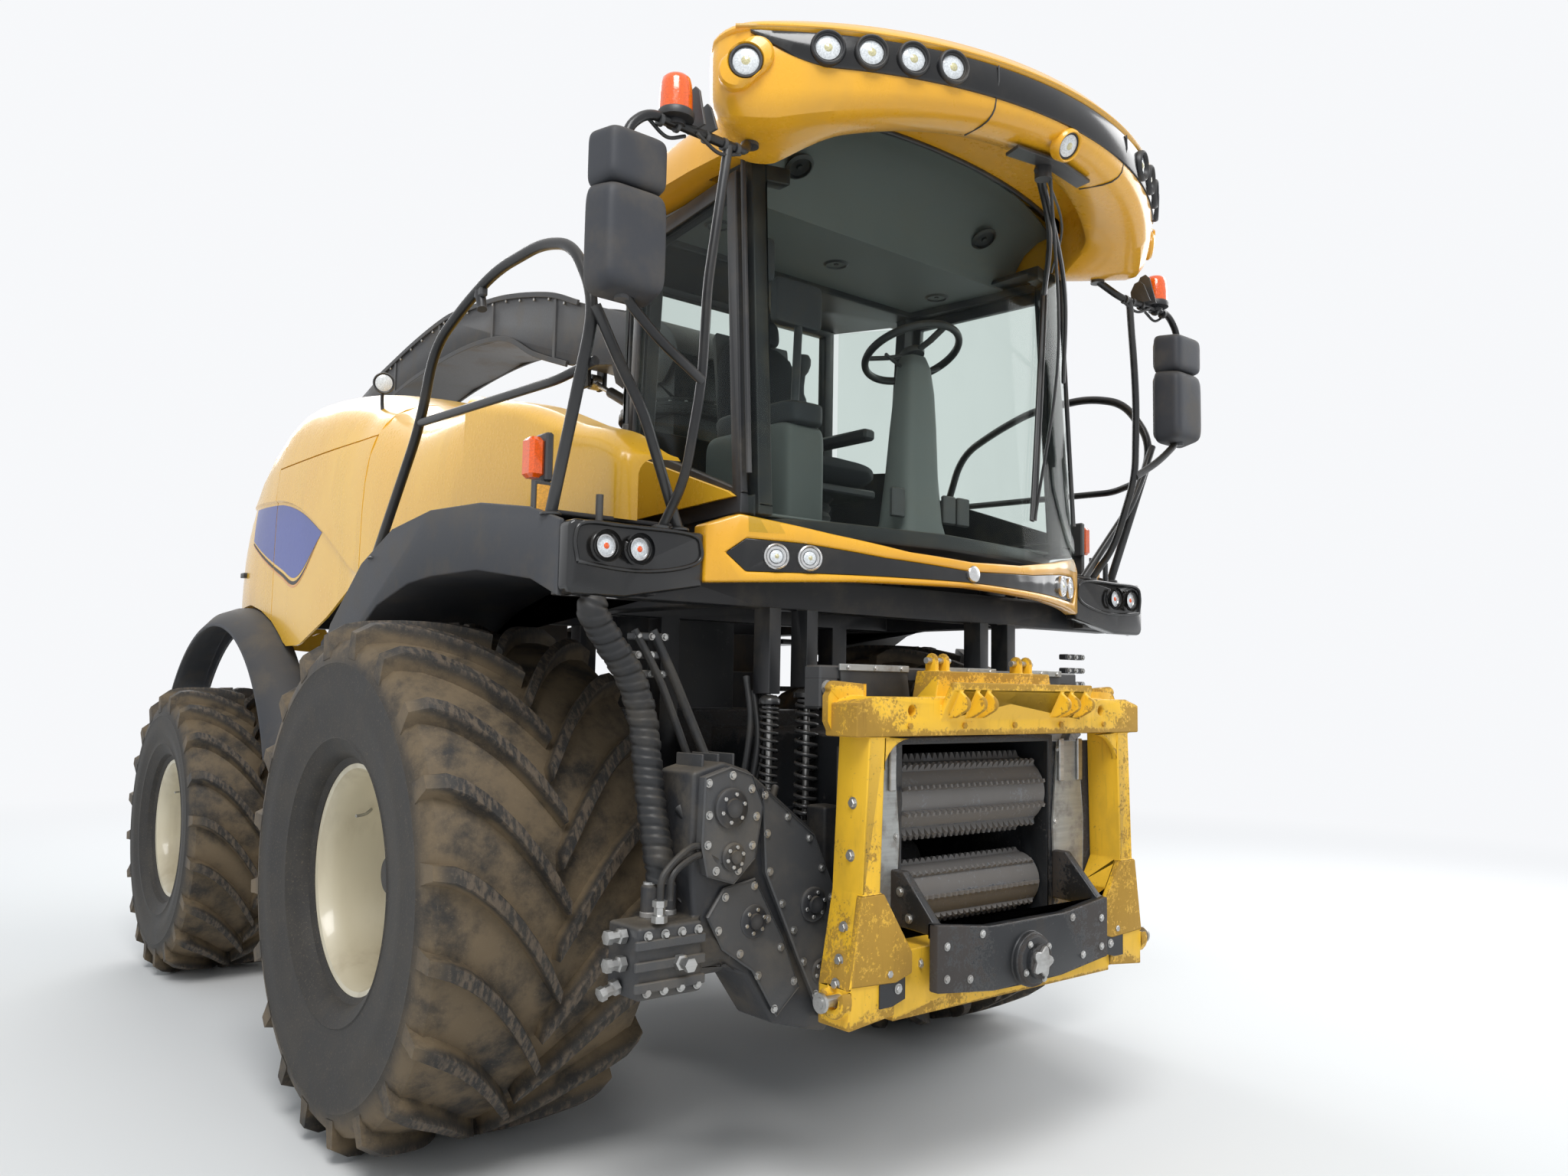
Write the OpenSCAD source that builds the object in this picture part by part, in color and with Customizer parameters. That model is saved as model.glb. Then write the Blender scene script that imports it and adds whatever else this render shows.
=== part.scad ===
// Self-propelled forage harvester, parked without a front attachment.
// Lengths in millimetres. X points to the driver's left, Y to the rear and Z up.
// The modules are written from the front axle line on the ground; in_frame() then
// moves them so that the middle of the overall length is the origin.

/* [Wheels] */
// Distance between the front and rear axle lines
wheelbase = 3160; // [3000:10:3400]
// Front tyre diameter over the lugs
front_tyre_d = 1892; // [1800:2:1940]
// Front tyre width
front_tyre_w = 890; // [800:5:900]
// Distance between the middles of the front tyres
front_track = 2580; // [2540:5:2700]
// Front rim diameter over the flanges
front_rim_d = 864; // [820:2:900]
// Rear tyre diameter over the lugs
rear_tyre_d = 1606; // [1500:2:1650]
// Rear tyre width
rear_tyre_w = 710; // [620:5:720]
// Distance between the middles of the rear tyres
rear_track = 2470; // [2440:5:2600]
// Rear rim diameter over the flanges
rear_rim_d = 808; // [760:2:840]
// Height of the tyre lugs
lug_h = 58; // [40:1:65]
// Lugs along each shoulder of a tyre
lug_count = 20; // [18:1:22]
// Depth of the rim's disc behind its outer flange
dish_depth = 300; // [240:5:330]

/* [Axles] */
// Diameter of the front axle tube
front_axle_d = 250; // [200:5:280]
// Diameter of the front hub spigot that carries the rim
front_hub_d = 240; // [200:2:260]
// Diameter of the rear axle tube
rear_axle_d = 180; // [150:5:200]
// Diameter of the rear spindle that carries the rim
rear_hub_d = 160; // [140:2:180]
// Kingpin diameter
kingpin_d = 70; // [60:1:80]
// Distance of each kingpin from the middle of the machine
kingpin_x = 820; // [800:5:840]
// Height of the kingpin eye at the axle's end
kingpin_eye_h = 240; // [200:5:260]
// Length of the steering arms behind the rear axle
steer_arm = 260; // [220:5:280]

/* [Chassis] */
// Distance between the outer faces of the chassis rails
rail_span = 760; // [700:5:800]
// Width of one chassis rail
rail_w = 90; // [70:2:100]
// Height of the chassis rails
rail_h = 220; // [180:5:240]
// Height of the rails' lower edge above ground
rail_z = 1010; // [1000:5:1040]

/* [Body] */
// Half width of the bonnet over its flanks
hood_half = 1190; // [1150:5:1200]
// Height of the bonnet's crown
hood_top = 3230; // [3200:5:3260]
// Distance of the bonnet's rear end behind the front axle
hood_rear = 3960; // [3900:10:4000]
// Thickness of bonnet, doors and fairings
panel_t = 14; // [10:1:18]
// Gap round each door
door_gap = 8; // [6:1:10]
// Thickness of the moulded fenders
fender_t = 22; // [16:1:26]
// Distance from the middle of the machine to the fenders' outer faces
fender_x = 1500; // [1490:2:1510]

/* [Cab] */
// Half width of the cab at its front posts
cab_half = 900; // [880:5:920]
// Half width of the cab at the rear ends of its side walls
cab_rear_half = 780; // [760:5:800]
// Half width of the cab's rear wall
cab_wall_half = 590; // [570:5:610]
// Height of the cab floor's top face
cab_floor_z = 2240; // [2220:5:2250]
// Height of the posts' upper ends
cab_top_z = 3470; // [3450:5:3490]
// Forward lean of the windscreen
cab_lean = 3.5; // [3:0.5:4]
// Thickness of the cab glass
glass_t = 8; // [6:1:10]
// Width of a cab post
post_w = 60; // [50:2:70]
// Distance of the roof's front lip ahead of the front axle
visor_front = 1966; // [1940:2:1980]
// Radius of the roof's front edge in plan
visor_r = 1660; // [1640:5:1680]
// Height of the roof's crown over the cab's frame
roof_rise = 370; // [350:5:390]

/* [Feeder] */
// Height of the feeder's pivot above ground
feeder_pivot_z = 1150; // [1130:5:1170]
// Distance of the feeder's pivot ahead of the front axle
feeder_pivot_y = 450; // [440:5:460]
// Width between the feeder's side plates
throat_w = 780; // [760:5:800]
// Thickness of the feeder's side plates
throat_t = 30; // [20:1:35]
// Distance of the coupling frame's front face ahead of the front axle
frame_front = 1700; // [1690:2:1720]
// Width of the coupling frame over its posts
frame_w = 1400; // [1380:5:1420]
// Width of one post of the coupling frame
frame_post = 130; // [120:2:140]
// Height of the coupling frame's top face
frame_top = 1640; // [1630:2:1650]
// Height of the coupling frame's lower face
frame_low = 640; // [630:2:650]
// Diameter of the two locating holes in the top bar
locate_hole_d = 36; // [30:1:40]
// Diameter of the coupling frame's pivot pin
tilt_pin_d = 70; // [60:1:80]
// Outer diameter of the upper front feed roll over its teeth
upper_roll_d = 300; // [290:2:310]
// Outer diameter of the other feed rolls
lower_roll_d = 230; // [220:2:240]

/* [Spout] */
// Distance of the spout's turning axis behind the front axle
turret_y = 350; // [340:5:360]
// Height of the turning ring
turret_z = 2960; // [2940:5:2980]
// Outer diameter of the turning ring
turret_d = 560; // [540:5:580]
// Width of the spout at its root
spout_w = 420; // [400:5:440]
// Distance of the spout's tip behind the front axle
spout_tip = 4960; // [4940:5:4980]
// Thickness of the spout's plates
spout_t = 12; // [10:1:16]

/* [Rails and mirrors] */
// Tube diameter of the handrails
handrail_d = 38; // [34:1:42]
// Tube diameter of the mirror arms
mirror_arm_d = 30; // [26:1:34]

/* [Hidden] */

run_gap = 0.05;
seat_gap = 0.3;
front_r = front_tyre_d / 2;
rear_r = rear_tyre_d / 2;
middle_y = (spout_tip - visor_front) / 2;

// Moves a piece from the front axle line to the middle of the machine's length.
module in_frame() { translate([0, -middle_y, 0]) children(); }

// Points along an arc about [cx, cy] from angle a0 to a1 in n steps.
function arc(cx, cy, r, a0, a1, n) =
    [for (i = [0:n]) let (a = a0 + (a1 - a0) * i / n) [cx + r * cos(a), cy + r * sin(a)]];

// A profile drawn in Y and Z, given a width along X about x = at.
module across(width, at = 0)
    translate([at - width / 2, 0, 0]) rotate([90, 0, 90]) linear_extrude(width) children();

// A profile drawn in X and Z, given a depth along Y from front to back.
module along(front, back)
    translate([0, back, 0]) rotate([90, 0, 0]) linear_extrude(back - front) children();

// A straight round bar between two points.
module bar(a, b, d) {
    v = b - a;
    translate(a) rotate([0, acos(v[2] / norm(v)), atan2(v[1], v[0])])
        cylinder(d = d, h = norm(v), $fn = 24);
}

// A bent tube through a list of points, with a ball at each bend.
module tube(points, d) {
    for (i = [0:len(points) - 2]) bar(points[i], points[i + 1], d);
    if (len(points) > 2)
        for (i = [1:len(points) - 2]) translate(points[i]) sphere(d = d * 1.03, $fn = 24);
}

// A copy on each side of the machine.
module both_sides() { children(); mirror([1, 0, 0]) children(); }

// A cylinder whose axis lies along X, centred on x = 0.
module axle_bar(d, w) rotate([0, 90, 0]) cylinder(d = d, h = w, center = true, $fn = 48);

// Wheels

// Depth of the rim's bead seat below its flange.
rim_well = 27;

// Half of a tyre's section: [radius, offset from the middle], inside the lugs.
function tyre_section(d, w, rim_d) = let (
        tread = d / 2 - lug_h, bead = rim_d / 2 - rim_well + seat_gap, belly = (tread + bead) / 2)
    [[bead, 0], [bead, 0.34 * w], [rim_d / 2 + 2, 0.354 * w], [rim_d / 2 + 3, 0.40 * w],
     [rim_d / 2 + 44, 0.455 * w],
     [belly - 10, 0.492 * w], [belly + 50, 0.5 * w], [tread - 90, 0.492 * w],
     [tread - 34, 0.462 * w], [tread - 10, 0.40 * w], [tread, 0.18 * w], [tread, 0]];

// One lug as a bar that runs over the tread from the middle to the shoulder.
// Stations: [offset as a share of the half width, share of the sweep, drop of the top].
lug_stations = [[-0.03, 0, 0], [0.34, 0.48, 4], [0.72, 0.80, 18], [0.97, 0.93, 66]];
lug_sweep = 27;
lug_half_w = 36;
lug_flare = 10;
lug_sink = 16;

module lug(d, w) {
    r = d / 2;
    pts = [for (s = lug_stations) let (
            x = s[0] * w / 2, top = r - s[2], base = r - lug_h - lug_sink - 1.4 * s[2],
            a = s[1] * lug_sweep, ta = lug_half_w / r * 180 / PI,
            ba = (lug_half_w + lug_flare) / r * 180 / PI)
        each [for (c = [[base, a - ba], [base, a + ba], [top, a + ta], [top, a - ta]])
            [x, -c[0] * cos(c[1]), c[0] * sin(c[1])]]];
    n = len(lug_stations);
    polyhedron(pts, concat([[0, 1, 2, 3]],
        [for (i = [0:n - 2], k = [0:3]) let (p = 4 * i + k, q = 4 * i + (k + 1) % 4)
            each [[p, q + 4, q], [p, p + 4, q + 4]]],
        [[for (k = [3:-1:0]) 4 * n - 4 + k]]));
}

module tyre(d, w, rim_d) {
    half = tyre_section(d, w, rim_d);
    section = concat(half, [for (i = [len(half) - 2:-1:1]) [half[i][0], -half[i][1]]]);
    first = 90 + lug_half_w / d * 360 / PI;
    rotate([0, 90, 0]) rotate_extrude($fn = 96) polygon(section);
    for (i = [0:lug_count - 1]) {
        rotate([first + i * 360 / lug_count, 0, 0]) lug(d, w);
        rotate([first + (i + 0.5) * 360 / lug_count, 0, 0]) mirror([1, 0, 0]) lug(d, w);
    }
}

// A rim with two flanges, a drop centre and a dished disc round the hub.
module rim(w, rim_d, hub_d, side) {
    r = rim_d / 2;
    lip = 0.40 * w;
    disc = lip - dish_depth;
    mirror([side < 0 ? 1 : 0, 0, 0]) rotate([0, 90, 0]) rotate_extrude($fn = 72) polygon([
        [hub_d / 2 + run_gap, disc - 34], [r - 60, disc - 34], [r - 60, -lip * 0.96],
        [r - 2, -lip * 0.96], [r, -lip * 0.90], [r - rim_well, -lip * 0.86], [r - rim_well, lip * 0.86],
        [r, lip * 0.90], [r - 2, lip * 0.96], [r - 44, lip * 0.96], [r - 60, lip * 0.72],
        [r - 60, disc + 30], [r - 110, disc], [hub_d / 2 + 70, disc - 4],
        [hub_d / 2 + 40, disc + 12], [hub_d / 2 + run_gap, disc + 12]]);
}

module front_wheel_at(side) translate([side * front_track / 2, 0, front_r]) children();
module rear_wheel_at(side) translate([side * rear_track / 2, wheelbase, rear_r]) children();

module front_rim(side)
    color("ivory") in_frame() front_wheel_at(side) rim(front_tyre_w, front_rim_d, front_hub_d, side);
module front_tyre(side)
    color("#2b2926") in_frame() front_wheel_at(side) tyre(front_tyre_d, front_tyre_w, front_rim_d);
module rear_rim(side)
    color("ivory") in_frame() rear_wheel_at(side) rim(rear_tyre_w, rear_rim_d, rear_hub_d, side);
module rear_tyre(side)
    color("#2b2926") in_frame() rear_wheel_at(side) tyre(rear_tyre_d, rear_tyre_w, rear_rim_d);

// Axles and steering

front_disc_x = front_track / 2 + 0.40 * front_tyre_w - dish_depth;
rear_disc_x = rear_track / 2 + 0.40 * rear_tyre_w - dish_depth;

rail_front_z = front_r + front_axle_d / 2;
module front_axle() color("#26272a") in_frame() translate([0, 0, front_r]) {
    axle_bar(front_axle_d, 2 * (front_disc_x - 60));
    both_sides() {
        translate([front_disc_x - 60 - 150, 0, 0]) axle_bar(420, 180);
        translate([front_disc_x - 60, 0, 0]) axle_bar(330, 2 * (60 - 34 - seat_gap));
        translate([front_disc_x, 0, 0]) axle_bar(front_hub_d, 150);
        translate([cutter_half + seat_gap, -150, 0]) cube([rail_w, 300, front_axle_d / 2]);
    }
}

eye_d = kingpin_d + 80;
ear_t = 46;
web_x = 70;
module rear_axle() color("#26272a") in_frame() translate([0, wheelbase, rear_r]) difference() {
    union() {
        axle_bar(rear_axle_d, 2 * kingpin_x);
        both_sides() {
            translate([kingpin_x, 0, -kingpin_eye_h / 2])
                cylinder(d = eye_d, h = kingpin_eye_h, $fn = 40);
            translate([rail_span / 2 - rail_w, -110, 0])
                cube([rail_w, 220, rail_z - rear_r]);
        }
    }
    both_sides() translate([kingpin_x, 0, -kingpin_eye_h])
        cylinder(d = kingpin_d + 2 * run_gap, h = 2 * kingpin_eye_h, $fn = 40);
}

pin_len = 66;
tie_pin_d = 30;
tie_eye_d = 64;

// Drawn for the left wheel: ears above and below the axle's eye, a web, the spindle.
module knuckle_shape() {
    ear_z = kingpin_eye_h / 2 + seat_gap;
    cylinder(d = kingpin_d, h = 2 * (ear_z + ear_t), center = true, $fn = 40);
    for (s = [-1, 1]) translate([0, 0, s * (ear_z + ear_t / 2)]) {
        cylinder(d = eye_d, h = ear_t, center = true, $fn = 40);
        translate([0, -eye_d / 2, -ear_t / 2]) cube([eye_d / 2 + web_x, eye_d, ear_t]);
    }
    translate([eye_d / 2 + 12, -eye_d / 2, -ear_z]) cube([web_x - 12, eye_d, 2 * ear_z]);
    spindle = rear_disc_x - kingpin_x;
    translate([eye_d / 2 + 12, 0, 0]) rotate([0, 90, 0])
        cylinder(d = rear_hub_d + 60, h = spindle - 34 - seat_gap - eye_d / 2 - 12, $fn = 48);
    translate([eye_d / 2 + 20, 0, 0]) rotate([0, 90, 0])
        cylinder(d = rear_hub_d, h = spindle + 60 - eye_d / 2 - 20, $fn = 48);
    translate([-tie_eye_d / 2, 0, -ear_z - ear_t]) cube([tie_eye_d, steer_arm, ear_t]);
    translate([0, steer_arm, -ear_z - ear_t]) cylinder(d = tie_eye_d, h = ear_t, $fn = 32);
    translate([0, steer_arm, -ear_z - 1]) cylinder(d = tie_pin_d, h = pin_len, $fn = 32);
}

module knuckle(side) color("#26272a") in_frame() mirror([side < 0 ? 1 : 0, 0, 0])
    translate([kingpin_x, wheelbase, rear_r]) knuckle_shape();

tie_h = 44;
module tie_rod() color("#3a3b3d") in_frame()
    translate([0, wheelbase + steer_arm, rear_r - kingpin_eye_h / 2]) difference() {
        union() {
            translate([0, 0, tie_h / 2]) axle_bar(40, 2 * kingpin_x);
            both_sides() translate([kingpin_x, 0, 0]) cylinder(d = tie_eye_d, h = tie_h, $fn = 32);
        }
        both_sides() translate([kingpin_x, 0, -1])
            cylinder(d = tie_pin_d + 2 * run_gap, h = tie_h + 2, $fn = 32);
    }

// Chassis

cutter_front = -feeder_pivot_y + 40;
cutter_back = 420;
cutter_half = 430;
cutter_low = 720;
cutter_top = 1560;
chassis_back = hood_rear - 160;
deck_z = 2060;
front_beam_y = -1120;
wing_beam_x = 1440;
fender_sheet_y = -1000;

leg_y = [590, 1210, 3240];
outrigger_z = 2270;
outrigger_h = 30;
engine_y = 2350;
engine_l = 850;
engine_low = 1650;
fender_flange_x = 1120;

module rail_leg(y, top)
    translate([rail_span / 2 - rail_w, y, rail_z]) cube([rail_w, 90, top - rail_z]);

module chassis_frame() color("#1d1e20") in_frame() {
    both_sides() {
        translate([rail_span / 2 - rail_w, cutter_back + seat_gap, rail_z])
            cube([rail_w, chassis_back - cutter_back, rail_h]);
        translate([cutter_half + seat_gap, -320, rail_front_z])
            cube([rail_w, cutter_back + 410, rail_h]);
        translate([rail_span / 2 - rail_w, cutter_back + seat_gap, rail_z])
            cube([cutter_half + 2 * rail_w - rail_span / 2 + seat_gap, 90, rail_h + 60]);
        translate([cutter_half + seat_gap, -300, rail_front_z])
            cube([rail_w, 100, deck_z - rail_front_z]);
        rail_leg(leg_y[0], deck_z);
        rail_leg(leg_y[1], outrigger_z + outrigger_h);
        rail_leg(leg_y[2], outrigger_z + outrigger_h);
        for (y = [engine_y + 60, engine_y + engine_l - 150]) rail_leg(y, engine_low);
        for (y = [leg_y[1], leg_y[2]])
            translate([rail_span / 2 - 1, y, outrigger_z])
                cube([hood_half - panel_t - 4.3 - rail_span / 2 + 1, 70, outrigger_h]);
        translate([rail_span / 2 - 1, leg_y[2], 1980])
            cube([fender_flange_x - seat_gap - rail_span / 2 + 1, 70, 60]);
        translate([cab_half - 120, front_beam_y, deck_z - 120])
            cube([120, leg_y[0] + 90 - front_beam_y, 120]);
    }
    translate([-wing_beam_x, front_beam_y, deck_z - 120]) cube([2 * wing_beam_x, 90, 120]);
    both_sides() {
        translate([wing_beam_x - 300, wing_back + seat_gap, deck_z - 110])
            cube([260, front_beam_y + 1 - wing_back, 90]);
        translate([wing_beam_x - 300, front_beam_y + 89, deck_z - 76])
            cube([260, fender_sheet_y - front_beam_y - 89 - seat_gap, 30]);
        for (s = spring_rows) translate([s[0] - 26, spring_y - 26, s[1] + seat_gap])
            cube([52, front_beam_y - spring_y + 60, deck_z - 119 - s[1]]);
    }
    for (y = [-300, leg_y[0]])
        translate([-cab_half + 1, y, deck_z - 120]) cube([2 * cab_half - 2, 90, 120]);
    for (y = [900, 2100, chassis_back - 160])
        translate([-rail_span / 2 + 1, y, rail_z + 20]) cube([rail_span - 2, 120, rail_h - 40]);
}

duct_w = 380;
duct_front = turret_y - 220;
duct_back = turret_y + 220;
pivot_pin_d = 90;
module cutterhead_housing() color("#242528") in_frame() {
    difference() {
        union() {
            across(2 * cutter_half) polygon([
                [cutter_front, cutter_low + 160], [cutter_front, cutter_top - 160],
                [cutter_front + 160, cutter_top], [cutter_back - 60, cutter_top],
                [cutter_back, cutter_top - 120], [cutter_back, cutter_low + 60],
                [cutter_back - 60, cutter_low], [cutter_front + 160, cutter_low]]);
            across(duct_w) polygon([[duct_front, cutter_top - 100], [duct_back, cutter_top - 300],
                [duct_back, turret_z - 20], [duct_front, turret_z - 20]]);
            translate([0, turret_y, turret_z - 40]) cylinder(d = turret_d + 40, h = 40, $fn = 72);
            translate([0, -feeder_pivot_y, feeder_pivot_z])
                axle_bar(pivot_pin_d, 2 * (cutter_half + 46));
            both_sides() {
                for (x = [-66, 66]) across(24, cyl_x + x) polygon(concat([[-190, cutter_low + 30],
                    [-320, cutter_low + 100]], arc(barrel_eye_y, barrel_eye_z, 55, 200, 340, 6)));
                translate([cyl_x, barrel_eye_y, barrel_eye_z]) axle_bar(cyl_pin_d, 156);
            }
        }
        translate([-throat_w / 2, cutter_front - 1, 980]) cube([throat_w, 300, 340]);
        translate([0, 0, front_r]) axle_bar(front_axle_d + 2 * seat_gap, 4 * cutter_half);
        translate([0, turret_y, turret_z - 200]) cylinder(d = duct_w - 60, h = 201, $fn = 64);
        translate([-duct_w / 2 + 30, duct_front + 30, cutter_top + 100])
            cube([duct_w - 60, duct_back - duct_front - 60, turret_z - 150 - cutter_top - 100]);
    }
}

module engine_block() color("#3b3d3f") in_frame()
    translate([-560, engine_y, engine_low]) cube([1120, engine_l, 850]);

// Bonnet and doors

hood_front = 190;
bay_half = 650;
bay_l = 640;
hood_low = 1840;
door_front = 1300;
door_back = 2660;
door_top = 2860;

// Side view of the bonnet, drawn in Y and Z and set in by t.
function hood_side(t) = concat(
    [[hood_front + t, hood_low], [hood_front + t, 2830 - t], [800, 2930 - t], [1180, 3030 - t], [1500, 3130 - t]],
    [for (p = [[-2110, -5], [-1760, 48], [-1460, 58], [-1160, 38], [-910, -60], [-660, -230], [-400, -465]])
        [hood_rear + p[0] - t / 2, hood_top + p[1] - t]],
    [[hood_rear - 190 - t, 2560], [hood_rear - 60 - t, 2200], [hood_rear - t, 1960],
     [hood_rear - t, hood_low]]);
// View from behind, drawn in X and Z.
function hood_section(t) = let (right = concat(
    [[hood_half - 40 - t, hood_low], [hood_half - t, 2250], [hood_half - 25 - t, 2560]],
    arc(hood_half - 330, 2720, 300 - t, 0, 30, 3),
    [for (p = [[-110, -230], [-155, -125], [-225, -40], [-340, 15], [-510, 46]])
        [hood_half + p[0] - t, hood_top + p[1] - t]],
    [[0, hood_top + 60 - t]]))
    concat(right, [for (i = [len(right) - 2:-1:0]) [-right[i][0], right[i][1]]]);
// Rear shoulder, drawn square to a corner of the plan.
function hood_shoulder(t) = concat([[-hood_rear, hood_low - 9], [-hood_rear, hood_top + 200]],
    [for (p = [[2300, 100], [2456, 56], [2750, -80], [2976, -280], [3165, -530], [3300, -830], [3400, -1030]])
        [p[0] - t, hood_top + p[1] - t]], [[3400 - t, hood_low - 9]]);
// Plan view.
function hood_plan(t) = let (right = concat(
    [[hood_half + 100 - t, hood_front], [hood_half + 100 - t, 2500]],
    arc(hood_half - 620, hood_rear - 640, 640 - t, 20, 78, 6)))
    concat(right, [for (i = [len(right) - 1:-1:0]) [-right[i][0], right[i][1]]]);

module hood_form(t) intersection() {
    across(4 * hood_half) polygon(hood_side(t));
    along(-100, hood_rear + 100) polygon(hood_section(t));
    translate([0, 0, hood_low - 1]) linear_extrude(hood_top) polygon(hood_plan(t));
    rotate([0, 0, 45]) across(3 * hood_rear) polygon(hood_shoulder(t));
    rotate([0, 0, -45]) across(3 * hood_rear) polygon(hood_shoulder(t));
}

module hood_skin() difference() {
    hood_form(0);
    translate([0, 0, -2]) hood_form(panel_t);
}

// The lower edge of the flanks rises over the fenders.
module flank_cut() {
    both_sides() {
        across(500, hood_half) polygon([
            [hood_front - 10, hood_low - 10], [hood_front - 10, 2300], [700, 2240], [1290, 2180],
            [1750, 1980], [2170, hood_low - 10]]);
        translate([hood_half, wheelbase, rear_r]) axle_bar(2 * (rear_fender_r + 10), 500);
        across(500, hood_half) polygon([[3061, 2094], [3500, 2080], [3800, 1900], [3990, hood_low - 10],
            [3061, hood_low - 10]]);
    }
    across(4 * hood_half) polygon([[hood_front - 10, hood_low - 10], [hood_front - 10, 2300],
        [hood_front + 60, 2300], [hood_front + 60, hood_low - 10]]);
}

// Where a service door lies on one flank, less a gap all round.
module door_region(side, gap) translate([side > 0 ? 900 : -1300, 0, 0])
    translate([0, door_front + gap, hood_low - 20]) cube([400, door_back - door_front - 2 * gap,
        door_top - gap - hood_low + 20]);

rear_opening_half = 640;
rear_opening_low = 1960;
rear_opening_top = 2560;
module rear_region(gap) translate([-rear_opening_half + gap, hood_rear - 760, rear_opening_low + gap])
    cube([2 * (rear_opening_half - gap), 800, rear_opening_top - rear_opening_low - 2 * gap]);

// Hinges: an eye on the door turns on a pin whose ends are held by the bonnet.
hinge_pin_d = 12;
hinge_eye_d = 22;
hinge_eye_l = 40;
hinge_pin_l = 76;
hinge_play = 3;
service_hinge = [1126, 2856];
hatch_hinge = [3771, 2556];
module service_hinges(side) for (y = [door_front + 220, door_back - 220])
    translate([side * service_hinge[0], y, service_hinge[1]]) rotate([0, 0, 90]) children();
module hatch_hinges() for (x = [-420, 420]) translate([x, hatch_hinge[0], hatch_hinge[1]]) children();
module eye_room() axle_bar(hinge_eye_d + 2 * hinge_play, hinge_eye_l + 2 * hinge_play);
module eye() axle_bar(hinge_eye_d, hinge_eye_l);
module eye_cut() {
    axle_bar(hinge_pin_d + 2 * run_gap, 2 * hinge_pin_l);
    both_sides() translate([(hinge_eye_l + hinge_pin_l) / 4 + hinge_play, 0, 0])
        axle_bar(hinge_pin_d + 2 * hinge_play, (hinge_pin_l - hinge_eye_l) / 2 + 2 * hinge_play);
}

// Tail lamps: angles round the bonnet's rear corner.
tail_lamps = [57, 66];
tail_lamp_d = 92;
tail_lamp_z = 1915;

module hood() color("gold") in_frame() {
    difference() {
        hood_skin();
        flank_cut();
        door_region(1, 0);
        door_region(-1, 0);
        rear_region(0);
        translate([-bay_half, hood_front - 10, hood_low - 10]) cube([2 * bay_half, bay_l, 2000]);
        service_hinges(1) eye_room();
        service_hinges(-1) eye_room();
        hatch_hinges() eye_room();
    }
    service_hinges(1) axle_bar(hinge_pin_d, hinge_pin_l);
    service_hinges(-1) axle_bar(hinge_pin_d, hinge_pin_l);
    hatch_hinges() axle_bar(hinge_pin_d, hinge_pin_l);
    both_sides() for (a = tail_lamps) translate([hood_half - 620, hood_rear - 640, tail_lamp_z])
        rotate([0, 0, a]) translate([620, 0, 0]) rotate([0, 90, 0]) cylinder(d = tail_lamp_d, h = 34, $fn = 32);
}

module service_door(side) color("gold") in_frame() difference() {
    union() {
        intersection() {
            difference() { hood_skin(); flank_cut(); }
            door_region(side, door_gap);
        }
        service_hinges(side) eye();
    }
    service_hinges(side) eye_cut();
}

// Slats of the air intake, which stand out from the rear hatch.
slat_pitch = 60;
slat_h = 22;
slat_out = 12;
module rear_door() color("#2a2b2d") in_frame() difference() {
    union() {
        intersection() { hood_skin(); rear_region(door_gap); }
        intersection() {
            difference() { hood_form(-slat_out); hood_form(panel_t / 2); }
            rear_region(60);
            for (z = [rear_opening_low + slat_pitch:slat_pitch:rear_opening_top - slat_pitch])
                translate([-rear_opening_half, 0, z]) cube([2 * rear_opening_half, hood_rear + 100, slat_h]);
        }
        hatch_hinges() eye();
    }
    hatch_hinges() eye_cut();
}

// Dark panels between the wheels, below the bonnet.
tank_out = 60;
module lower_panels() color("#3a3c40") in_frame() both_sides() {
    across(24, hood_half - tank_out - 12) polygon([[1010, 1250], [1010, 2200], [1290, 2160],
        [1750, 1960], [1955, 1860], [1955, 1100], [1200, 1100]]);
    translate([700, 1060, 1150]) cube([hood_half - tank_out - 20 - 700, 900, 600]);
    for (y = [1200, 1700]) translate([rail_span / 2, y, rail_z + 160]) cube([330, 140, 50]);
}

// Fenders

fender_outer = [[435, 2136], [130, 2249], [-222, 2287], [-629, 2271], [-983, 2220], [-1173, 2164]];
fender_inner = [[-1173, 1928], [fender_sheet_y, 1989], [-620, 2040], [-247, 2041], [-42, 2025], [250, 1957],
    [470, 1840], [640, 1640]];
arch_t = 16;
fender_in = cab_half + seat_gap;
module fender_sheet(top) let (n = len(top) - 1)
    across(fender_x - fender_in - 1, (fender_x + fender_in) / 2)
        polygon(concat(top, [for (i = [n:-1:0]) [top[i][0], top[i][1] - arch_t]]));
module front_fenders() color("#303135") in_frame() both_sides() {
    across(fender_t, fender_x - fender_t / 2)
        polygon(concat(fender_outer, fender_inner, [[900, 1560], [960, 1600], [760, 1900]]));
    fender_sheet([for (i = [0:4]) fender_outer[i]]);
    fender_sheet([for (i = [1:6]) [fender_inner[i][0], fender_inner[i][1] + arch_t]]);
    across(fender_t, fender_in + fender_t / 2)
        polygon([[-983, 2000], [-983, 2214], [-629, 2262], [-222, 2278], [130, 2240], [430, 2128],
            [440, 1870], [250, 1960], [-42, 2030], [-247, 2045], [-620, 2045]]);
}

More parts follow.
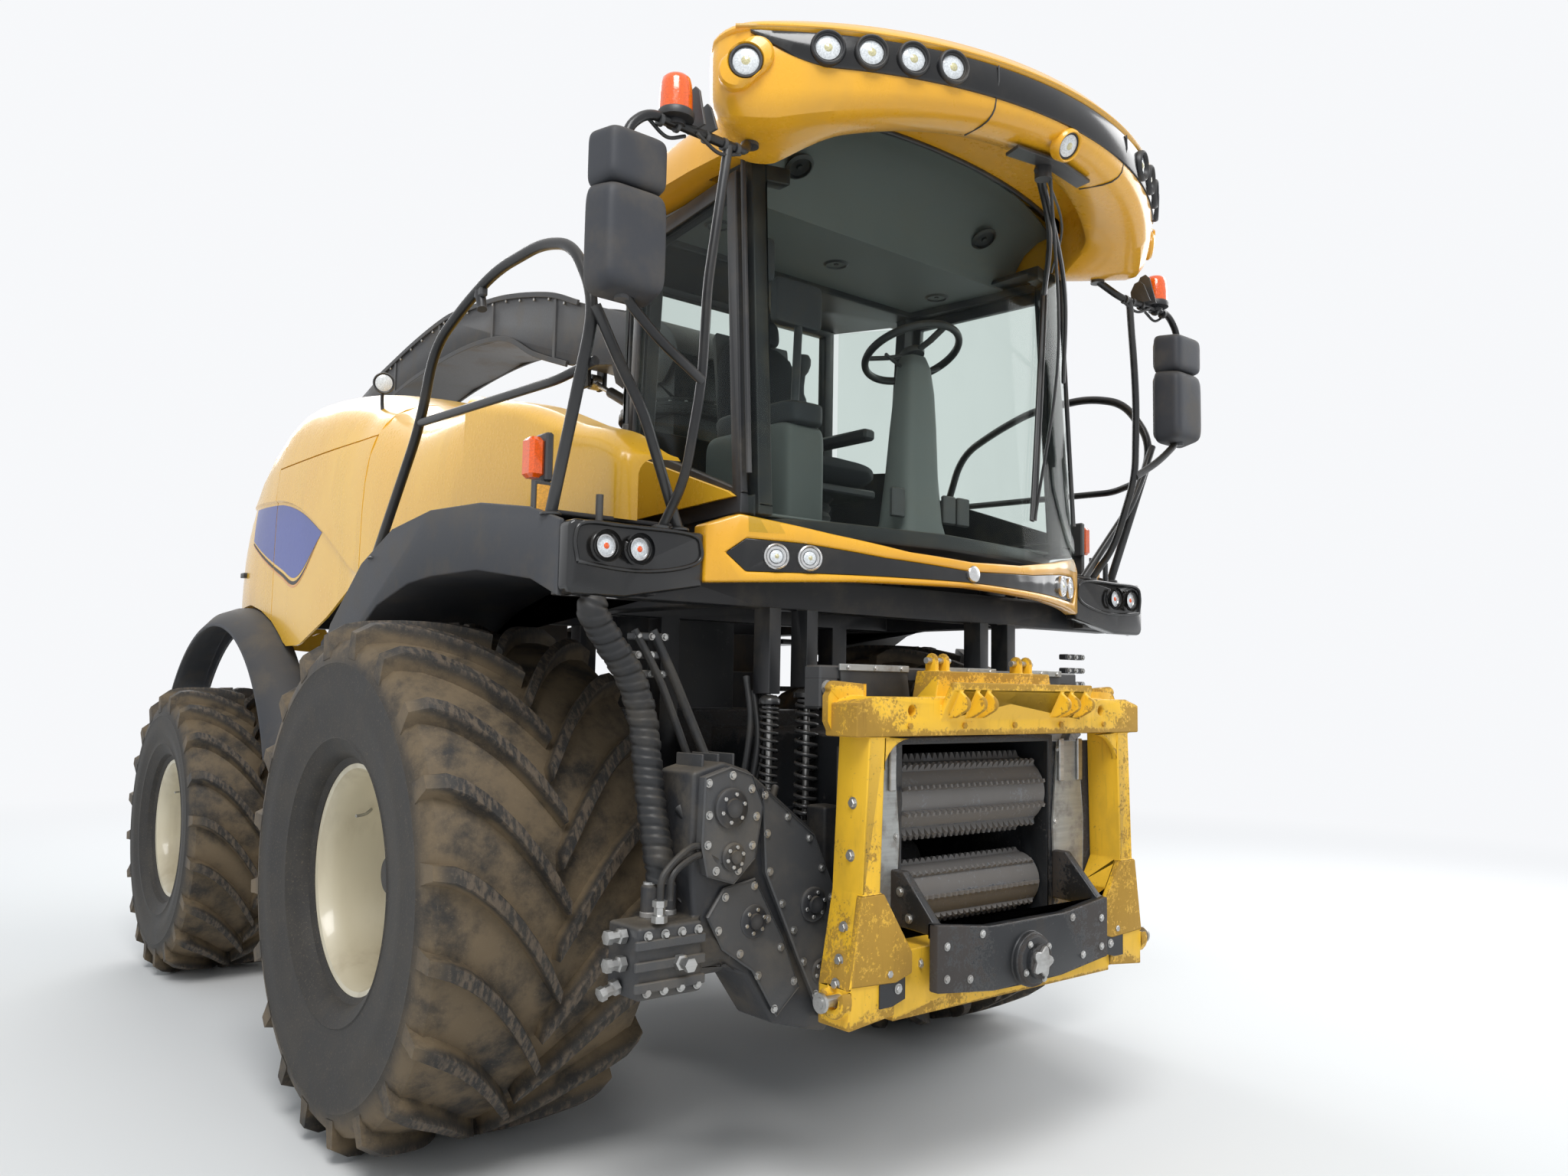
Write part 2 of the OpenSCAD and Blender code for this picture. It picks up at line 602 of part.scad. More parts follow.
rear_lip_x = 1350;
rear_fender_r = 1280;
rear_lip_r = 1180;
rear_fender_from = 38;
rear_fender_to = 158;
module rear_fenders() color("#35363a") in_frame() both_sides()
    translate([0, wheelbase, rear_r]) intersection() {
        rotate([0, 90, 0]) rotate_extrude($fn = 96) polygon([
            [rear_lip_r - 6, fender_flange_x], [rear_fender_r, fender_flange_x],
            [rear_fender_r - 6, 1210], [rear_fender_r - 36, 1290], [rear_lip_r, rear_lip_x],
            [rear_lip_r - fender_t, rear_lip_x], [rear_fender_r - 62, 1280],
            [rear_fender_r - 30, 1205], [rear_fender_r - 26, fender_flange_x + 16],
            [rear_lip_r - 6, fender_flange_x + 16]]);
        across(4000) polygon(concat([[0, 0]],
            [for (a = [rear_fender_from:20:rear_fender_to]) 2000 * [cos(a), sin(a)]]));
    }

// Lamp wings beside the nose band
wing_front = -1240;
wing_back = fender_inner[0][0] - seat_gap;
wing_low = 1930;
wing_top = 2160;
nose_half = 1000;
wing_lamps = [1261, 1381];
module wings() color("#151618") in_frame() both_sides() {
    along(wing_front, wing_back) polygon([[nose_half + seat_gap, 1985], [1300, wing_low],
        [fender_x - 16, wing_low], [fender_x, wing_low + 20], [fender_x, wing_top - 14],
        [fender_x - 20, wing_top], [nose_half + seat_gap, wing_top]]);
    for (x = wing_lamps) translate([x, wing_front + 10, 2083]) rotate([90, 0, 0])
        cylinder(d = 74, h = 20, $fn = 32);
}

// What stands on the fenders and wings ends at their upper faces.
module above_decks() difference() {
    children();
    across(3 * fender_x) polygon(concat([[435, 0]], [for (p = fender_outer) p + [0, seat_gap]],
        [[wing_back, wing_top + seat_gap], [wing_front - 20, wing_top + seat_gap], [wing_front - 20, 0]]));
}

nose_r = 1960;
nose_front = -1520;
nose_t = 60;
nose_top = 2230;
module nose_ring(r_out, r_in) translate([0, nose_front + nose_r, 1900]) linear_extrude(500)
    intersection() {
        difference() { circle(r = r_out, $fn = 360); circle(r = r_in, $fn = 360); }
        translate([-nose_half, -nose_r - 100]) square([2 * nose_half, nose_r]);
    }
module nose_band() color("gold") in_frame() difference() {
    intersection() {
        nose_ring(nose_r, nose_r - nose_t);
        along(nose_front - 100, 0) polygon([[-nose_half, 2000], [-500, 2024], [0, 2035], [500, 2024],
            [nose_half, 2000], [nose_half, 2190], [900, nose_top], [600, 2180], [300, 2140], [0, 2127],
            [-300, 2140], [-600, 2180], [-900, nose_top], [-nose_half, 2190]]);
    }
    nose_pocket(0);
}
module nose_pocket(gap) intersection() {
    nose_ring(nose_r + 20, nose_r - 40);
    along(nose_front - 100, 0) polygon([[0, 2052 + gap], [500, 2046 + gap], [880, 2040 + gap],
        [940 - gap, 2100], [880 - gap, 2150 - gap], [700, 2142 - gap], [400, 2112 - gap], [0, 2092 - gap],
        [-400, 2112 - gap], [-700, 2142 - gap], [-880 + gap, 2150 - gap], [-940 + gap, 2100],
        [-880, 2040 + gap], [-500, 2046 + gap]]);
}
// Angles of the round lamps along the nose.
nose_lamps = [20.4, 23.8];
nose_lamp_d = 82;
module nose_insert() color("#101113") in_frame() {
    intersection() {
        nose_pocket(seat_gap);
        nose_ring(nose_r - 4, nose_r - 40 + seat_gap);
    }
    for (a = nose_lamps, s = [-1, 1]) translate([0, nose_front + nose_r, 2093]) rotate([0, 0, s * a - 90])
        translate([nose_r - 20, 0, 0]) rotate([0, 90, 0]) cylinder(d = nose_lamp_d, h = 24, $fn = 32);
}

// Cab

cab_front_y = -1313;
cab_back_y = -368;
cab_wall_y = -60;
cab_lean_back = (cab_top_z - cab_floor_z) * tan(cab_lean);
side_angle = atan((cab_half - cab_rear_half) / (cab_back_y - cab_front_y));
side_l = (cab_back_y - cab_front_y) / cos(side_angle);
screen_sag = 167;
screen_r = (pow(cab_half, 2) + pow(screen_sag, 2)) / (2 * screen_sag);
floor_t = 60;
wall_sill = 2760;
mount_d = 110;

// Places a side, drawn as Y along it from the front post and Z up, on the left flank,
// with its outer face set in from the cab's side.
module on_side(t, inset = 0) translate([cab_half, cab_front_y, 0]) rotate([0, 0, side_angle])
    translate([-t / 2 - inset, 0, 0]) across(t) children();

side_t = 30;
door_clear = 6;
sill_z = cab_floor_z + 56;
side_front = 20;
side_outline = [[side_front, sill_z + door_clear], [side_l - 30, sill_z + door_clear],
    [side_l - 90, cab_top_z - 40], [cab_lean_back + side_front + 6, cab_top_z - 40]];
// The door's pivot line runs along its front edge, inside its thickness.
pivot_in = 18;
door_pivot_d = 14;
pivot_lean = atan((cab_lean_back + 6) / (cab_top_z - 40 - sill_z - door_clear));
module door_pivot(from, h, d) translate([cab_half, cab_front_y, 0]) rotate([0, 0, side_angle])
    translate([-side_t / 2, side_front + pivot_in, sill_z + door_clear]) rotate([-pivot_lean, 0, 0])
        translate([0, 0, from]) cylinder(d = d, h = h, $fn = 32);
door_h = (cab_top_z - 40 - sill_z - door_clear) / cos(pivot_lean);
// The window's outline, set in by g.
function side_window(g) = [[80 + g, cab_floor_z + 90 + g], [side_l - 100 - g, cab_floor_z + 360 + g],
    [side_l - 150 - g, cab_top_z - 100 - g], [cab_lean_back + 86 + g, cab_top_z - 100 - g]];
// Distance of the cab side's inner face from the middle at y.
function side_in_x(y) = cab_half - (y - cab_front_y) * tan(side_angle) - side_t / cos(side_angle);
// The windscreen's inner face at x, at floor height.
function screen_in_y(x) = cab_front_y - screen_sag + screen_r - sqrt(pow(screen_r - glass_t, 2) - x * x);
front_post_x = side_in_x(cab_front_y + 160) - door_clear;
rear_post_x = side_in_x(cab_back_y) - door_clear;
post_front_y = screen_in_y(front_post_x) + seat_gap;
sole_z = nose_top + 2;

module screen_ring(r, t, low, high) translate([0, cab_front_y - screen_sag + screen_r, low])
    linear_extrude(high - low) intersection() {
        difference() { circle(r = r, $fn = 360); circle(r = r - t, $fn = 360); }
        translate([-cab_half + 8, -screen_r - 10]) square([2 * cab_half - 16, 400]);
    }

module floor_plan() polygon([[-cab_half + 20, -1190], [-500, -1330], [0, -1390], [500, -1330],
    [cab_half - 20, -1190], [cab_rear_half, cab_back_y + 2], [cab_wall_half, cab_wall_y],
    [-cab_wall_half, cab_wall_y], [-cab_rear_half, cab_back_y + 2]]);

module cab_frame() color("#1a1b1d") in_frame() {
    translate([0, 0, cab_floor_z - floor_t]) linear_extrude(floor_t) floor_plan();
    both_sides() {
        across(post_w, front_post_x - post_w / 2) polygon([
            [post_front_y + 0.5, sole_z], [post_front_y + 76, sole_z],
            [post_front_y + cab_lean_back + 76, cab_top_z], [post_front_y + cab_lean_back, cab_top_z]]);
        translate([front_post_x - post_w, post_front_y + 1, sole_z]) cube([post_w, 170, 34]);
        across(post_w, rear_post_x - post_w / 2) polygon([
            [cab_back_y - 60, cab_floor_z - 1], [cab_back_y, cab_floor_z - 1],
            [cab_back_y - 80, cab_top_z], [cab_back_y - 140, cab_top_z]]);
        for (y = [-1090, -500]) translate([620, y, deck_z])
            cylinder(d = mount_d, h = cab_floor_z - floor_t - deck_z, $fn = 32);
    }
    difference() {
        translate([0, 0, cab_top_z - 60]) linear_extrude(60) polygon([
            [-front_post_x, -1232], [-500, -1330], [0, -1370], [500, -1330], [front_post_x, -1232],
            [rear_post_x, cab_back_y - 10], [cab_wall_half, cab_wall_y], [-cab_wall_half, cab_wall_y],
            [-rear_post_x, cab_back_y - 10]]);
        translate([0, 0, cab_top_z - 61]) linear_extrude(40) polygon([
            [-cab_half + 90, -1190], [-480, -1260], [0, -1300], [480, -1260], [cab_half - 90, -1190],
            [cab_rear_half - 90, cab_back_y - 160], [-cab_rear_half + 90, cab_back_y - 160]]);
    }
    along(cab_wall_y - 50, cab_wall_y) difference() {
        polygon([[-cab_wall_half, cab_floor_z - 1], [cab_wall_half, cab_floor_z - 1],
            [cab_wall_half, cab_top_z - 1], [-cab_wall_half, cab_top_z - 1]]);
        polygon([[-cab_wall_half + 60, wall_sill], [cab_wall_half - 60, wall_sill],
            [cab_wall_half - 60, cab_top_z - 90], [-cab_wall_half + 60, cab_top_z - 90]]);
    }
    both_sides() on_quarter(side_t) polygon([[0, cab_floor_z - 1], [quarter_l, cab_floor_z - 1],
        [quarter_l, wall_sill - 60], [0, wall_sill - 60]]);
    both_sides() on_side(side_t + 30) polygon([[side_front, cab_floor_z - 8],
        [side_l - 30, cab_floor_z - 8], [side_l - 30, sill_z], [side_front, sill_z]]);
    door_pivot(-24, 50, door_pivot_d);
    door_pivot(door_h - 30, 50, door_pivot_d);
    on_side(side_t + 70) polygon([[cab_lean_back + side_front, cab_top_z - 40 + door_clear],
        [cab_lean_back + side_front + 80, cab_top_z - 40 + door_clear],
        [cab_lean_back + side_front + 80, cab_top_z - 10], [cab_lean_back + side_front, cab_top_z - 10]]);
    mirror([1, 0, 0]) {
        on_side(side_t) difference() {
            polygon(side_outline);
            polygon(side_window(0));
        }
        on_side(side_t) polygon([[side_front, sill_z - 1], [side_l - 30, sill_z - 1],
            [side_l - 30, sill_z + door_clear + 1], [side_front, sill_z + door_clear + 1]]);
        on_side(side_t + 60) polygon([[cab_lean_back + 26, cab_top_z - 80],
            [side_l - 90, cab_top_z - 80], [side_l - 90, cab_top_z - 40], [cab_lean_back + 26, cab_top_z - 40]]);
    }
}

// The yellow skin below the right side window, and the fairing outside it.
fairing_x = 1196;
fairing_top = [[hood_front - 6, 2852], [-322, 2728], [-646, 2607], [-985, 2473], [-1020, 2436]];
module cab_side_panels() color("gold") in_frame() mirror([1, 0, 0]) {
    translate([cab_half, cab_front_y, 0]) rotate([0, 0, side_angle])
        translate([panel_t / 2 + seat_gap, 0, 0]) across(panel_t) polygon([[40, cab_floor_z + 50],
            [side_l - 40, cab_floor_z + 50], [side_l - 60, cab_floor_z + 330], [80, cab_floor_z + 70]]);
    across(panel_t, fairing_x - panel_t / 2) polygon(concat(fairing_top,
        [[-1020, 2216], [-983, 2220 + seat_gap], [-629, 2271 + seat_gap], [-222, 2287 + seat_gap],
         [130, 2249 + seat_gap], [hood_front - 6, 2232]]));
    across(150, fairing_x - 75) polygon(concat(fairing_top,
        [for (i = [len(fairing_top) - 1:-1:0]) fairing_top[i] - [0, panel_t]]));
}

// Places a rear quarter, drawn as Y along it from the side's rear end and Z up.
quarter_angle = atan((cab_rear_half - cab_wall_half) / (cab_wall_y - cab_back_y));
quarter_l = (cab_wall_y - cab_back_y) / cos(quarter_angle);
module on_quarter(t) translate([cab_rear_half, cab_back_y, 0]) rotate([0, 0, quarter_angle])
    translate([-t / 2 - 2, 0, 0]) across(t) children();

screen_low = cab_floor_z - 90;
glass_inset = 11;
module windscreen() color("#5d6b66", 0.5) in_frame() intersection() {
    translate([0, cab_front_y, cab_floor_z]) rotate([-cab_lean, 0, 0])
        translate([0, -cab_front_y, -cab_floor_z])
            screen_ring(screen_r, glass_t, screen_low - 60, cab_top_z + 60);
    along(-2000, 0) polygon([[-cab_half, cab_floor_z + 10], [-500, cab_floor_z - 60],
        [0, cab_floor_z - 100], [500, cab_floor_z - 60], [cab_half, cab_floor_z + 10],
        [cab_half, cab_top_z - 20], [-cab_half, cab_top_z - 20]]);
}

module cab_glass() color("#5d6b66", 0.5) in_frame() {
    mirror([1, 0, 0]) on_side(glass_t, glass_inset) polygon(side_window(seat_gap));
    along(cab_wall_y - 29, cab_wall_y - 21)
        polygon([[-cab_wall_half + 60.3, wall_sill + 0.3], [cab_wall_half - 60.3, wall_sill + 0.3],
            [cab_wall_half - 60.3, cab_top_z - 90.3], [-cab_wall_half + 60.3, cab_top_z - 90.3]]);
    both_sides() on_quarter(glass_t) polygon([[20, wall_sill - 59.7], [quarter_l - 60, wall_sill - 59.7],
        [quarter_l - 60, cab_top_z - 60.3], [-40, cab_top_z - 60.3]]);
}

module door_frame() color("#1a1b1d") in_frame() difference() {
    on_side(side_t) difference() {
        polygon(side_outline);
        polygon(side_window(0));
    }
    door_pivot(-40, 72, door_pivot_d + 2 * run_gap);
    door_pivot(door_h - 32, 72, door_pivot_d + 2 * run_gap);
}
module door_glass() color("#5d6b66", 0.5) in_frame()
    on_side(glass_t, glass_inset) polygon(side_window(seat_gap));

// Roof

roof_top = cab_top_z + roof_rise;
roof_low = cab_top_z - 170;
visor_y = visor_r - visor_front;
visor_half_angle = 45;
function visor_profile() = concat([[1000, cab_top_z - 50], [1000, roof_top]],
    [[1250, roof_top - 4], [1500, roof_top - 34]], arc(visor_r - 130, roof_top - 180, 130, 62, -20, 5),
    [[visor_r - 40, roof_top - 300], [visor_r - 150, roof_top - 390], [visor_r - 330, cab_top_z - 40]]);
module visor_wedge(half, r) translate([0, visor_y, roof_low - 300]) linear_extrude(1000) polygon(concat(
    [[0, 0]], [for (a = [-90 - half:half / 6:-90 + half]) r * [cos(a), sin(a)]]));
band_top = roof_top - 130;
band_low = roof_top - 250;
module band_section(grow) polygon([[visor_r - 40 - grow, band_low - grow],
    [visor_r + 60, band_low - grow], [visor_r + 60, band_top + grow],
    [visor_r - 40 - grow, band_top + grow]]);

module roof() color("gold") in_frame() {
    difference() {
        intersection() {
            translate([0, visor_y, 0]) rotate_extrude($fn = 144) polygon(visor_profile());
            visor_wedge(visor_half_angle, 2400);
        }
        intersection() {
            translate([0, visor_y, 0]) rotate_extrude($fn = 144) band_section(0);
            visor_wedge(visor_half_angle - 5, 2400);
        }
        translate([-cab_half, -1450, roof_low]) cube([2 * cab_half, 850, cab_top_z - roof_low + seat_gap]);
        // The lip is thin ahead of the windscreen and deep at its ends.
        for (p = [[26, 280], [35, 330]]) intersection() {
            translate([0, visor_y, 0]) rotate_extrude($fn = 144) polygon([[1100, roof_low], [1100, roof_top - 140],
                [visor_r - 270, roof_top - 140], [visor_r - 250, roof_top - p[1]], [visor_r - 55, roof_top - p[1]],
                [visor_r, roof_low]]);
            visor_wedge(p[0], 2400);
        }
    }
    intersection() {
        across(2 * cab_half + 80) polygon([[-1400, cab_top_z + seat_gap],
            [-1400, roof_top], [-1150, roof_top - 6], [-760, roof_top - 50], [-360, roof_top - 130],
            [-100, roof_top - 220], [cab_wall_y + 10, roof_top - 300], [cab_wall_y, cab_top_z + seat_gap]]);
        along(-1500, 0) polygon([[-940, cab_top_z + seat_gap], [-940, roof_top - 240],
            [-880, roof_top - 140], [-700, roof_top - 50], [-300, roof_top], [300, roof_top],
            [700, roof_top - 50], [880, roof_top - 140], [940, roof_top - 240],
            [940, cab_top_z + seat_gap]]);
        translate([0, 0, cab_top_z - 70]) linear_extrude(600) polygon([[-940, -1500], [940, -1500],
            [830, -420], [640, -80], [560, cab_wall_y + 12], [-560, cab_wall_y + 12], [-640, -80],
            [-830, -420]]);
    }
    for (s = [-1, 1]) visor_lamp(s * end_lamp, band_low);
}
// Round lamps: angles along the visor's front edge, ring diameter and how far a ring stands out.
visor_lamps = [18.6, 23.4, 28.2, 33];
end_lamp = 41.8;
lamp_d = 96;
lamp_out = 10;
module visor_lamp(a, z) translate([0, visor_y, z]) rotate([0, 0, a - 90]) translate([visor_r - 20, 0, 0])
    rotate([0, 90, 0]) {
        cylinder(d = lamp_d, h = 20 + lamp_out, $fn = 32);
        cylinder(d = lamp_d - 26, h = 20 + lamp_out + 6, $fn = 32);
    }
module lamp_band() color("#101113") in_frame() {
    intersection() {
        translate([0, visor_y, 0]) rotate_extrude($fn = 144) intersection() {
            band_section(-seat_gap);
            polygon(visor_profile());
        }
        visor_wedge(visor_half_angle - 5.1, 2400);
    }
    for (a = visor_lamps, s = [-1, 1]) visor_lamp(s * a, (band_low + band_top) / 2);
}

// Inside the cab

module seat() color("#232427") in_frame() translate([0, -560, cab_floor_z]) {
    cylinder(d = 260, h = 260, $fn = 40);
    translate([-250, -280, 260]) cube([500, 540, 130]);
    across(480) polygon([[170, 380], [290, 380], [390, 960], [290, 980]]);
    across(300) polygon([[300, 977], [392, 958], [400, 1090], [330, 1110]]);
}
module steering_column() color("#1c1d1f") in_frame() translate([0, -1203, cab_floor_z]) {
    across(160) polygon([[-130, 0], [60, 0], [50, 500], [22, 724], [-36, 710]]);
    translate([0, 0, 724]) rotate([-22, 0, 0]) {
        rotate_extrude($fn = 64) translate([190, 0]) circle(d = 30, $fn = 24);
        cylinder(d = 80, h = 24, center = true, $fn = 32);
        for (a = [30, 150, 270]) rotate([0, 0, a]) translate([30, -14, -8]) cube([158, 28, 14]);
    }
}
module console() color("#2c2d30") in_frame() translate([-360, -760, cab_floor_z]) {
    translate([-100, -260, 0]) cube([200, 560, 420]);
    translate([-90, -300, 420]) cube([180, 520, 90]);
    translate([0, -200, 500]) cylinder(d = 26, h = 140, $fn = 32);
    translate([0, -200, 650]) sphere(d = 64, $fn = 32);
    translate([-60, -250, 500]) cylinder(d = 34, h = 290, $fn = 32);
    translate([-180, -272, 780]) cube([220, 44, 170]);
}

// Rails, ladder and mirrors

rail_x = fender_x - handrail_d / 2 - 2;
module handrails() color("#151618") in_frame() both_sides() above_decks() {
    tube([[rail_x, 330, 2130], [rail_x, -48, 2627], [rail_x, -157, 2915], [rail_x, -410, 3015],
        [rail_x, -645, 3079], [rail_x, -970, 3082], [rail_x, -1169, 3025], [rail_x, -1319, 2807],
        [rail_x, -1080, 2140]], handrail_d);
    tube([[rail_x, -60, 2640], [rail_x, -1250, 2610]], handrail_d * 0.8);
    tube([[rail_x, -1319, 2800], [1300, -1316, 2500], [1070, -1210, 2120]], handrail_d * 0.9);
}

ladder_y = 1020;
ladder_l = 400;
ladder_in = 1210;
ladder_out = 1470;
step_z = [520, 800, 1080, 1360, 1640, 1920];
walk_z = 2130;
module ladder() color("#1c1d1f") in_frame() {
    for (y = [ladder_y, ladder_y + ladder_l - 24]) along(y, y + 24) polygon([
        [ladder_out - 90, 480], [ladder_out, 480], [ladder_out, walk_z - 1],
        [ladder_in + 60, walk_z - 1], [ladder_in + 60, walk_z - 90], [ladder_out - 120, walk_z - 90]]);
    for (z = step_z) translate([ladder_out - 220, ladder_y + 10, z]) cube([220, ladder_l - 20, 30]);
    translate([hood_half + 2, fender_outer[0][0] + seat_gap, walk_z - 30])
        cube([fender_x - hood_half - 30, ladder_y + ladder_l - fender_outer[0][0], 30]);
    translate([hood_half - tank_out + seat_gap, 1050, walk_z - 130]) cube([140, 60, 101]);
    translate([hood_half - tank_out + seat_gap, 1330, walk_z - 130]) cube([140, 60, 101]);
}

mirror_y = -1450;
module mirror_head(x, z, w, h) translate([x, mirror_y, z])
    along(-70, 60) polygon(concat(arc(w / 2 - 30, h / 2 - 30, 30, 0, 90, 3),
        arc(-w / 2 + 30, h / 2 - 30, 30, 90, 180, 3), arc(-w / 2 + 30, -h / 2 + 30, 30, 180, 270, 3),
        arc(w / 2 - 30, -h / 2 + 30, 30, 270, 360, 3)));
mirror_root = [970, -1384, 3439];
module mirrors() color("#18191b") in_frame() both_sides() above_decks() {
    translate(mirror_root - [0, 0, 30]) cylinder(d = 60, h = 30, $fn = 32);
    tube([mirror_root - [0, 0, 5], [1020, mirror_y, 3345], [1400, mirror_y, 3350], [1470, mirror_y, 3300],
        [1475, mirror_y, 2800], [1163, mirror_y + 20, 2600]], mirror_arm_d);
    tube([[1098, mirror_y, 3340], [1158, mirror_y + 10, 2900], [1163, mirror_y + 20, 2600],
        [1150, -1330, 2300], [1150, -1206, 2120]], mirror_arm_d);
    mirror_head(1470, 3190, 210, 170);
    mirror_head(1470, 2950, 230, 280);
    translate([1300, mirror_y, 3340]) cylinder(d = 40, h = 60, $fn = 32);
    translate([1300, mirror_y, 3395]) cylinder(d = 110, h = 130, $fn = 40);
    translate([fender_x - 70, -960, 2120]) cube([24, 60, 180]);
    translate([fender_x - 76, -966, 2288]) cube([40, 70, 170]);
}

// Feeder

feeder_half = throat_w / 2;
feeder_front = frame_front - 150;
feeder_back = feeder_pivot_y + 70;
feeder_low = 800;
feeder_top = 1480;
pivot_ear_r = 90;
cyl_x = 330;
rod_eye_y = -1250;
rod_eye_z = 690;
barrel_eye_y = -250;
barrel_eye_z = 600;
cyl_pin_d = 40;
roll_shaft_d = 60;
upper_front = [-1420, 1290];
upper_rear = [-800, 1230];
lower_front = [-1420, 960];
lower_rear = [-820, 950];

module feeder_housing() color("#3f4143") in_frame() difference() {
    union() {
        both_sides() {
            across(throat_t, feeder_half + throat_t / 2) polygon([[-feeder_front, feeder_low],
                [-feeder_front, feeder_top], [-feeder_back, feeder_top], [-feeder_back, feeder_low]]);
            across(34, cutter_half + 10 + 17) polygon(concat([[-feeder_back - 260, 1000],
                [-feeder_back - 260, 1300]], arc(-feeder_pivot_y, feeder_pivot_z, pivot_ear_r, 80, -80, 8)));
            translate([feeder_half + throat_t - 1, -feeder_back - 250, 1010])
                cube([cutter_half + 12 - feeder_half - throat_t, 240, 280]);
            translate([cyl_x - 70, rod_eye_y - 70, rod_eye_z - 40]) cube([24, 140, feeder_low - rod_eye_z + 50]);
            translate([cyl_x + 46, rod_eye_y - 70, rod_eye_z - 40]) cube([24, 140, feeder_low - rod_eye_z + 50]);
            translate([cyl_x, rod_eye_y, rod_eye_z]) axle_bar(cyl_pin_d, 150);
            translate([spring_rows[0][0] - 50, spring_y - 30, spring_rows[0][2] - seat_gap - 30])
                cube([100, 60, 30]);
            translate([feeder_half + throat_t - 1, spring_y + 50, spring_rows[1][2] - seat_gap - 30])
                cube([spring_rows[1][0] + 31 - feeder_half - throat_t, 40, 30]);
            translate([spring_rows[1][0] - 30, spring_y - 30, spring_rows[1][2] - seat_gap - 30])
                cube([60, 90, 30]);
            along(-feeder_front, -feeder_front + 12) polygon([[feeder_half + throat_t - 1, feeder_low],
                [frame_w / 2 - 20, feeder_low + 40], [frame_w / 2 - 20, feeder_top],
                [feeder_half + throat_t - 1, feeder_top]]);
        }
        translate([-feeder_half - 1, -feeder_front, feeder_low - 24])
            cube([throat_w + 2, feeder_front - feeder_back, 25]);
        translate([-feeder_half - throat_t, -feeder_front, feeder_top - 1])
            cube([throat_w + 2 * throat_t, feeder_front - feeder_back, 25]);
    }
    translate([0, -feeder_pivot_y, feeder_pivot_z]) axle_bar(pivot_pin_d + 2 * run_gap, 2000);
    for (c = [upper_front, upper_rear, lower_front, lower_rear])
        translate([0, c[0], c[1]]) axle_bar(roll_shaft_d + 2 * run_gap, 2 * feeder_half + 4 * throat_t);
}

roll_gap = 8;
tooth_pitch = 30;
// One strip of teeth that stands on a roll, drawn along the roll and outwards.
module tooth_strip(r, depth) let (half = feeder_half - roll_gap - 4, n = floor(2 * half / tooth_pitch))
    translate([0, 6, 0]) rotate([90, 0, 0]) linear_extrude(12) polygon(concat(
        [[-half, r - depth - 14], [-half, r - depth]],
        [for (i = [0:n - 1]) let (x = -half + i * tooth_pitch)
            each [[x + 5, r], [x + tooth_pitch * 0.5, r], [x + tooth_pitch - 2, r - depth]]],
        [[half, r - depth], [half, r - depth - 14]]));
module feed_roll(c, d, strips, depth) translate([0, c[0], c[1]]) {
    axle_bar(d - 2 * depth - 8, 2 * (feeder_half - roll_gap));
    axle_bar(roll_shaft_d, 2 * (feeder_half + throat_t - 2));
    for (i = [0:strips - 1]) rotate([i * 360 / strips, 0, 0]) tooth_strip(d / 2, depth);
}
module upper_front_roll() color("#4b4d50") in_frame() feed_roll(upper_front, upper_roll_d, 10, 24);
module upper_rear_roll() color("#4b4d50") in_frame() feed_roll(upper_rear, lower_roll_d, 8, 18);
module lower_front_roll() color("#6d7073") in_frame() feed_roll(lower_front, lower_roll_d, 8, 14);
module lower_rear_roll() color("#8b8e91") in_frame() feed_roll(lower_rear, lower_roll_d - 20, 8, 6);

module feeder_gearbox() color("#1f2023") in_frame() {
    along(-1370, -1180) polygon([[-1116, 1400], [-1000, 1430], [-899, 1400], [-620, 1195],
        [-500, 960], [-500, 620], [-560, 534], [-783, 597], [-900, 760], [-1100, 880], [-1120, 1100]]);
    translate([-feeder_half - throat_t - seat_gap - 90, -1300, 760]) cube([90, 100, 500]);
    translate([-1040, -1180, 1260]) rotate([-90, 0, 0]) cylinder(d = 220, h = 60, $fn = 40);
    translate([-1320, -1400, 750]) cube([230, 170, 210]);
    translate([-1080, -1290, 860]) axle_bar(180, 240);
    for (x = [-35, 35]) translate([hose_x + x, -1290, 955]) cylinder(d = 50, h = 110, $fn = 32);
}

// Where the coupling frame's shelf, hooks and lugs stand.
shelf_half = 375;
hook_x = [198, 254];
rib_x = 336;
back_box_half = 320;
claw_y = 45 - frame_front;
claw_z = frame_low + 90;
claw_r = 56;

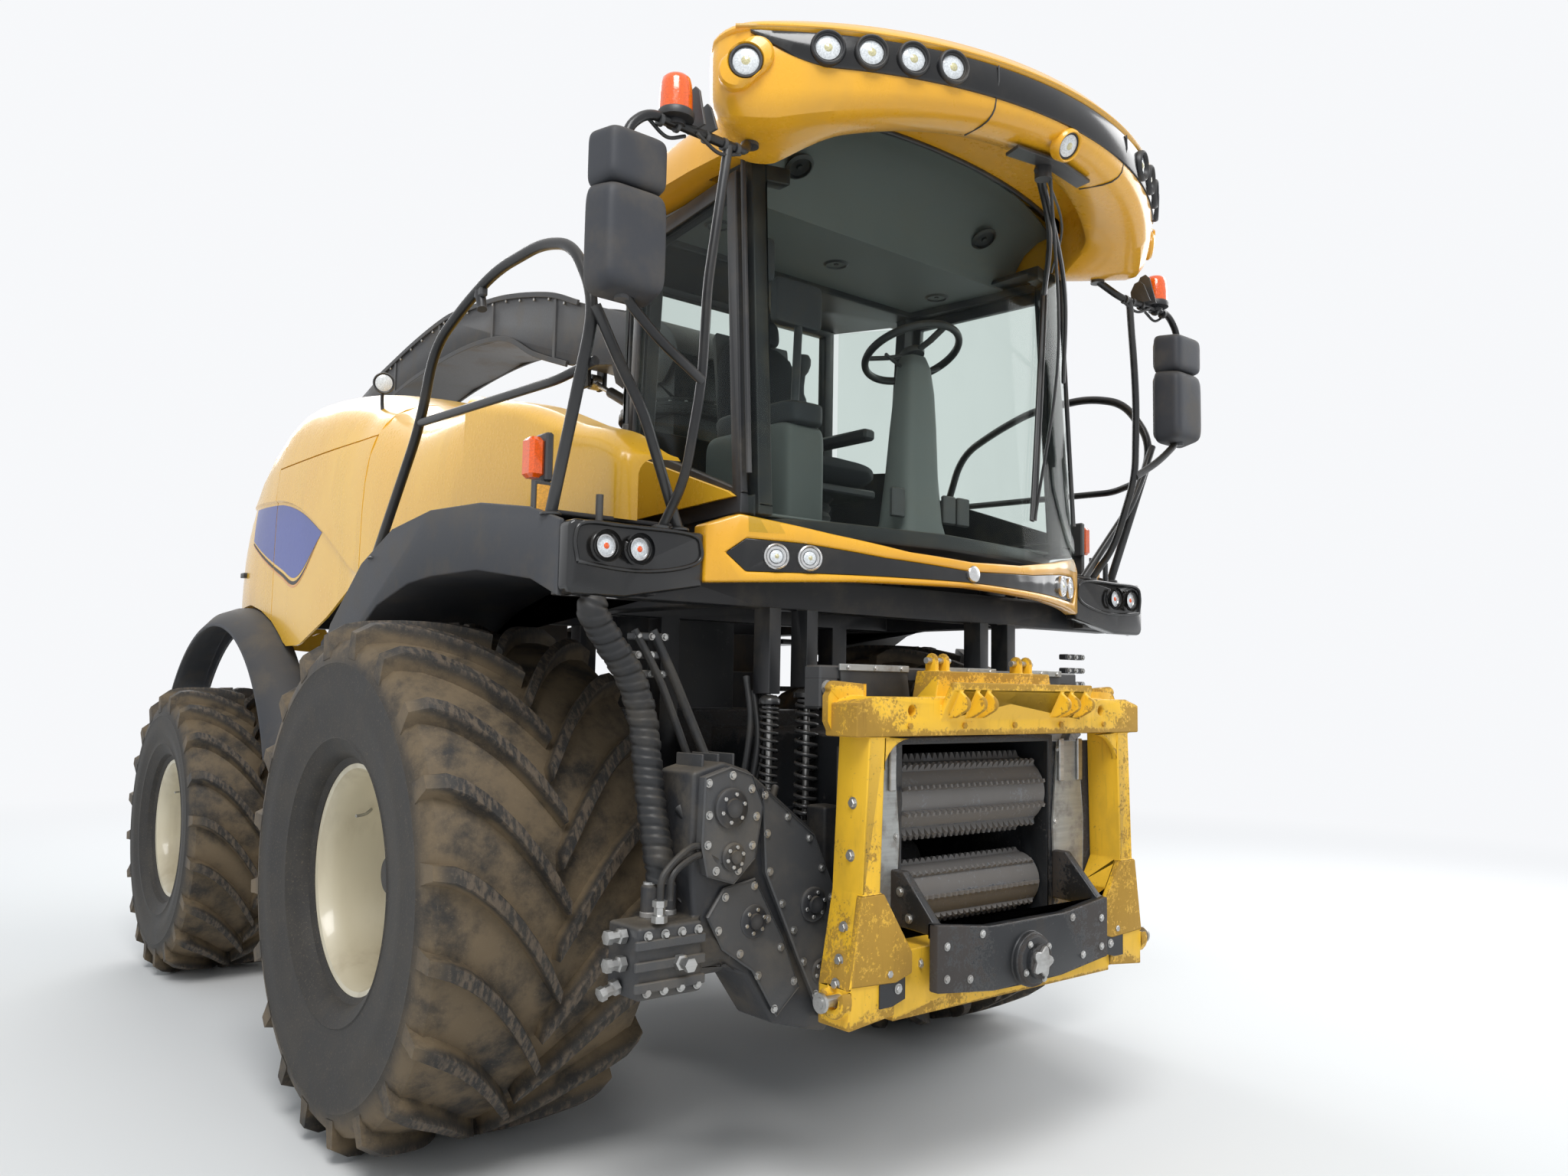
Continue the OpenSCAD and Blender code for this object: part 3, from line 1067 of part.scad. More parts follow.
module coupling_post() {
    along(-frame_front, -frame_front + 140) polygon([
        [frame_w / 2 - frame_post, frame_low + 20], [frame_w / 2 + 64, frame_low],
        [frame_w / 2 + 64, frame_low + 120], [frame_w / 2 + 12, frame_low + 400],
        [frame_w / 2 - 10, frame_top - 120], [frame_w / 2 - 80, frame_top - 120],
        [frame_w / 2 - 64, frame_low + 400], [frame_w / 2 - frame_post, frame_low + 300]]);
    along(-frame_front - 8, -frame_front + 20) polygon([
        [frame_w / 2 + 20, frame_low + 395], [frame_w / 2 - 74, frame_low + 395],
        [frame_w / 2 - frame_post - 70, frame_low + 205], [frame_w / 2 - frame_post - 70, frame_low + 140],
        [frame_w / 2 - frame_post, frame_low + 120], [frame_w / 2 + 60, frame_low + 130]]);
    along(-frame_front + 4, -frame_front + 28) polygon(concat([[frame_w / 2 - 40, frame_top - 121]],
        arc(frame_w / 2 - 200, frame_top - 260, 128, 88, 4, 7), [[frame_w / 2 - 40, frame_top - 270]]));
    along(-frame_front + 110, -frame_front + 132) polygon(concat([[frame_w / 2 - 90, frame_top - 100]],
        arc(frame_w / 2 + 36, frame_top + 18, 30, 10, 90, 4), [[frame_w / 2 - 90, frame_top + 40]]));
    across(36, frame_w / 2 + 78) polygon(concat(arc(claw_y, claw_z, claw_r, 150, 390, 12),
        arc(claw_y, claw_z, claw_r / 2, 390, 150, 8)));
    translate([frame_w / 2 + 55, claw_y, claw_z]) axle_bar(34, 100);
}

// Shelf that the header's beam rests on, with its ribs and hooks.
module shelf() {
    across(2 * shelf_half) polygon([[-frame_front + 20, frame_top - 70], [-frame_front - 5, frame_top - 78],
        [-frame_front - 62, frame_top + 26], [-frame_front - 62, frame_top + 50],
        [-frame_front - 48, frame_top + 50], [-frame_front + 6, frame_top - 50], [-frame_front + 20, frame_top - 50]]);
    for (x = concat(hook_x, [rib_x])) both_sides() across(14, x) polygon(concat(
        [[-frame_front + 2, frame_top - 66], [-frame_front - 40, frame_top - 66]],
        arc(-frame_front - 70, frame_top - 20, 28, 250, 110, 6), [[-frame_front - 50, frame_top + 30],
        [-frame_front + 2, frame_top - 50]]));
}

module coupling_frame() color("gold") in_frame() difference() {
    union() {
        both_sides() coupling_post();
        along(-frame_front - 6, -frame_front + 140) polygon([[-frame_w / 2 - 50, frame_top - 125],
            [-frame_w / 2 - 50, frame_top - 22], [-frame_w / 2 + 30, frame_top], [frame_w / 2 - 30, frame_top],
            [frame_w / 2 + 50, frame_top - 22], [frame_w / 2 + 50, frame_top - 125]]);
        translate([-frame_w / 2 + frame_post - 1, -frame_front + 10, frame_low])
            cube([frame_w - 2 * frame_post + 2, 120, 210]);
        along(-frame_front + 70, -frame_front + 180) polygon([[-back_box_half, frame_top - 20],
            [-back_box_half + 24, frame_top + 88], [back_box_half - 24, frame_top + 88],
            [back_box_half, frame_top - 20]]);
        shelf();
        for (x = hook_x) both_sides() across(16, x) polygon(concat([[-frame_front + 120, frame_top + 80]],
            [[-frame_front + 120, frame_top + 120]], arc(-frame_front + 146, frame_top + 124, 26, 170, 10, 6),
            [[-frame_front + 172, frame_top + 80]]));
    }
    both_sides() translate([507, -frame_front - 10, 1597]) rotate([-90, 0, 0])
        cylinder(d = locate_hole_d, h = 160, $fn = 40);
    translate([0, -frame_front, tilt_z]) rotate([-90, 0, 0])
        cylinder(d = tilt_pin_d + 2 * run_gap, h = 200, $fn = 48);
}

tilt_z = 770;
plate_front = frame_front + 70;
module swing_plate() color("#202123") in_frame() {
    along(-plate_front, -plate_front + 40) polygon([[-450, 720], [-180, 690], [180, 690], [450, 720],
        [450, 930], [200, 900], [-200, 900], [-450, 930]]);
    both_sides() across(34, feeder_half + throat_t + 10) polygon([[-plate_front, 745], [-plate_front, 905],
        [-feeder_front - 60, 1075], [-feeder_front - seat_gap, 1075], [-feeder_front - seat_gap, 900],
        [-plate_front + 40, 890], [-plate_front + 40, 745]]);
    translate([0, -plate_front - 22, tilt_z]) rotate([-90, 0, 0]) cylinder(d = 180, h = 24, $fn = 48);
    translate([0, -plate_front - 46, tilt_z]) rotate([-90, 0, 0])
        cylinder(d = tilt_pin_d, h = 46 + plate_front - frame_front + 130, $fn = 48);
}

spring_rows = [[468, 1664, 1163, 90], [640, 1640, 1240, 70]];
spring_y = -1150;
module feeder_springs() color("#141414") in_frame() both_sides() for (s = spring_rows)
    translate([s[0], spring_y, s[2]]) {
        coil_h = s[1] - s[2] - 80;
        n = round(coil_h / 34);
        translate([0, 0, 40]) rotate_extrude($fn = 32) polygon(concat([[0, 0]],
            [for (i = [0:n - 1]) each [[s[3] / 2 - 14, i * coil_h / n], [s[3] / 2, (i + 0.5) * coil_h / n]]],
            [[s[3] / 2 - 14, coil_h], [0, coil_h]]));
        cylinder(d = 24, h = s[1] - s[2], $fn = 24);
    }

hose_x = -1180;
hose_d = 94;
hose_route = [[-1390, -1206, wing_low - seat_gap], [-1390, -1206, 1880], [-1330, -1200, 1800],
    [-1245, -1196, 1690], [-1196, -1200, 1560], [-1184, -1215, 1420], [hose_x, -1240, 1290],
    [hose_x, -1272, 1180], [hose_x, -1290, 1120], [hose_x, -1290, 1065 + seat_gap]];
module hydraulic_hoses() color("#17181a") in_frame() sweep_tube(hose_route, hose_d / 2, 10);

// A tube with n sides swept along a list of points.
function unit(v) = v / norm(v);
module sweep_tube(route, r, n) {
    last = len(route) - 1;
    pts = [for (i = [0:last]) let (t = unit(route[min(i + 1, last)] - route[max(i - 1, 0)]),
            u = unit(cross(t, [0, 1, 0])), v = cross(t, u))
        each [for (k = [0:n - 1]) route[i] + r * (cos(360 * k / n) * u + sin(360 * k / n) * v)]];
    polyhedron(pts, concat([[for (k = [0:n - 1]) k]],
        [for (i = [0:last - 1], k = [0:n - 1]) let (p = i * n + k, q = i * n + (k + 1) % n)
            each [[p, p + n, q + n], [p, q + n, q]]],
        [[for (k = [n - 1:-1:0]) last * n + k]]));
}

// A cylinder drawn from its fixed eye at the origin towards +Y.
cyl_body_d = 100;
rod_d = 55;
module barrel_shape(l, eye_d2, body_d, rod, pin) difference() {
    union() {
        axle_bar(eye_d2, 60);
        translate([0, eye_d2 / 2 - 12, 0]) rotate([-90, 0, 0]) cylinder(d = body_d, h = l - eye_d2 / 2, $fn = 40);
    }
    axle_bar(pin, 100);
    translate([0, eye_d2 / 2 + 40, 0]) rotate([-90, 0, 0]) cylinder(d = rod + 2 * run_gap, h = l, $fn = 40);
}
module rod_shape(from, l, eye_d2, rod, pin) difference() {
    union() {
        translate([0, from, 0]) rotate([-90, 0, 0]) cylinder(d = rod, h = l - from - eye_d2 / 2 + 6, $fn = 40);
        translate([0, l, 0]) axle_bar(eye_d2, 56);
    }
    translate([0, l, 0]) axle_bar(pin, 100);
}
rod_play = 12;
lift_dir = atan2(rod_eye_z - barrel_eye_z, -(rod_eye_y - barrel_eye_y));
lift_len = norm([rod_eye_y - barrel_eye_y, rod_eye_z - barrel_eye_z]);
module lift_place() both_sides() translate([cyl_x, barrel_eye_y, barrel_eye_z])
    rotate([0, 0, 180]) rotate([lift_dir, 0, 0]) children();
module lift_barrels() color("#1b1c1e") in_frame() lift_place()
    barrel_shape(640, 110, cyl_body_d, rod_d, cyl_pin_d + 2 * run_gap);
module lift_rods() color("silver") in_frame() lift_place()
    rod_shape(300, lift_len, 110, rod_d, cyl_pin_d + rod_play);

// Spout

lift_y = turret_y;
lift_z = turret_z + 170;
chute_w = spout_w - 2 * spout_t - 24;
module spout_turret() color("#1c1d20") in_frame() difference() {
    union() {
        translate([0, turret_y, turret_z + seat_gap]) cylinder(d = turret_d, h = 40, $fn = 72);
        across(chute_w) polygon([[duct_front + 10, turret_z + 20], [duct_back, turret_z + 20],
            [duct_back, turret_z + 200], [duct_front + 60, turret_z + 290], [duct_front + 10, turret_z + 230]]);
        translate([0, lift_y, lift_z]) axle_bar(50, spout_w + 20);
        for (s = [-1, 1]) translate([s * 50 - 10, duct_back - 10, turret_z + 10]) cube([20, 120, 110]);
        translate([0, spout_base[0], spout_base[1]]) axle_bar(30, 120);
    }
    translate([0, turret_y, turret_z]) cylinder(d = duct_w - 80, h = 120, $fn = 64);
    across(chute_w - 30) polygon([[duct_front + 30, turret_z + 80], [duct_back - 20, turret_z + 80],
        [duct_back + 1, turret_z + 120], [duct_back + 1, turret_z + 160], [duct_front + 80, turret_z + 300],
        [duct_front + 30, turret_z + 220]]);
}
spout_pin_d = 30;
spout_base = [640, 3030];
spout_eye = [1180, 3300];

spout_top = concat(arc(lift_y, lift_z, 275, 165, 112, 5), [[1002, 3657], [1329, 3780], [1864, 3895],
    [2400, 3945], [2682, 3954], [3141, 3899], [3705, 3796]]);
spout_low = [[3705, 3560], [3100, 3650], [2400, 3690], [1849, 3640], [1468, 3470], [1100, 3340],
    [660, 3250], [620, 3150], [500, 3080], [200, 3080]];
spout_end = spout_tip - 400;
flap_hinge = [spout_end - 40, 3540];
flap_pin_d = 20;
flap_side = 8;
module spout() color("#191a1c") in_frame() difference() {
    union() {
        across(spout_w) polygon(concat(spout_top, [[spout_end, 3560], [spout_end - 20, 3330]], spout_low));
        both_sides() translate([spout_w / 2 - 4, flap_hinge[0], flap_hinge[1]]) rotate([0, 90, 0])
            cylinder(d = flap_pin_d, h = 4 + flap_side + spout_t + 4, $fn = 32);
        translate([0, spout_eye[0], spout_eye[1] + 10]) for (s = [-1, 1])
            translate([s * 50 - 10, -40, -50]) cube([20, 80, 120]);
        translate([0, spout_eye[0], spout_eye[1]]) axle_bar(30, 120);
    }
    across(spout_w - 2 * spout_t) polygon(concat(
        arc(lift_y, lift_z, 263, 167, 112, 5), [[1002, 3645], [1329, 3768], [1864, 3883],
        [2400, 3933], [2682, 3942], [3141, 3887], [3705, 3784], [spout_end + 10, 3545], [spout_end + 10, 3320],
        [3705, 3572], [3100, 3662], [2400, 3702], [1849, 3652], [1468, 3482], [1100, 3352],
        [640, 3262], [560, 3000], [60, 3000]]));
    translate([0, lift_y, lift_z]) axle_bar(50 + 2 * run_gap, spout_w + 10);
}
module spout_flap() color("#191a1c") in_frame() difference() {
    across(spout_w + 2 * flap_side + 2 * spout_t) polygon([[spout_end - 90, 3626], [spout_end + 6, 3606],
        [spout_tip, 3400], [spout_tip, 3220], [spout_end + 60, 3400], [spout_end - 90, 3490]]);
    across(spout_w + 2 * flap_side) polygon([[spout_end - 160, 3630], [spout_end - 80, 3608],
        [spout_end, 3592], [spout_tip + 1, 3386], [spout_tip + 1, 3100], [spout_end, 3280],
        [spout_end - 160, 3300]]);
    translate([0, flap_hinge[0], flap_hinge[1]]) axle_bar(flap_pin_d + 2 * run_gap, 2 * spout_w);
}
spout_play = 18;
spout_dir = atan2(spout_eye[1] - spout_base[1], spout_eye[0] - spout_base[0]);
spout_len = norm(spout_eye - spout_base);
module spout_place() translate([0, spout_base[0], spout_base[1]]) rotate([spout_dir, 0, 0]) children();
module spout_cylinder() color("#1b1c1e") in_frame() spout_place()
    barrel_shape(420, 60, 56, 28, spout_pin_d + 2 * run_gap);
module spout_rod() color("silver") in_frame() spout_place()
    rod_shape(220, spout_len, 84, 28, spout_pin_d + spout_play);

chassis_frame();
front_axle();
rear_axle();
engine_block();
cutterhead_housing();
hood();
service_door(1);  // service_door_left
service_door(-1);  // service_door_right
rear_door();
lower_panels();
rear_fenders();
front_fenders();
wings();
nose_band();
nose_insert();
cab_frame();
cab_side_panels();
roof();
lamp_band();
windscreen();
cab_glass();
door_frame();
door_glass();
seat();
steering_column();
console();
handrails();
ladder();
mirrors();
front_rim(1);  // front_rim_left
front_rim(-1);  // front_rim_right
front_tyre(1);  // front_tyre_left
front_tyre(-1);  // front_tyre_right
rear_rim(1);  // rear_rim_left
rear_rim(-1);  // rear_rim_right
rear_tyre(1);  // rear_tyre_left
rear_tyre(-1);  // rear_tyre_right
knuckle(1);  // knuckle_left
knuckle(-1);  // knuckle_right
tie_rod();
feeder_housing();
feeder_gearbox();
coupling_frame();
swing_plate();
upper_front_roll();
upper_rear_roll();
lower_front_roll();
lower_rear_roll();
feeder_springs();
hydraulic_hoses();
lift_barrels();
lift_rods();
spout_turret();
spout();
spout_flap();
spout_cylinder();
spout_rod();
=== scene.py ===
"""Looks of a self-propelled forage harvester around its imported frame: finishes, tyres, lamps, glass and trim."""
import logging
import math
from dataclasses import dataclass
from typing import Any, Callable, Dict, List, Optional, Sequence, Tuple, Union

import bmesh
import bpy
import numpy as np
from mathutils import Matrix, Vector


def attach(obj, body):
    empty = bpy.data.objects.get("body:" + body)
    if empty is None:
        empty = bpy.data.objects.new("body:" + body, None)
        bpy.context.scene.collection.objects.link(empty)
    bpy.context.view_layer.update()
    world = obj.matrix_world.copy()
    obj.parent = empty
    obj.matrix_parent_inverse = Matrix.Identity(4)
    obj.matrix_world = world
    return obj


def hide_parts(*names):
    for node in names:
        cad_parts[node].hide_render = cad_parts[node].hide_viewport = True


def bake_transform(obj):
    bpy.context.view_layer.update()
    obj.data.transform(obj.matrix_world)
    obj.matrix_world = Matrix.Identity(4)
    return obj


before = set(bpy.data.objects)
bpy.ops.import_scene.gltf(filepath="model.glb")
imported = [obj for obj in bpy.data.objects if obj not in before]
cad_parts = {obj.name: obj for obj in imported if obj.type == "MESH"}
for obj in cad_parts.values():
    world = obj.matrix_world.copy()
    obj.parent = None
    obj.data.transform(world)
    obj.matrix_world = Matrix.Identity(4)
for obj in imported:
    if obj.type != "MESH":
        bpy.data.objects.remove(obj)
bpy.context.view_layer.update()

LOG = logging.getLogger("harvester")
Array = np.ndarray
Point = Union[Sequence[float], Array]
Colour = Tuple[float, float, float]

# Distance from the front axle line to the middle of the machine's length, in metres.
MIDDLE = 1.497


def at(x: float, y: float, z: float) -> Point:
    """A point given in millimetres from the front axle line, as a point of the frame in metres."""
    return (x / 1000, y / 1000 - MIDDLE, z / 1000)


def mm(points: Any) -> Array:
    """Points in millimetres from the front axle line, as points of the frame in metres."""
    return np.asarray(points, float) / 1000 - np.array([0.0, MIDDLE, 0.0])


# Axes that many fittings stand on: straight ahead and up.
AHEAD, UP = (0, -1, 0), (0, 0, 1)


# Shader values

class Value:
    """A shader number that adds Math nodes when it is used in an expression."""

    def __init__(self, shader: "Shader", socket: bpy.types.NodeSocket) -> None:
        """Wraps one output socket of a shader."""
        self.shader = shader
        self.socket = socket

    def _math(self, operation: str, *others: Union["Value", float], flip: bool = False) -> "Value":
        """One Math node on this value and the others.

        Args:
            operation: The Math node's operation.
            others: Further operands.
            flip: Whether the first other operand comes before this value.
        Returns:
            The node's result.
        """
        operands: List[Any] = [self, *others]
        if flip:
            operands = [others[0], self, *others[1:]]
        node = self.shader.node("ShaderNodeMath", {"operation": operation}, dict(enumerate(operands)))
        return Value(self.shader, node.outputs[0])

    def __add__(self, other: Any) -> "Value":
        """Sum."""
        return self._math("ADD", other)

    __radd__ = __add__

    def __sub__(self, other: Any) -> "Value":
        """Difference."""
        return self._math("SUBTRACT", other)

    def __rsub__(self, other: Any) -> "Value":
        """Difference with a number in front."""
        return self._math("SUBTRACT", other, flip=True)

    def __mul__(self, other: Any) -> "Value":
        """Product."""
        return self._math("MULTIPLY", other)

    __rmul__ = __mul__

    def __truediv__(self, other: Any) -> "Value":
        """Quotient."""
        return self._math("DIVIDE", other)

    def __pow__(self, other: Any) -> "Value":
        """Power."""
        return self._math("POWER", other)

    def apply(self, operation: str, *others: Any) -> "Value":
        """Any other Math operation by its name."""
        return self._math(operation, *others)

    def ramp(self, low: float, high: float, to_low: float = 0.0, to_high: float = 1.0) -> "Value":
        """Smooth step from to_low at low to to_high at high."""
        node = self.shader.node("ShaderNodeMapRange", {"interpolation_type": "SMOOTHSTEP"},
                                {0: self, 1: low, 2: high, 3: to_low, 4: to_high})
        return Value(self.shader, node.outputs[0])


class Shader:
    """A material under construction."""

    def __init__(self, name: str) -> None:
        """Starts an empty material with a Principled shader.

        Args:
            name: The material's name.
        """
        self.material = bpy.data.materials.new(name)
        self.material.use_nodes = True
        self.tree = self.material.node_tree
        self.tree.nodes.clear()
        self.bsdf = self.tree.nodes.new("ShaderNodeBsdfPrincipled")
        self.output = self.tree.nodes.new("ShaderNodeOutputMaterial")
        self.tree.links.new(self.bsdf.outputs[0], self.output.inputs[0])
        self.object_coords = self.node("ShaderNodeTexCoord").outputs["Object"]

    def node(self, kind: str, settings: Optional[Dict[str, Any]] = None,
             inputs: Optional[Dict[Any, Any]] = None) -> bpy.types.Node:
        """Adds one node.

        Args:
            kind: The node's type.
            settings: Properties to set first; "stops" is a ramp's list of (place, colour).
            inputs: Socket names or numbers with values, sockets or Values.
        Returns:
            The node.
        """
        made = self.tree.nodes.new(kind)
        for key, value in (settings or {}).items():
            if key == "stops":
                ramp = made.color_ramp
                while len(ramp.elements) < len(value):
                    ramp.elements.new(0.5)
                for element, (place, colour) in zip(ramp.elements, value):
                    element.position = place
                    element.color = (*colour, 1.0)
            else:
                setattr(made, key, value)
        for key, value in (inputs or {}).items():
            self.feed(made.inputs[key], value)
        return made

    def feed(self, socket: bpy.types.NodeSocket, value: Any) -> None:
        """Links or sets one input socket."""
        if isinstance(value, Value):
            self.tree.links.new(value.socket, socket)
        elif isinstance(value, bpy.types.NodeSocket):
            self.tree.links.new(value, socket)
        elif isinstance(value, tuple) and len(value) == 3 and socket.type == "RGBA":
            socket.default_value = (*value, 1.0)
        else:
            socket.default_value = value

    def set(self, **inputs: Any) -> "Shader":
        """Feeds the Principled shader's sockets, with underscores for the spaces in their names."""
        for key, value in inputs.items():
            self.feed(self.bsdf.inputs[key.replace("_", " ")], value)
        return self

    def noise(self, scale: float, detail: float = 4.0, roughness: float = 0.55,
              stretch: Point = (1.0, 1.0, 1.0)) -> Value:
        """Noise on Object coordinates, as a number about 0.5.

        Args:
            scale: Cells per metre.
            detail: Octaves.
            roughness: Share of each finer octave.
            stretch: Factor on each axis of the coordinates.
        Returns:
            The noise.
        """
        coords: Any = self.object_coords
        if stretch != (1.0, 1.0, 1.0):
            coords = self.node("ShaderNodeMapping", {}, {"Vector": coords, "Scale": stretch}).outputs[0]
        made = self.node("ShaderNodeTexNoise", {}, {"Vector": coords, "Scale": scale, "Detail": detail,
                                                    "Roughness": roughness})
        return Value(self, made.outputs[0])

    def place(self) -> Tuple[Value, Value, Value]:
        """The point's X, Y and Z in the frame, in metres."""
        split = self.node("ShaderNodeSeparateXYZ", {}, {0: self.object_coords})
        return tuple(Value(self, split.outputs[i]) for i in range(3))

    def facing_up(self) -> Value:
        """How far the surface faces upwards, from -1 to 1."""
        geometry = self.node("ShaderNodeNewGeometry")
        split = self.node("ShaderNodeSeparateXYZ", {}, {0: geometry.outputs["Normal"]})
        return Value(self, split.outputs[2])

    def edges(self, low: float = 0.53, high: float = 0.6) -> Value:
        """Mask of convex edges from the surface's pointiness."""
        geometry = self.node("ShaderNodeNewGeometry")
        return Value(self, geometry.outputs["Pointiness"]).ramp(low, high)

    def mix(self, share: Any, a: Any, b: Any) -> bpy.types.NodeSocket:
        """A colour between a and b."""
        made = self.node("ShaderNodeMix", {"data_type": "RGBA"}, {0: share, 6: a, 7: b})
        return made.outputs[2]

    def bump(self, height: Any, distance: float, strength: float = 1.0) -> "Shader":
        """Bumps the surface by a height from 0 to 1.

        Args:
            height: The height.
            distance: The height's range in metres.
            strength: Share of the effect.
        Returns:
            This shader.
        """
        made = self.node("ShaderNodeBump", {}, {"Height": height, "Distance": distance,
                                                "Strength": strength})
        return self.set(Normal=made.outputs[0])


def srgb(red: int, green: int, blue: int) -> Colour:
    """A colour given as display values from 0 to 255, as linear values."""
    def linear(value: float) -> float:
        """One channel."""
        share = value / 255
        return share / 12.92 if share <= 0.04045 else ((share + 0.055) / 1.055) ** 2.4
    return linear(red), linear(green), linear(blue)


# Finishes

@dataclass(frozen=True)
class GlossPaint:
    """Sprayed gloss paint with orange peel and faint dust, darker and browner towards the bottom."""

    name: str
    colour: Colour
    shade: Colour
    roughness: float = 0.26
    dust: float = 0.25

    def build(self) -> bpy.types.Material:
        """Makes the material."""
        sh = Shader(self.name)
        z = sh.place()[2]
        cloud = sh.noise(1.1, 3)
        fine = sh.noise(40, 3)
        streak = sh.noise(7, 4, stretch=(1.0, 1.0, 0.14))
        tone = sh.mix(cloud.ramp(0.3, 0.7), self.colour, self.shade)
        dust = (streak.ramp(0.45, 0.75) * 0.45 + sh.facing_up().ramp(0.5, 1.0) * 0.35) * self.dust
        # Darker and browner towards the bottom, from 2.2 m down to 0.4 m, in colour only.
        low = (1.0 - z.ramp(0.4, 2.2)) * 0.4 * self.dust
        tone = sh.mix(dust + low, tone, srgb(140, 122, 92))
        sh.set(Base_Color=tone, Roughness=fine * 0.1 + cloud * 0.1 + (self.roughness - 0.1) + dust * 0.5,
               Coat_Weight=0.35, Coat_Roughness=0.08)
        sh.bump(sh.noise(260, 2), 0.0004, 0.25)
        return sh.material


@dataclass(frozen=True)
class WornPaint:
    """Paint chipped to primer and rust, with grease and soil in the corners."""

    name: str
    colour: Colour
    under: Colour
    rust: Colour
    wear: float = 0.5
    roughness: float = 0.45

    def build(self) -> bpy.types.Material:
        """Makes the material."""
        sh = Shader(self.name)
        blotch = sh.noise(16, 8, 0.65)
        chips = sh.noise(90, 6, 0.7)
        grime = sh.noise(4.5, 6, 0.6, stretch=(1.0, 1.0, 0.5))
        scratch = sh.noise(60, 5, 0.6, stretch=(1.0, 1.0, 0.08))
        edge = sh.edges(0.515, 0.57)
        top = 0.66 - 0.12 * self.wear
        chip = (chips * 0.6 + blotch * 0.4 + edge * 0.22).ramp(top - 0.02, top)
        deep = (chips * 0.5 + blotch * 0.5 + edge * 0.18).ramp(top, top + 0.02)
        dirt = (grime.ramp(0.5, 0.72) * 0.6 + scratch.ramp(0.56, 0.7) * 0.3) * self.wear
        tone = sh.mix(dirt, self.colour, srgb(70, 58, 42))
        tone = sh.mix(chip * self.wear, tone, self.under)
        tone = sh.mix(deep * self.wear, tone, self.rust)
        sh.set(Base_Color=tone, Roughness=(dirt * 0.4 + deep * 0.35 + self.roughness).apply("MINIMUM", 0.95))
        sh.bump(1.0 - chip * 0.6 + chips * 0.25, 0.0008, 0.5)
        return sh.material


@dataclass(frozen=True)
class SatinBlack:
    """Dark satin paint or coating with brown dust on what faces up, and a painted grey highlight on its convex edges.
    """

    name: str
    colour: Colour
    roughness: float = 0.42
    dust: float = 0.35
    grain: float = 160.0
    relief: float = 0.0004

    def build(self) -> bpy.types.Material:
        """Makes the material."""
        sh = Shader(self.name)
        cloud = sh.noise(5, 6, 0.6)
        speck = sh.noise(90, 3)
        dust = (sh.facing_up().ramp(0.1, 1.0) * 0.5 + cloud.ramp(0.45, 0.7) * 0.5) * self.dust
        dust = dust * (0.55 + speck * 0.9)
        tone = sh.mix(dust, self.colour, srgb(122, 110, 90))
        # Convex edges are lightened towards grey: a painted edge highlight.
        tone = sh.mix(sh.edges(0.53, 0.62) * 0.25, tone, srgb(120, 120, 120))
        sh.set(Base_Color=tone, Roughness=dust * 0.5 + speck * 0.1 + (self.roughness - 0.05))
        sh.bump(sh.noise(self.grain, 3), self.relief, 0.35)
        return sh.material


@dataclass(frozen=True)
class TyreRubber:
    """Rubber with dry soil between the lugs and scuffed lug faces."""

    name: str
    hub: Point
    radius: float

    def build(self) -> bpy.types.Material:
        """Makes the material; the soil follows the distance from the hub's axis."""
        sh = Shader(self.name)
        _, y, z = sh.place()
        off_y = y - self.hub[1]
        off_z = z - self.hub[2]
        reach = (off_y * off_y + off_z * off_z).apply("SQRT") / self.radius
        cloud = sh.noise(6, 7, 0.65)
        grit = sh.noise(120, 4, 0.7)
        streak = sh.noise(22, 5, 0.6, stretch=(3.0, 1.0, 1.0))
        soil = (1.0 - reach.ramp(0.945, 0.985)) * reach.ramp(0.80, 0.9)
        scuff = reach.ramp(0.97, 1.0)
        tone = sh.mix(cloud.ramp(0.35, 0.7) * 0.6, srgb(38, 36, 34), srgb(66, 61, 54))
        tone = sh.mix(soil * cloud.ramp(0.3, 0.62) * 0.75, tone, srgb(122, 104, 78))
        tone = sh.mix(scuff * streak.ramp(0.42, 0.62) * 0.65, tone, srgb(112, 97, 80))
        tone = sh.mix(grit.ramp(0.56, 0.7) * 0.3, tone, srgb(128, 114, 92))
        sh.set(Base_Color=tone, Roughness=cloud * 0.25 + 0.55)
        sh.bump(grit * 0.5 + cloud * 0.5, 0.0025, 0.5)
        return sh.material


@dataclass(frozen=True)
class BareSteel:
    """Steel worn bright or dull grey, with brushing and brown film."""

    name: str
    colour: Colour
    roughness: float = 0.38
    film: float = 0.4
    metallic: float = 0.9

    def build(self) -> bpy.types.Material:
        """Makes the material."""
        sh = Shader(self.name)
        cloud = sh.noise(8, 7, 0.65)
        brush = sh.noise(70, 4, 0.6, stretch=(0.06, 1.0, 1.0))
        stain = cloud.ramp(0.46, 0.66) * self.film
        tone = sh.mix(brush.ramp(0.3, 0.7) * 0.4, self.colour, tuple(0.55 * c for c in self.colour))
        tone = sh.mix(stain, tone, srgb(86, 66, 46))
        sh.set(Base_Color=tone, Metallic=self.metallic * (1.0 - stain * 0.8),
               Roughness=brush * 0.2 + stain * 0.4 + (self.roughness - 0.1))
        sh.bump(brush * 0.6 + cloud * 0.4, 0.0005, 0.4)
        return sh.material


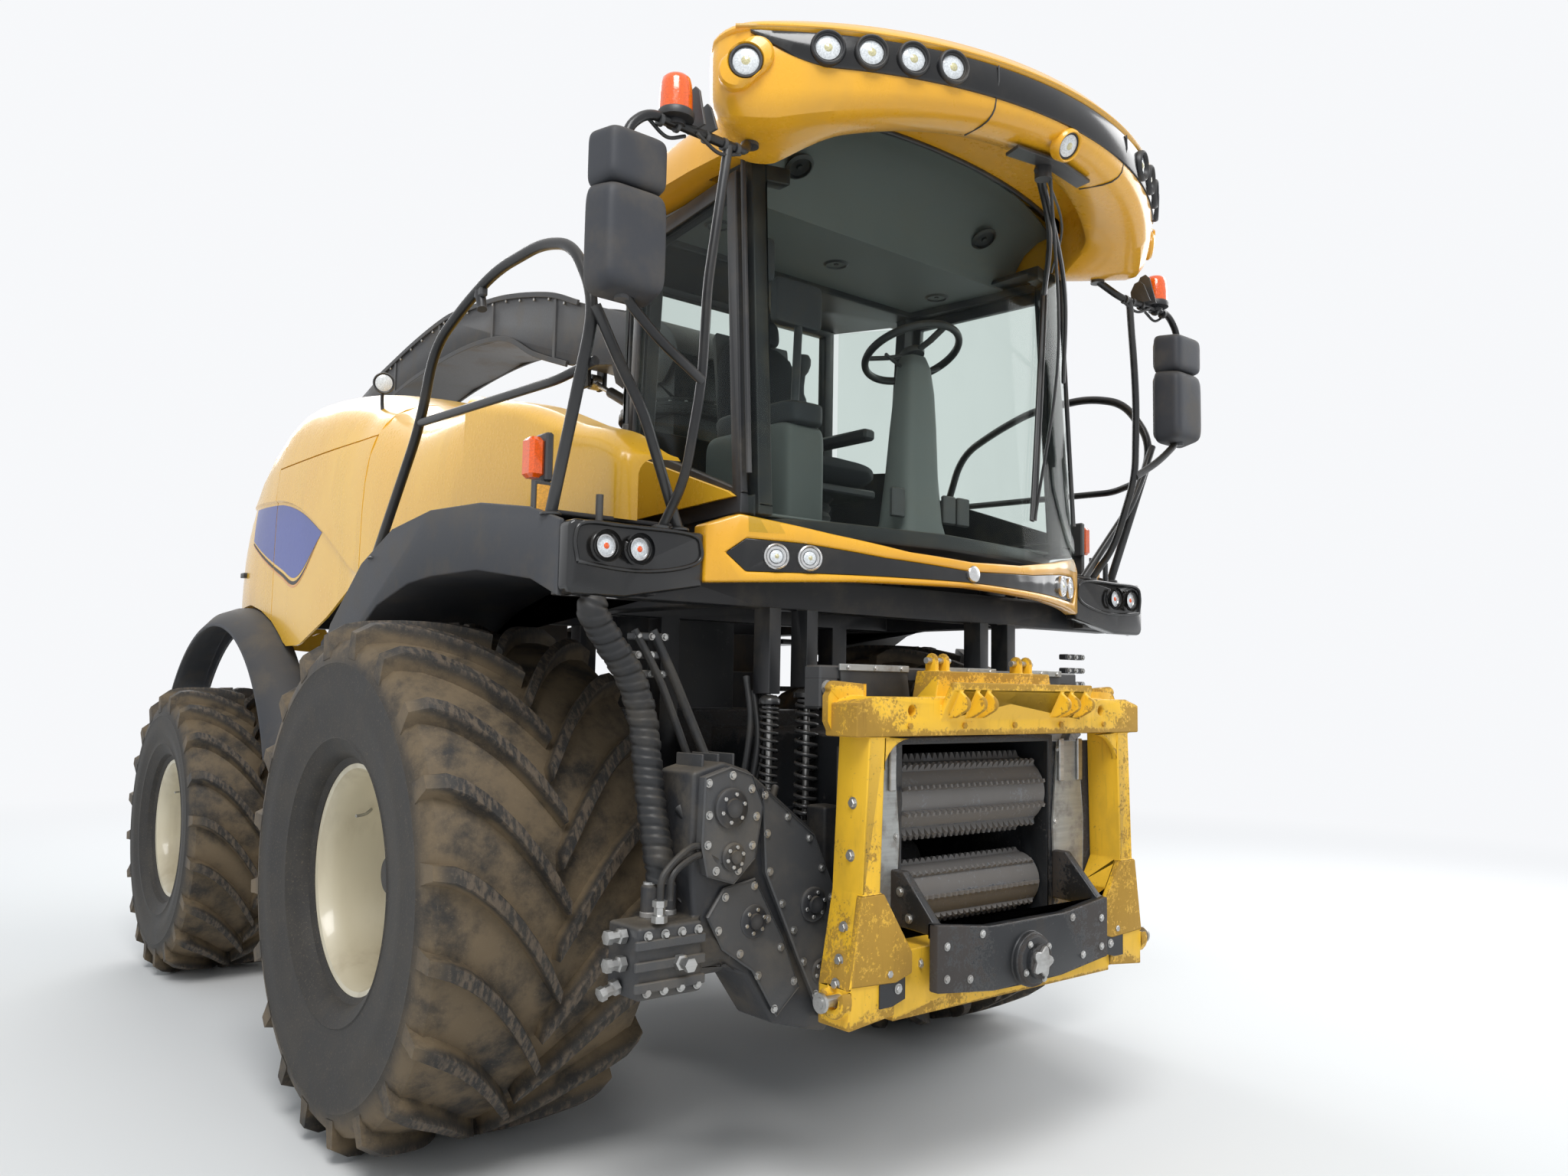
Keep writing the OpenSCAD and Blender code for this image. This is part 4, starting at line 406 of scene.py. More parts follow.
@dataclass(frozen=True)
class ClearGlass:
    """Tinted pane: a see-through tint under a reflecting face, with a faint film of dust."""

    name: str
    tint: Colour
    dust: float = 0.06

    def build(self) -> bpy.types.Material:
        """Makes the material; the share of reflection grows as the face turns away from the view."""
        sh = Shader(self.name)
        film = sh.noise(3, 6, 0.6, stretch=(1.0, 1.0, 0.3)).ramp(0.4, 0.8) * self.dust
        sh.set(Base_Color=(0.02, 0.025, 0.025), Roughness=0.03, IOR=1.52)
        clear = sh.node("ShaderNodeBsdfTransparent", {}, {0: self.tint})
        facing = Value(sh, sh.node("ShaderNodeLayerWeight", {}, {0: 0.5}).outputs[1])
        mixed = sh.node("ShaderNodeMixShader", {}, {0: facing ** 5.0 * 0.8 + film + 0.035,
                                                    1: clear.outputs[0], 2: sh.bsdf.outputs[0]})
        sh.tree.links.new(mixed.outputs[0], sh.output.inputs[0])
        return sh.material


@dataclass(frozen=True)
class Lens:
    """Moulded lamp lens or lamp chip, clear or coloured, that shines a little on its own."""

    name: str
    colour: Colour
    glow: float = 0.0
    roughness: float = 0.12

    def build(self) -> bpy.types.Material:
        """Makes the material."""
        sh = Shader(self.name)
        flute = sh.noise(180, 2)
        tone = sh.mix(flute.ramp(0.35, 0.65), self.colour, tuple(0.75 * c for c in self.colour))
        sh.set(Base_Color=tone, Roughness=self.roughness, Coat_Weight=0.8, Coat_Roughness=0.03)
        if self.glow:
            sh.set(Emission_Color=self.colour, Emission_Strength=self.glow)
        sh.bump(flute, 0.0015, 0.4)
        return sh.material


@dataclass(frozen=True)
class Cloth:
    """Woven seat cloth with a fine twill."""

    name: str
    colour: Colour
    thread: Colour

    def build(self) -> bpy.types.Material:
        """Makes the material."""
        sh = Shader(self.name)
        x, y, z = sh.place()
        twill = ((x + y + z) * 1400.0).apply("SINE") * ((x - y + z) * 1400.0).apply("SINE")
        cloud = sh.noise(12, 4)
        tone = sh.mix(twill.ramp(-0.6, 0.8) * 0.6 + cloud * 0.3, self.colour, self.thread)
        sh.set(Base_Color=tone, Roughness=0.9)
        sh.bump(twill * 0.5 + 0.5, 0.0006, 0.6)
        return sh.material


YELLOW = GlossPaint("yellow_paint", srgb(246, 192, 52), srgb(238, 180, 42))
DEEP_YELLOW = GlossPaint("deep_yellow_paint", srgb(238, 176, 40), srgb(230, 166, 34), roughness=0.28)
CREAM = GlossPaint("cream_paint", srgb(236, 228, 204), srgb(222, 212, 184), roughness=0.34, dust=0.6)
FRAME_PAINT = WornPaint("worn_yellow", srgb(242, 190, 46), srgb(150, 110, 60), srgb(84, 58, 40), 0.4)
DARK_PAINT = WornPaint("worn_dark", srgb(30, 32, 35), srgb(86, 85, 84), srgb(62, 50, 42), 0.4, 0.4)
ROLL_STEEL = WornPaint("roll_steel", srgb(66, 68, 72), srgb(150, 150, 150), srgb(112, 104, 96), 0.55, 0.36)
BLACK = SatinBlack("satin_black", srgb(28, 29, 32))
TUBE_BLACK = SatinBlack("tube_black", srgb(20, 21, 23), roughness=0.34, dust=0.18)
GREY_MOULD = SatinBlack("grey_moulding", srgb(52, 54, 59), roughness=0.6, dust=0.4, grain=700, relief=0.0009)
PIANO_BLACK = SatinBlack("gloss_black", srgb(17, 18, 20), roughness=0.16, dust=0.12, relief=0.0001)
IRON = SatinBlack("black_iron", srgb(40, 41, 44), roughness=0.5, dust=0.55, grain=90, relief=0.002)
STEEL = BareSteel("worn_steel", srgb(190, 190, 188))
BRIGHT = BareSteel("bright_steel", srgb(215, 215, 215), roughness=0.25, film=0.1)
GALVANISED = BareSteel("galvanised", srgb(176, 178, 176), roughness=0.5, film=0.5, metallic=0.6)
GLASS = ClearGlass("tinted_glass", (0.925, 0.955, 0.94), dust=0.02)
HOSE = SatinBlack("hose_rubber", srgb(26, 27, 29), roughness=0.48, dust=0.3, grain=300, relief=0.001)
SEAT_CLOTH = Cloth("seat_cloth", srgb(34, 35, 38), srgb(58, 60, 66))
AMBER = Lens("amber_lens", srgb(236, 92, 10), 0.12)
AMBER_PLATE = Lens("amber_plate", srgb(238, 168, 40), 0.05, 0.3)
LINER = SatinBlack("cab_lining", srgb(104, 108, 106), roughness=0.6, dust=0.15, grain=500)
GLOSS_COIL = SatinBlack("coil_lacquer", srgb(24, 24, 26), roughness=0.24, dust=0.2, relief=0.0002)
WHITE_LENS = Lens("white_lens", srgb(232, 236, 238), roughness=0.08)
RED_LENS = Lens("red_lens", srgb(170, 18, 16))
SCREEN = Lens("screen", srgb(14, 18, 20), roughness=0.08)
CHIP = Lens("lamp_chip", srgb(214, 206, 160), roughness=0.2)
BLUE = GlossPaint("blue_field", srgb(8, 54, 156), srgb(6, 46, 138), roughness=0.34, dust=0.06)
ORANGE_LINE = GlossPaint("orange_line", srgb(232, 150, 40), srgb(224, 140, 36), dust=0.15)
GOLD = GlossPaint("gold_rim", srgb(206, 160, 74), srgb(190, 146, 66), roughness=0.32)

_MADE: Dict[str, bpy.types.Material] = {}


def finish_of(finish: Any) -> bpy.types.Material:
    """The material of a finish, made once."""
    if finish.name not in _MADE:
        _MADE[finish.name] = finish.build()
    return _MADE[finish.name]


def dress(node: str, finish: Any) -> None:
    """Puts a finish on a carried-over node."""
    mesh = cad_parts[node].data
    mesh.materials.clear()
    mesh.materials.append(finish_of(finish))
    LOG.info("dressed %s in %s", node, finish.name)


# Mesh toolkit

def unit(v: Array) -> Array:
    """Each row divided by its length."""
    return v / np.maximum(np.linalg.norm(v, axis=-1, keepdims=True), 1e-12)


def smooth_path(points: Sequence[Point], steps: int = 8) -> Array:
    """Catmull-Rom curve: each span is the cubic whose end slopes are half the chord of the neighbours.

    Args:
        points: The points that the curve passes, in metres.
        steps: Samples for each span.
    Returns:
        The samples, one row each.
    """
    p = np.asarray(points, float)
    p = np.vstack([2 * p[0] - p[1], p, 2 * p[-1] - p[-2]])
    t = np.linspace(0, 1, steps, endpoint=False)[None, :, None]
    a, b, c, d = (p[i:len(p) - 3 + i][:, None, :] for i in range(4))
    curve = 0.5 * (2 * b + (c - a) * t + (2 * a - 5 * b + 4 * c - d) * t ** 2
                   + (3 * b - a - 3 * c + d) * t ** 3)
    return np.vstack([curve.reshape(-1, 3), p[-2]])


def rounded_path(points: Sequence[Point], radius: float, steps: int = 5) -> Array:
    """Straight runs joined by quadratic bends that start a given length before each corner.

    Args:
        points: The corners, in metres.
        radius: Length of run that a bend takes on each side of its corner.
        steps: Samples for each bend.
    Returns:
        The samples, one row each.
    """
    p = np.asarray(points, float)
    out = [p[:1]]
    t = np.linspace(0, 1, steps + 1)[:, None]
    for before, corner, after in zip(p[:-2], p[1:-1], p[2:]):
        cut = min(radius, 0.45 * np.linalg.norm(corner - before), 0.45 * np.linalg.norm(after - corner))
        a = corner + cut * unit(before - corner)
        b = corner + cut * unit(after - corner)
        out.append((1 - t) ** 2 * a + 2 * t * (1 - t) * corner + t ** 2 * b)
    return np.vstack(out + [p[-1:]])


def frames_along(path: Array, up: Point = (0.0, 0.0, 1.0)) -> Tuple[Array, Array, Array]:
    """Tangents by central differences, with two normals carried from sample to sample without twist."""
    tangent = unit(np.gradient(path, axis=0))
    first = np.asarray(up, float)
    if abs(first @ tangent[0]) > 0.95:
        first = np.array([1.0, 0.0, 0.0])
    side = np.empty_like(path)
    carried = unit(np.cross(tangent[0], first))
    for i, t in enumerate(tangent):
        carried = unit(carried - (carried @ t) * t)
        side[i] = carried
    return tangent, side, np.cross(tangent, side)


def arc_points(centre: Tuple[float, float], radius: float, start: float, end: float, steps: int) -> Array:
    """Points (c + r cos a, c + r sin a) for angles in degrees from start to end."""
    a = np.radians(np.linspace(start, end, steps + 1))
    return np.stack([centre[0] + radius * np.cos(a), centre[1] + radius * np.sin(a)], 1)


def rounded_rect(width: float, height: float, radius: float, steps: int = 4) -> Array:
    """Outline of a rectangle about the origin with quarter circles at its corners, anticlockwise."""
    w, h = width / 2 - radius, height / 2 - radius
    return np.vstack([arc_points((x, y), radius, a, a + 90, steps)
                      for x, y, a in ((w, h, 0), (-w, h, 90), (-w, -h, 180), (w, -h, 270))])


class Form:
    """One piece's mesh under construction, with a material number for each face."""

    def __init__(self) -> None:
        """Starts empty."""
        self.points: List[Array] = []
        self.faces: List[List[int]] = []
        self.marks: List[int] = []
        self.count = 0

    def add(self, points: Array, faces: Sequence[Sequence[int]], mark: int = 0) -> "Form":
        """Adds points and the faces between them.

        Args:
            points: Rows of X, Y and Z in metres.
            faces: Point numbers of each face, anticlockwise from outside.
            mark: The faces' material number.
        Returns:
            This form.
        """
        shift = self.count
        self.points.append(np.asarray(points, float))
        self.faces.extend([[i + shift for i in face] for face in faces])
        self.marks.extend([mark] * len(faces))
        self.count += len(points)
        return self

    def grid(self, points: Array, mark: int = 0, wrap_rows: bool = False, wrap_columns: bool = False,
             caps: bool = False, flip: bool = False) -> "Form":
        """Quads between neighbours of an array of rows by columns by 3.

        Args:
            points: The array.
            mark: Material number.
            wrap_rows: Whether the last row joins the first.
            wrap_columns: Whether the last column joins the first.
            caps: Whether the first and last rows are filled with one face each.
            flip: Whether the faces point the other way.
        Returns:
            This form.
        """
        rows, columns = points.shape[:2]
        n = np.arange(rows * columns).reshape(rows, columns)
        if wrap_rows:
            n = np.vstack([n, n[:1]])
        if wrap_columns:
            n = np.hstack([n, n[:, :1]])
        quads = np.stack([n[:-1, :-1], n[:-1, 1:], n[1:, 1:], n[1:, :-1]], -1).reshape(-1, 4)
        faces = quads.tolist()
        if caps:
            faces += [list(range(columns))[::-1], list(range((rows - 1) * columns, rows * columns))]
        if flip:
            faces = [face[::-1] for face in faces]
        return self.add(points.reshape(-1, 3), faces, mark)

    def tube(self, path: Array, radius: Union[float, Array], sides: int = 12, mark: int = 0,
             caps: bool = True, section: Optional[Array] = None) -> "Form":
        """A round or other section carried along a path: path + u * side + v * up at every sample.

        Args:
            path: Samples of the path.
            radius: One radius, or one for each sample; a factor where a section is given.
            sides: Sides of a round section.
            mark: Material number.
            caps: Whether both ends are filled.
            section: Points (u, v) of another section, anticlockwise.
        Returns:
            This form.
        """
        if section is None:
            a = np.linspace(0, 2 * math.pi, sides, endpoint=False)
            section = np.stack([np.cos(a), np.sin(a)], 1)
        _, side, up = frames_along(path)
        size = np.broadcast_to(np.asarray(radius, float), (len(path),))[:, None, None]
        rings = path[:, None] + size * (section[None, :, :1] * side[:, None] + section[None, :, 1:] * up[:, None])
        return self.grid(rings, mark, wrap_columns=True, caps=caps, flip=True)

    def lathe(self, profile: Array, origin: Point, axis: Point = (0.0, 0.0, 1.0), sides: int = 48, mark: int = 0,
              closed: bool = False, span: Tuple[float, float] = (0.0, 360.0)) -> "Form":
        """A profile of (radius, height) turned about an axis: origin + h * axis + r (cos a * u + sin a * v).

        Args:
            profile: Rows of radius and height along the axis.
            origin: A point of the axis.
            axis: The axis's direction.
            sides: Steps round the axis.
            mark: Material number.
            closed: Whether the profile's end joins its start.
            span: First and last angle in degrees.
        Returns:
            This form.
        """
        w = unit(np.asarray(axis, float))
        u = unit(np.cross([0.0, 0.0, 1.0] if abs(w[2]) < 0.9 else [1.0, 0.0, 0.0], w))
        v = np.cross(w, u)
        full = abs(span[1] - span[0] - 360) < 1e-6
        a = np.radians(np.linspace(*span, sides + (0 if full else 1), endpoint=not full))[:, None, None]
        p = np.asarray(profile, float)
        ring = np.asarray(origin) + p[None, :, 1:] * w + p[None, :, :1] * (np.cos(a) * u + np.sin(a) * v)
        return self.grid(ring, mark, wrap_rows=full, wrap_columns=closed)

    def prism(self, outline: Array, low: float, high: float, plane: Callable[[Array, Array, Array], Array],
              bevel: float = 0.0, mark: int = 0) -> "Form":
        """An outline carried from low to high with its rims set in by a chamfer.

        Args:
            outline: Points (a, b), anticlockwise seen from the high side.
            low: Start of the run.
            high: End of the run.
            plane: Gives points for arrays a, b and c, such as (c, a, b) for a run along X.
            bevel: Size of the chamfer.
            mark: Material number.
        Returns:
            This form.
        """
        p = np.asarray(outline, float)
        back, ahead = p - np.roll(p, 1, 0), np.roll(p, -1, 0) - p
        normal = unit(np.stack([unit(back)[:, 1] + unit(ahead)[:, 1], -unit(back)[:, 0] - unit(ahead)[:, 0]], 1))
        rows = [(p - bevel * normal, low), (p, low + bevel), (p, high - bevel), (p - bevel * normal, high)]
        rings = np.stack([plane(q[:, 0], q[:, 1], np.full(len(q), c)) for q, c in rows])
        return self.grid(rings, mark, wrap_columns=True, caps=True)

    def block(self, low: Point, high: Point, bevel: float = 0.003, mark: int = 0, turn: float = 0.0) -> "Form":
        """A box with chamfered edges between two corners, turned about its own vertical axis by degrees."""
        lo, hi = np.asarray(low, float), np.asarray(high, float)
        mid, half = (lo + hi) / 2, (hi - lo) / 2
        b = min(bevel, 0.45 * half.min())
        outline = rounded_rect(2 * half[0], 2 * half[1], b, 1)
        c, s = math.cos(math.radians(turn)), math.sin(math.radians(turn))
        return self.prism(outline, -half[2], half[2],
                          lambda x, y, z: mid + np.stack([c * x - s * y, s * x + c * y, z], 1), b, mark)

    def bolt(self, place: Point, axis: Point, size: float = 0.012, height: float = 0.008, mark: int = 0,
             washer: bool = True) -> "Form":
        """A hexagon head of the given radius on a washer."""
        if washer:
            self.lathe(np.array([[0, 0], [size * 1.35, 0], [size * 1.35, 0.0025], [0, 0.0025]]), place, axis, 16, mark)
        head = [[0, 0], [size, 0], [size, height * 0.8], [size * 0.86, height], [0, height]]
        return self.lathe(np.array(head), place, axis, 6, mark)

    def box(self, low: Point, high: Point, bevel: float = 0.003, mark: int = 0) -> "Form":
        """A block between two corners given in millimetres from the front axle line."""
        return self.block(mm(low), mm(high), bevel, mark)

    def turned(self, profile: Sequence[Sequence[float]], place: Point, axis: Point, sides: int = 48,
               mark: int = 0) -> "Form":
        """A lathe whose profile and place are in millimetres."""
        return self.lathe(np.array(profile) / 1000, mm(place), axis, sides, mark)

    def pipe(self, points: Sequence[Point], radius: float, steps: int, sides: int, mark: int = 0) -> "Form":
        """A round tube of a radius in metres along the smooth curve through points in millimetres."""
        return self.tube(mm(smooth_path(points, steps)), radius, sides, mark)

    def sheet(self, outer: Array, inner: Array, mark: int = 0) -> "Form":
        """Two grids of one size, in metres, and the four walls between their rims."""
        self.grid(outer, mark).grid(inner, mark)
        for a, b in ((outer[0], inner[0]), (outer[-1], inner[-1]), (outer[:, 0], inner[:, 0]),
                     (outer[:, -1], inner[:, -1])):
            self.grid(np.stack([a, b]), mark)
        return self

    def mirrored(self) -> "Form":
        """Adds a copy of everything on the other side of the machine."""
        marks = list(self.marks)
        self.add(np.vstack(self.points) * [-1.0, 1.0, 1.0], [face[::-1] for face in self.faces])
        self.marks[-len(marks):] = marks
        return self

    def piece(self, name: str, finishes: Sequence[Any], replaces: Sequence[str] = (), sharp: float = 35.0,
              body: str = "chassis", blend: Optional[Tuple[str, str, Point, Point]] = None) -> bpy.types.Object:
        """Makes the object, dresses it and lets it ride on its body, or on none where a blend is given.

        Args:
            name: The piece's name.
            finishes: One finish for each material number.
            replaces: CAD nodes that it stands for.
            sharp: Edges that turn by more degrees than this are shaded sharp.
            body: The CAD body that it rides on.
            blend: Two bodies and two points; where given, the piece rides on no body and does not bend.
        Returns:
            The object.
        """
        mesh = bpy.data.meshes.new(name)
        mesh.from_pydata(np.vstack(self.points).tolist(), [], self.faces)
        mesh.polygons.foreach_set("material_index", self.marks)
        for finish in finishes:
            mesh.materials.append(finish_of(finish))
        return settle(mesh, name, body, replaces, sharp, blend)


def merge_flats(work: bmesh.types.BMesh) -> bmesh.types.BMesh:
    """Joins coplanar triangles, or only pairs of them where a joined face would close an opening inside it.

    Args:
        work: The mesh, merged.
    Returns:
        The mesh to go on with.
    """
    trial = work.copy()
    bmesh.ops.dissolve_limit(trial, angle_limit=math.radians(0.4), verts=trial.verts, edges=trial.edges)
    trial.faces.index_update()
    filled: Dict[int, float] = {}
    for corners in trial.calc_loop_triangles():
        a, b, c = (corner.vert.co for corner in corners)
        index = corners[0].face.index
        filled[index] = filled.get(index, 0.0) + (b - a).cross(c - a).length / 2
    if all(abs(filled.get(face.index, 0.0) - face.calc_area()) < 1e-5 for face in trial.faces):
        work.free()
        return trial
    trial.free()
    bmesh.ops.join_triangles(work, faces=work.faces, angle_face_threshold=0.01, angle_shape_threshold=3.1)
    return work


def settle(mesh: bpy.types.Mesh, name: str, body: str, replaces: Sequence[str] = (),
           sharp: float = 35.0, blend: Optional[Tuple[str, str, Point, Point]] = None,
           rounding: float = 0.0) -> bpy.types.Object:
    """Merges doubles, points the faces outwards, shades the mesh and ties its object to the frame.

    Args:
        mesh: The mesh, in the frame's place.
        name: The piece's name.
        body: The CAD body that it rides on.
        replaces: CAD nodes that it stands for.
        sharp: Edges that turn by more degrees than this are shaded sharp.
        blend: Two bodies and two points; where given, the piece is tied to no body and does not bend.
        rounding: Width of the bevel on its sharp edges, in metres.
    Returns:
        The object.
    """
    work = bmesh.new()
    work.from_mesh(mesh)
    bmesh.ops.remove_doubles(work, verts=work.verts, dist=1e-5)
    if rounding:
        work = merge_flats(work)
    else:
        bmesh.ops.recalc_face_normals(work, faces=work.faces)
    work.to_mesh(mesh)
    work.free()
    made = bpy.data.objects.new(name, mesh)
    bpy.context.scene.collection.objects.link(made)
    mesh.shade_smooth()
    if rounding:
        bevel = made.modifiers.new("edges", "BEVEL")
        bevel.width = rounding
        bevel.segments = 2
        bevel.limit_method = "ANGLE"
        bevel.angle_limit = math.radians(sharp)
        bevel.use_clamp_overlap = False
        bevel.harden_normals = True
    else:
        mesh.set_sharp_from_angle(angle=math.radians(sharp))
    if replaces:
        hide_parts(*replaces)
    if blend:
        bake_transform(made)
    else:
        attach(made, body)
    LOG.info("made %s: %d faces", name, len(mesh.polygons))
    return made


def cut_boxes(mesh: bpy.types.Mesh, boxes: Sequence[Tuple[Point, Point]]) -> bpy.types.Mesh:
    """The mesh less some boxes, each given by two opposite corners in the frame's metres."""
    for low, high in boxes:
        tool = Form()
        tool.block(low, high, 0.0, 0)
        blade = bpy.data.meshes.new("blade")
        blade.from_pydata(np.vstack(tool.points).tolist(), [], tool.faces)
        holder, cutter = bpy.data.objects.new("held", mesh), bpy.data.objects.new("cutter", blade)
        for made in (holder, cutter):
            bpy.context.scene.collection.objects.link(made)
        work = holder.modifiers.new("cut", "BOOLEAN")
        work.operation, work.solver, work.object = "DIFFERENCE", "EXACT", cutter
        bpy.context.view_layer.update()
        mesh = bpy.data.meshes.new_from_object(holder.evaluated_get(bpy.context.evaluated_depsgraph_get()))
        for made in (holder, cutter):
            bpy.data.objects.remove(made)
    return mesh


def soften(node: str, body: str, finish: Any, slot: str, rounding: float = 0.005,
           sharp: float = 28.0, cuts: Sequence[Tuple[Point, Point]] = ()) -> bpy.types.Object:
    """A copy of a CAD node with rounded edges, which stands for the node.

    Args:
        node: The node.
        body: Its body.
        finish: The copy's finish.
        slot: Name of a material slot; not used.
        rounding: Width of the rounding in metres.
        sharp: Edges that turn by more degrees than this are rounded.
        cuts: Boxes that are taken away first.
    Returns:
        The object.
    """
    mesh = cut_boxes(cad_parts[node].data.copy(), cuts)
    mesh.materials.clear()
    mesh.materials.append(finish_of(finish))
    mesh.polygons.foreach_set("material_index", [0] * len(mesh.polygons))
    return settle(mesh, node + "_body", body, (node,), sharp, None, rounding)


# Wheels

@dataclass
class Wheel:
    """One wheel: rim, tyre, hub and nuts, drawn for a hub at the given place."""

    body: str
    nodes: Tuple[str, str]
    side: int
    hub: Point
    radius: float
    width: float
    rim_radius: float
    disc: float
    hub_radius: float
    lugs: int = 20
    lug_height: float = 0.058
    sweep: float = 27.0
    lug_half: float = 0.031

    def section(self) -> Array:
        """Half section of the carcass as (radius, share of the half width), from the tread's middle to the bead."""
        tread, bead = self.radius - self.lug_height, self.rim_radius - 0.02
        belly = (tread + bead) / 2
        rows = [(tread, 0.0), (tread - 0.001, 0.36), (tread - 0.008, 0.72), (tread - 0.026, 0.9),
                (tread - 0.062, 0.965), (tread - 0.10, 0.982), (tread - 0.108, 0.992), (tread - 0.116, 0.985),
                (belly + 0.03, 0.998), (belly - 0.02, 0.984), (bead + 0.13, 0.95), (bead + 0.10, 0.945),
                (bead + 0.094, 0.953), (bead + 0.088, 0.94), (bead + 0.055, 0.90), (bead + 0.035, 0.865),
                (bead + 0.024, 0.80), (bead + 0.002, 0.77), (bead, 0.70)]
        return np.array([(r, u * self.width / 2) for r, u in rows])

    def tread_height(self, offset: Array) -> Array:
        """Radius of the carcass at an offset from the middle, between the rows of the section."""
        half = self.section()[:7]
        return np.interp(offset, half[:, 1], half[:, 0])

    def carcass(self, form: Form) -> None:
        """Turns the whole section about the axle."""
        half = self.section()
        whole = np.vstack([half[::-1], half[1:] * [1, -1]])
        form.lathe(whole, self.hub, (1, 0, 0), 120, 0, closed=True)

    def lug_bars(self, form: Form) -> None:
        """Lugs: for station s from 0 to 1, offset x = s * 0.97 w/2 and angle a = sweep * (1 - (1 - s)^1.7);
        across the lug, a section of two feet, two shoulders and two crown points stands on the carcass."""
        s = np.linspace(0, 1, 9)
        offset = (-0.03 + s) * self.width / 2
        angle = np.radians(self.sweep) * (1 - (1 - s) ** 1.7)
        base = self.tread_height(np.abs(offset)) - 0.012
        drop = (np.clip(s - 0.8, 0, 1) / 0.2) ** 1.6 * 0.045 + 0.004 * s
        top = np.full_like(s, self.radius) - drop
        half_top = self.lug_half * (1.0 - 0.12 * s)
        tip = np.where(s < 0.06, 0.8, 1.0)
        section = np.array([(-1.5, 0.0), (-1.12, 0.55), (-1.0, 0.93), (-0.86, 1.0), (0.86, 1.0), (1.0, 0.93),
                            (1.12, 0.55), (1.5, 0.0)])
        reach = base[:, None] + (top - base)[:, None] * section[None, :, 1]
        turn = angle[:, None] + (half_top * tip)[:, None] * section[None, :, 0] / self.radius
        x = np.broadcast_to(offset[:, None], turn.shape).copy()
        x[-1] += 0.004
        for k in range(2 * self.lugs):
            sign = 1 if k % 2 else -1
            whole = turn + math.radians(180 / self.lugs * k)
            points = np.stack([sign * x, -reach * np.cos(whole), reach * np.sin(whole)], -1)
            form.grid(points + np.asarray(self.hub), 0, caps=True, flip=sign > 0)

    def tyre(self) -> None:
        """Makes the tyre."""
        form = Form()
        self.carcass(form)
        self.lug_bars(form)
        finish = TyreRubber(self.nodes[1] + "_rubber", self.hub, self.radius)
        form.piece(self.nodes[1] + "_tread", (finish,), (self.nodes[1],), 32, body=self.body)

    def rim(self) -> None:
        """Makes the rim with its rolled flanges and disc, the ring of nuts, the hub cover and the valve."""
        r, lip = self.rim_radius, 0.40 * self.width
        disc, hub = self.disc, self.hub_radius
        outer = [(hub + 0.035, disc + 0.012), (hub + 0.075, disc - 0.004), (r - 0.13, disc), (r - 0.085, disc + 0.012),
                 (r - 0.066, disc + 0.04), (r - 0.060, lip * 0.70), (r - 0.050, lip * 0.86), (r - 0.036, lip * 0.94),
                 (r - 0.012, lip * 0.955), (r - 0.002, lip * 0.965), (r + 0.001, lip * 0.95), (r - 0.001, lip * 0.92),
                 (r - 0.02, lip * 0.90), (r - 0.027, lip * 0.86), (r - 0.027, -lip * 0.86), (r, -lip * 0.92),
                 (r - 0.002, -lip * 0.96), (r - 0.04, -lip * 0.94), (r - 0.060, -lip * 0.82), (r - 0.060, disc - 0.034),
                 (hub + 0.001, disc - 0.034), (hub + 0.001, disc + 0.012)]
        form = Form()
        axis = (self.side, 0, 0)
        form.lathe(np.array(outer), self.hub, axis, 128, 0, closed=True)
        form.piece(self.nodes[0] + "_shell", (CREAM,), (self.nodes[0],), 40, body=self.body)
        nuts = Form()
        ring = hub + 0.055
        for a in np.linspace(0, 2 * math.pi, 12, endpoint=False):
            place = (self.hub[0] + self.side * (disc + 0.001), self.hub[1] + ring * math.cos(a),
                     self.hub[2] + ring * math.sin(a))
            nuts.bolt(place, axis, 0.017, 0.022, 0)
        cover = [(0, 0.062), (hub * 0.55, 0.060), (hub * 0.62, 0.05), (hub * 0.66, 0.0), (hub * 0.9, -0.004),
                 (hub * 0.9, -0.03)]
        nuts.lathe(np.array(cover) + [0, disc + 0.10], self.hub, axis, 48, 1)
        stem = r - 0.075
        tip = np.array(self.hub) + [self.side * (lip * 0.5), stem * 0.8, stem * 0.6]
        valve = [tip, tip + [self.side * 0.03, -0.02, -0.015], tip + [self.side * 0.07, -0.03, -0.02]]
        nuts.tube(smooth_path(valve, 4), 0.006, 8, 0)
        nuts.piece(self.nodes[0] + "_nuts", (STEEL, IRON), body=self.body)

    def build(self) -> None:
        """Makes the whole wheel."""
        self.tyre()
        self.rim()


def wheels() -> List[Wheel]:
    """The four wheels."""
    made = []
    for side, word in ((1, "left"), (-1, "right")):
        made.append(Wheel(f"front_wheel_{word}", (f"front_rim_{word}", f"front_tyre_{word}"), side,
                          at(side * 1290, 0, 946), 0.946, 0.89, 0.432, 0.056, 0.12))
        made.append(Wheel(f"rear_wheel_{word}", (f"rear_rim_{word}", f"rear_tyre_{word}"), side,
                          at(side * 1235, 3160, 803), 0.803, 0.71, 0.404, -0.016, 0.08, lug_half=0.028))
    return made


# Helpers for the panels

def facing(a: Array, b: Array, c: Array) -> Array:
    """Points of an outline (x, z) that is carried along y, in millimetres."""
    return mm(np.stack([a, c, b], 1))


def lying(a: Array, b: Array, c: Array) -> Array:
    """Points of an outline (x, y) that is carried along z, in millimetres."""
    return mm(np.stack([a, b, c], 1))


def on_side(outline: Sequence[Tuple[float, float]], side: int) -> Array:
    """An outline (x, z) on the left (1) or mirrored to the right (-1), with its turning sense kept."""
    return (np.array(outline, float) * [side, 1])[::side]


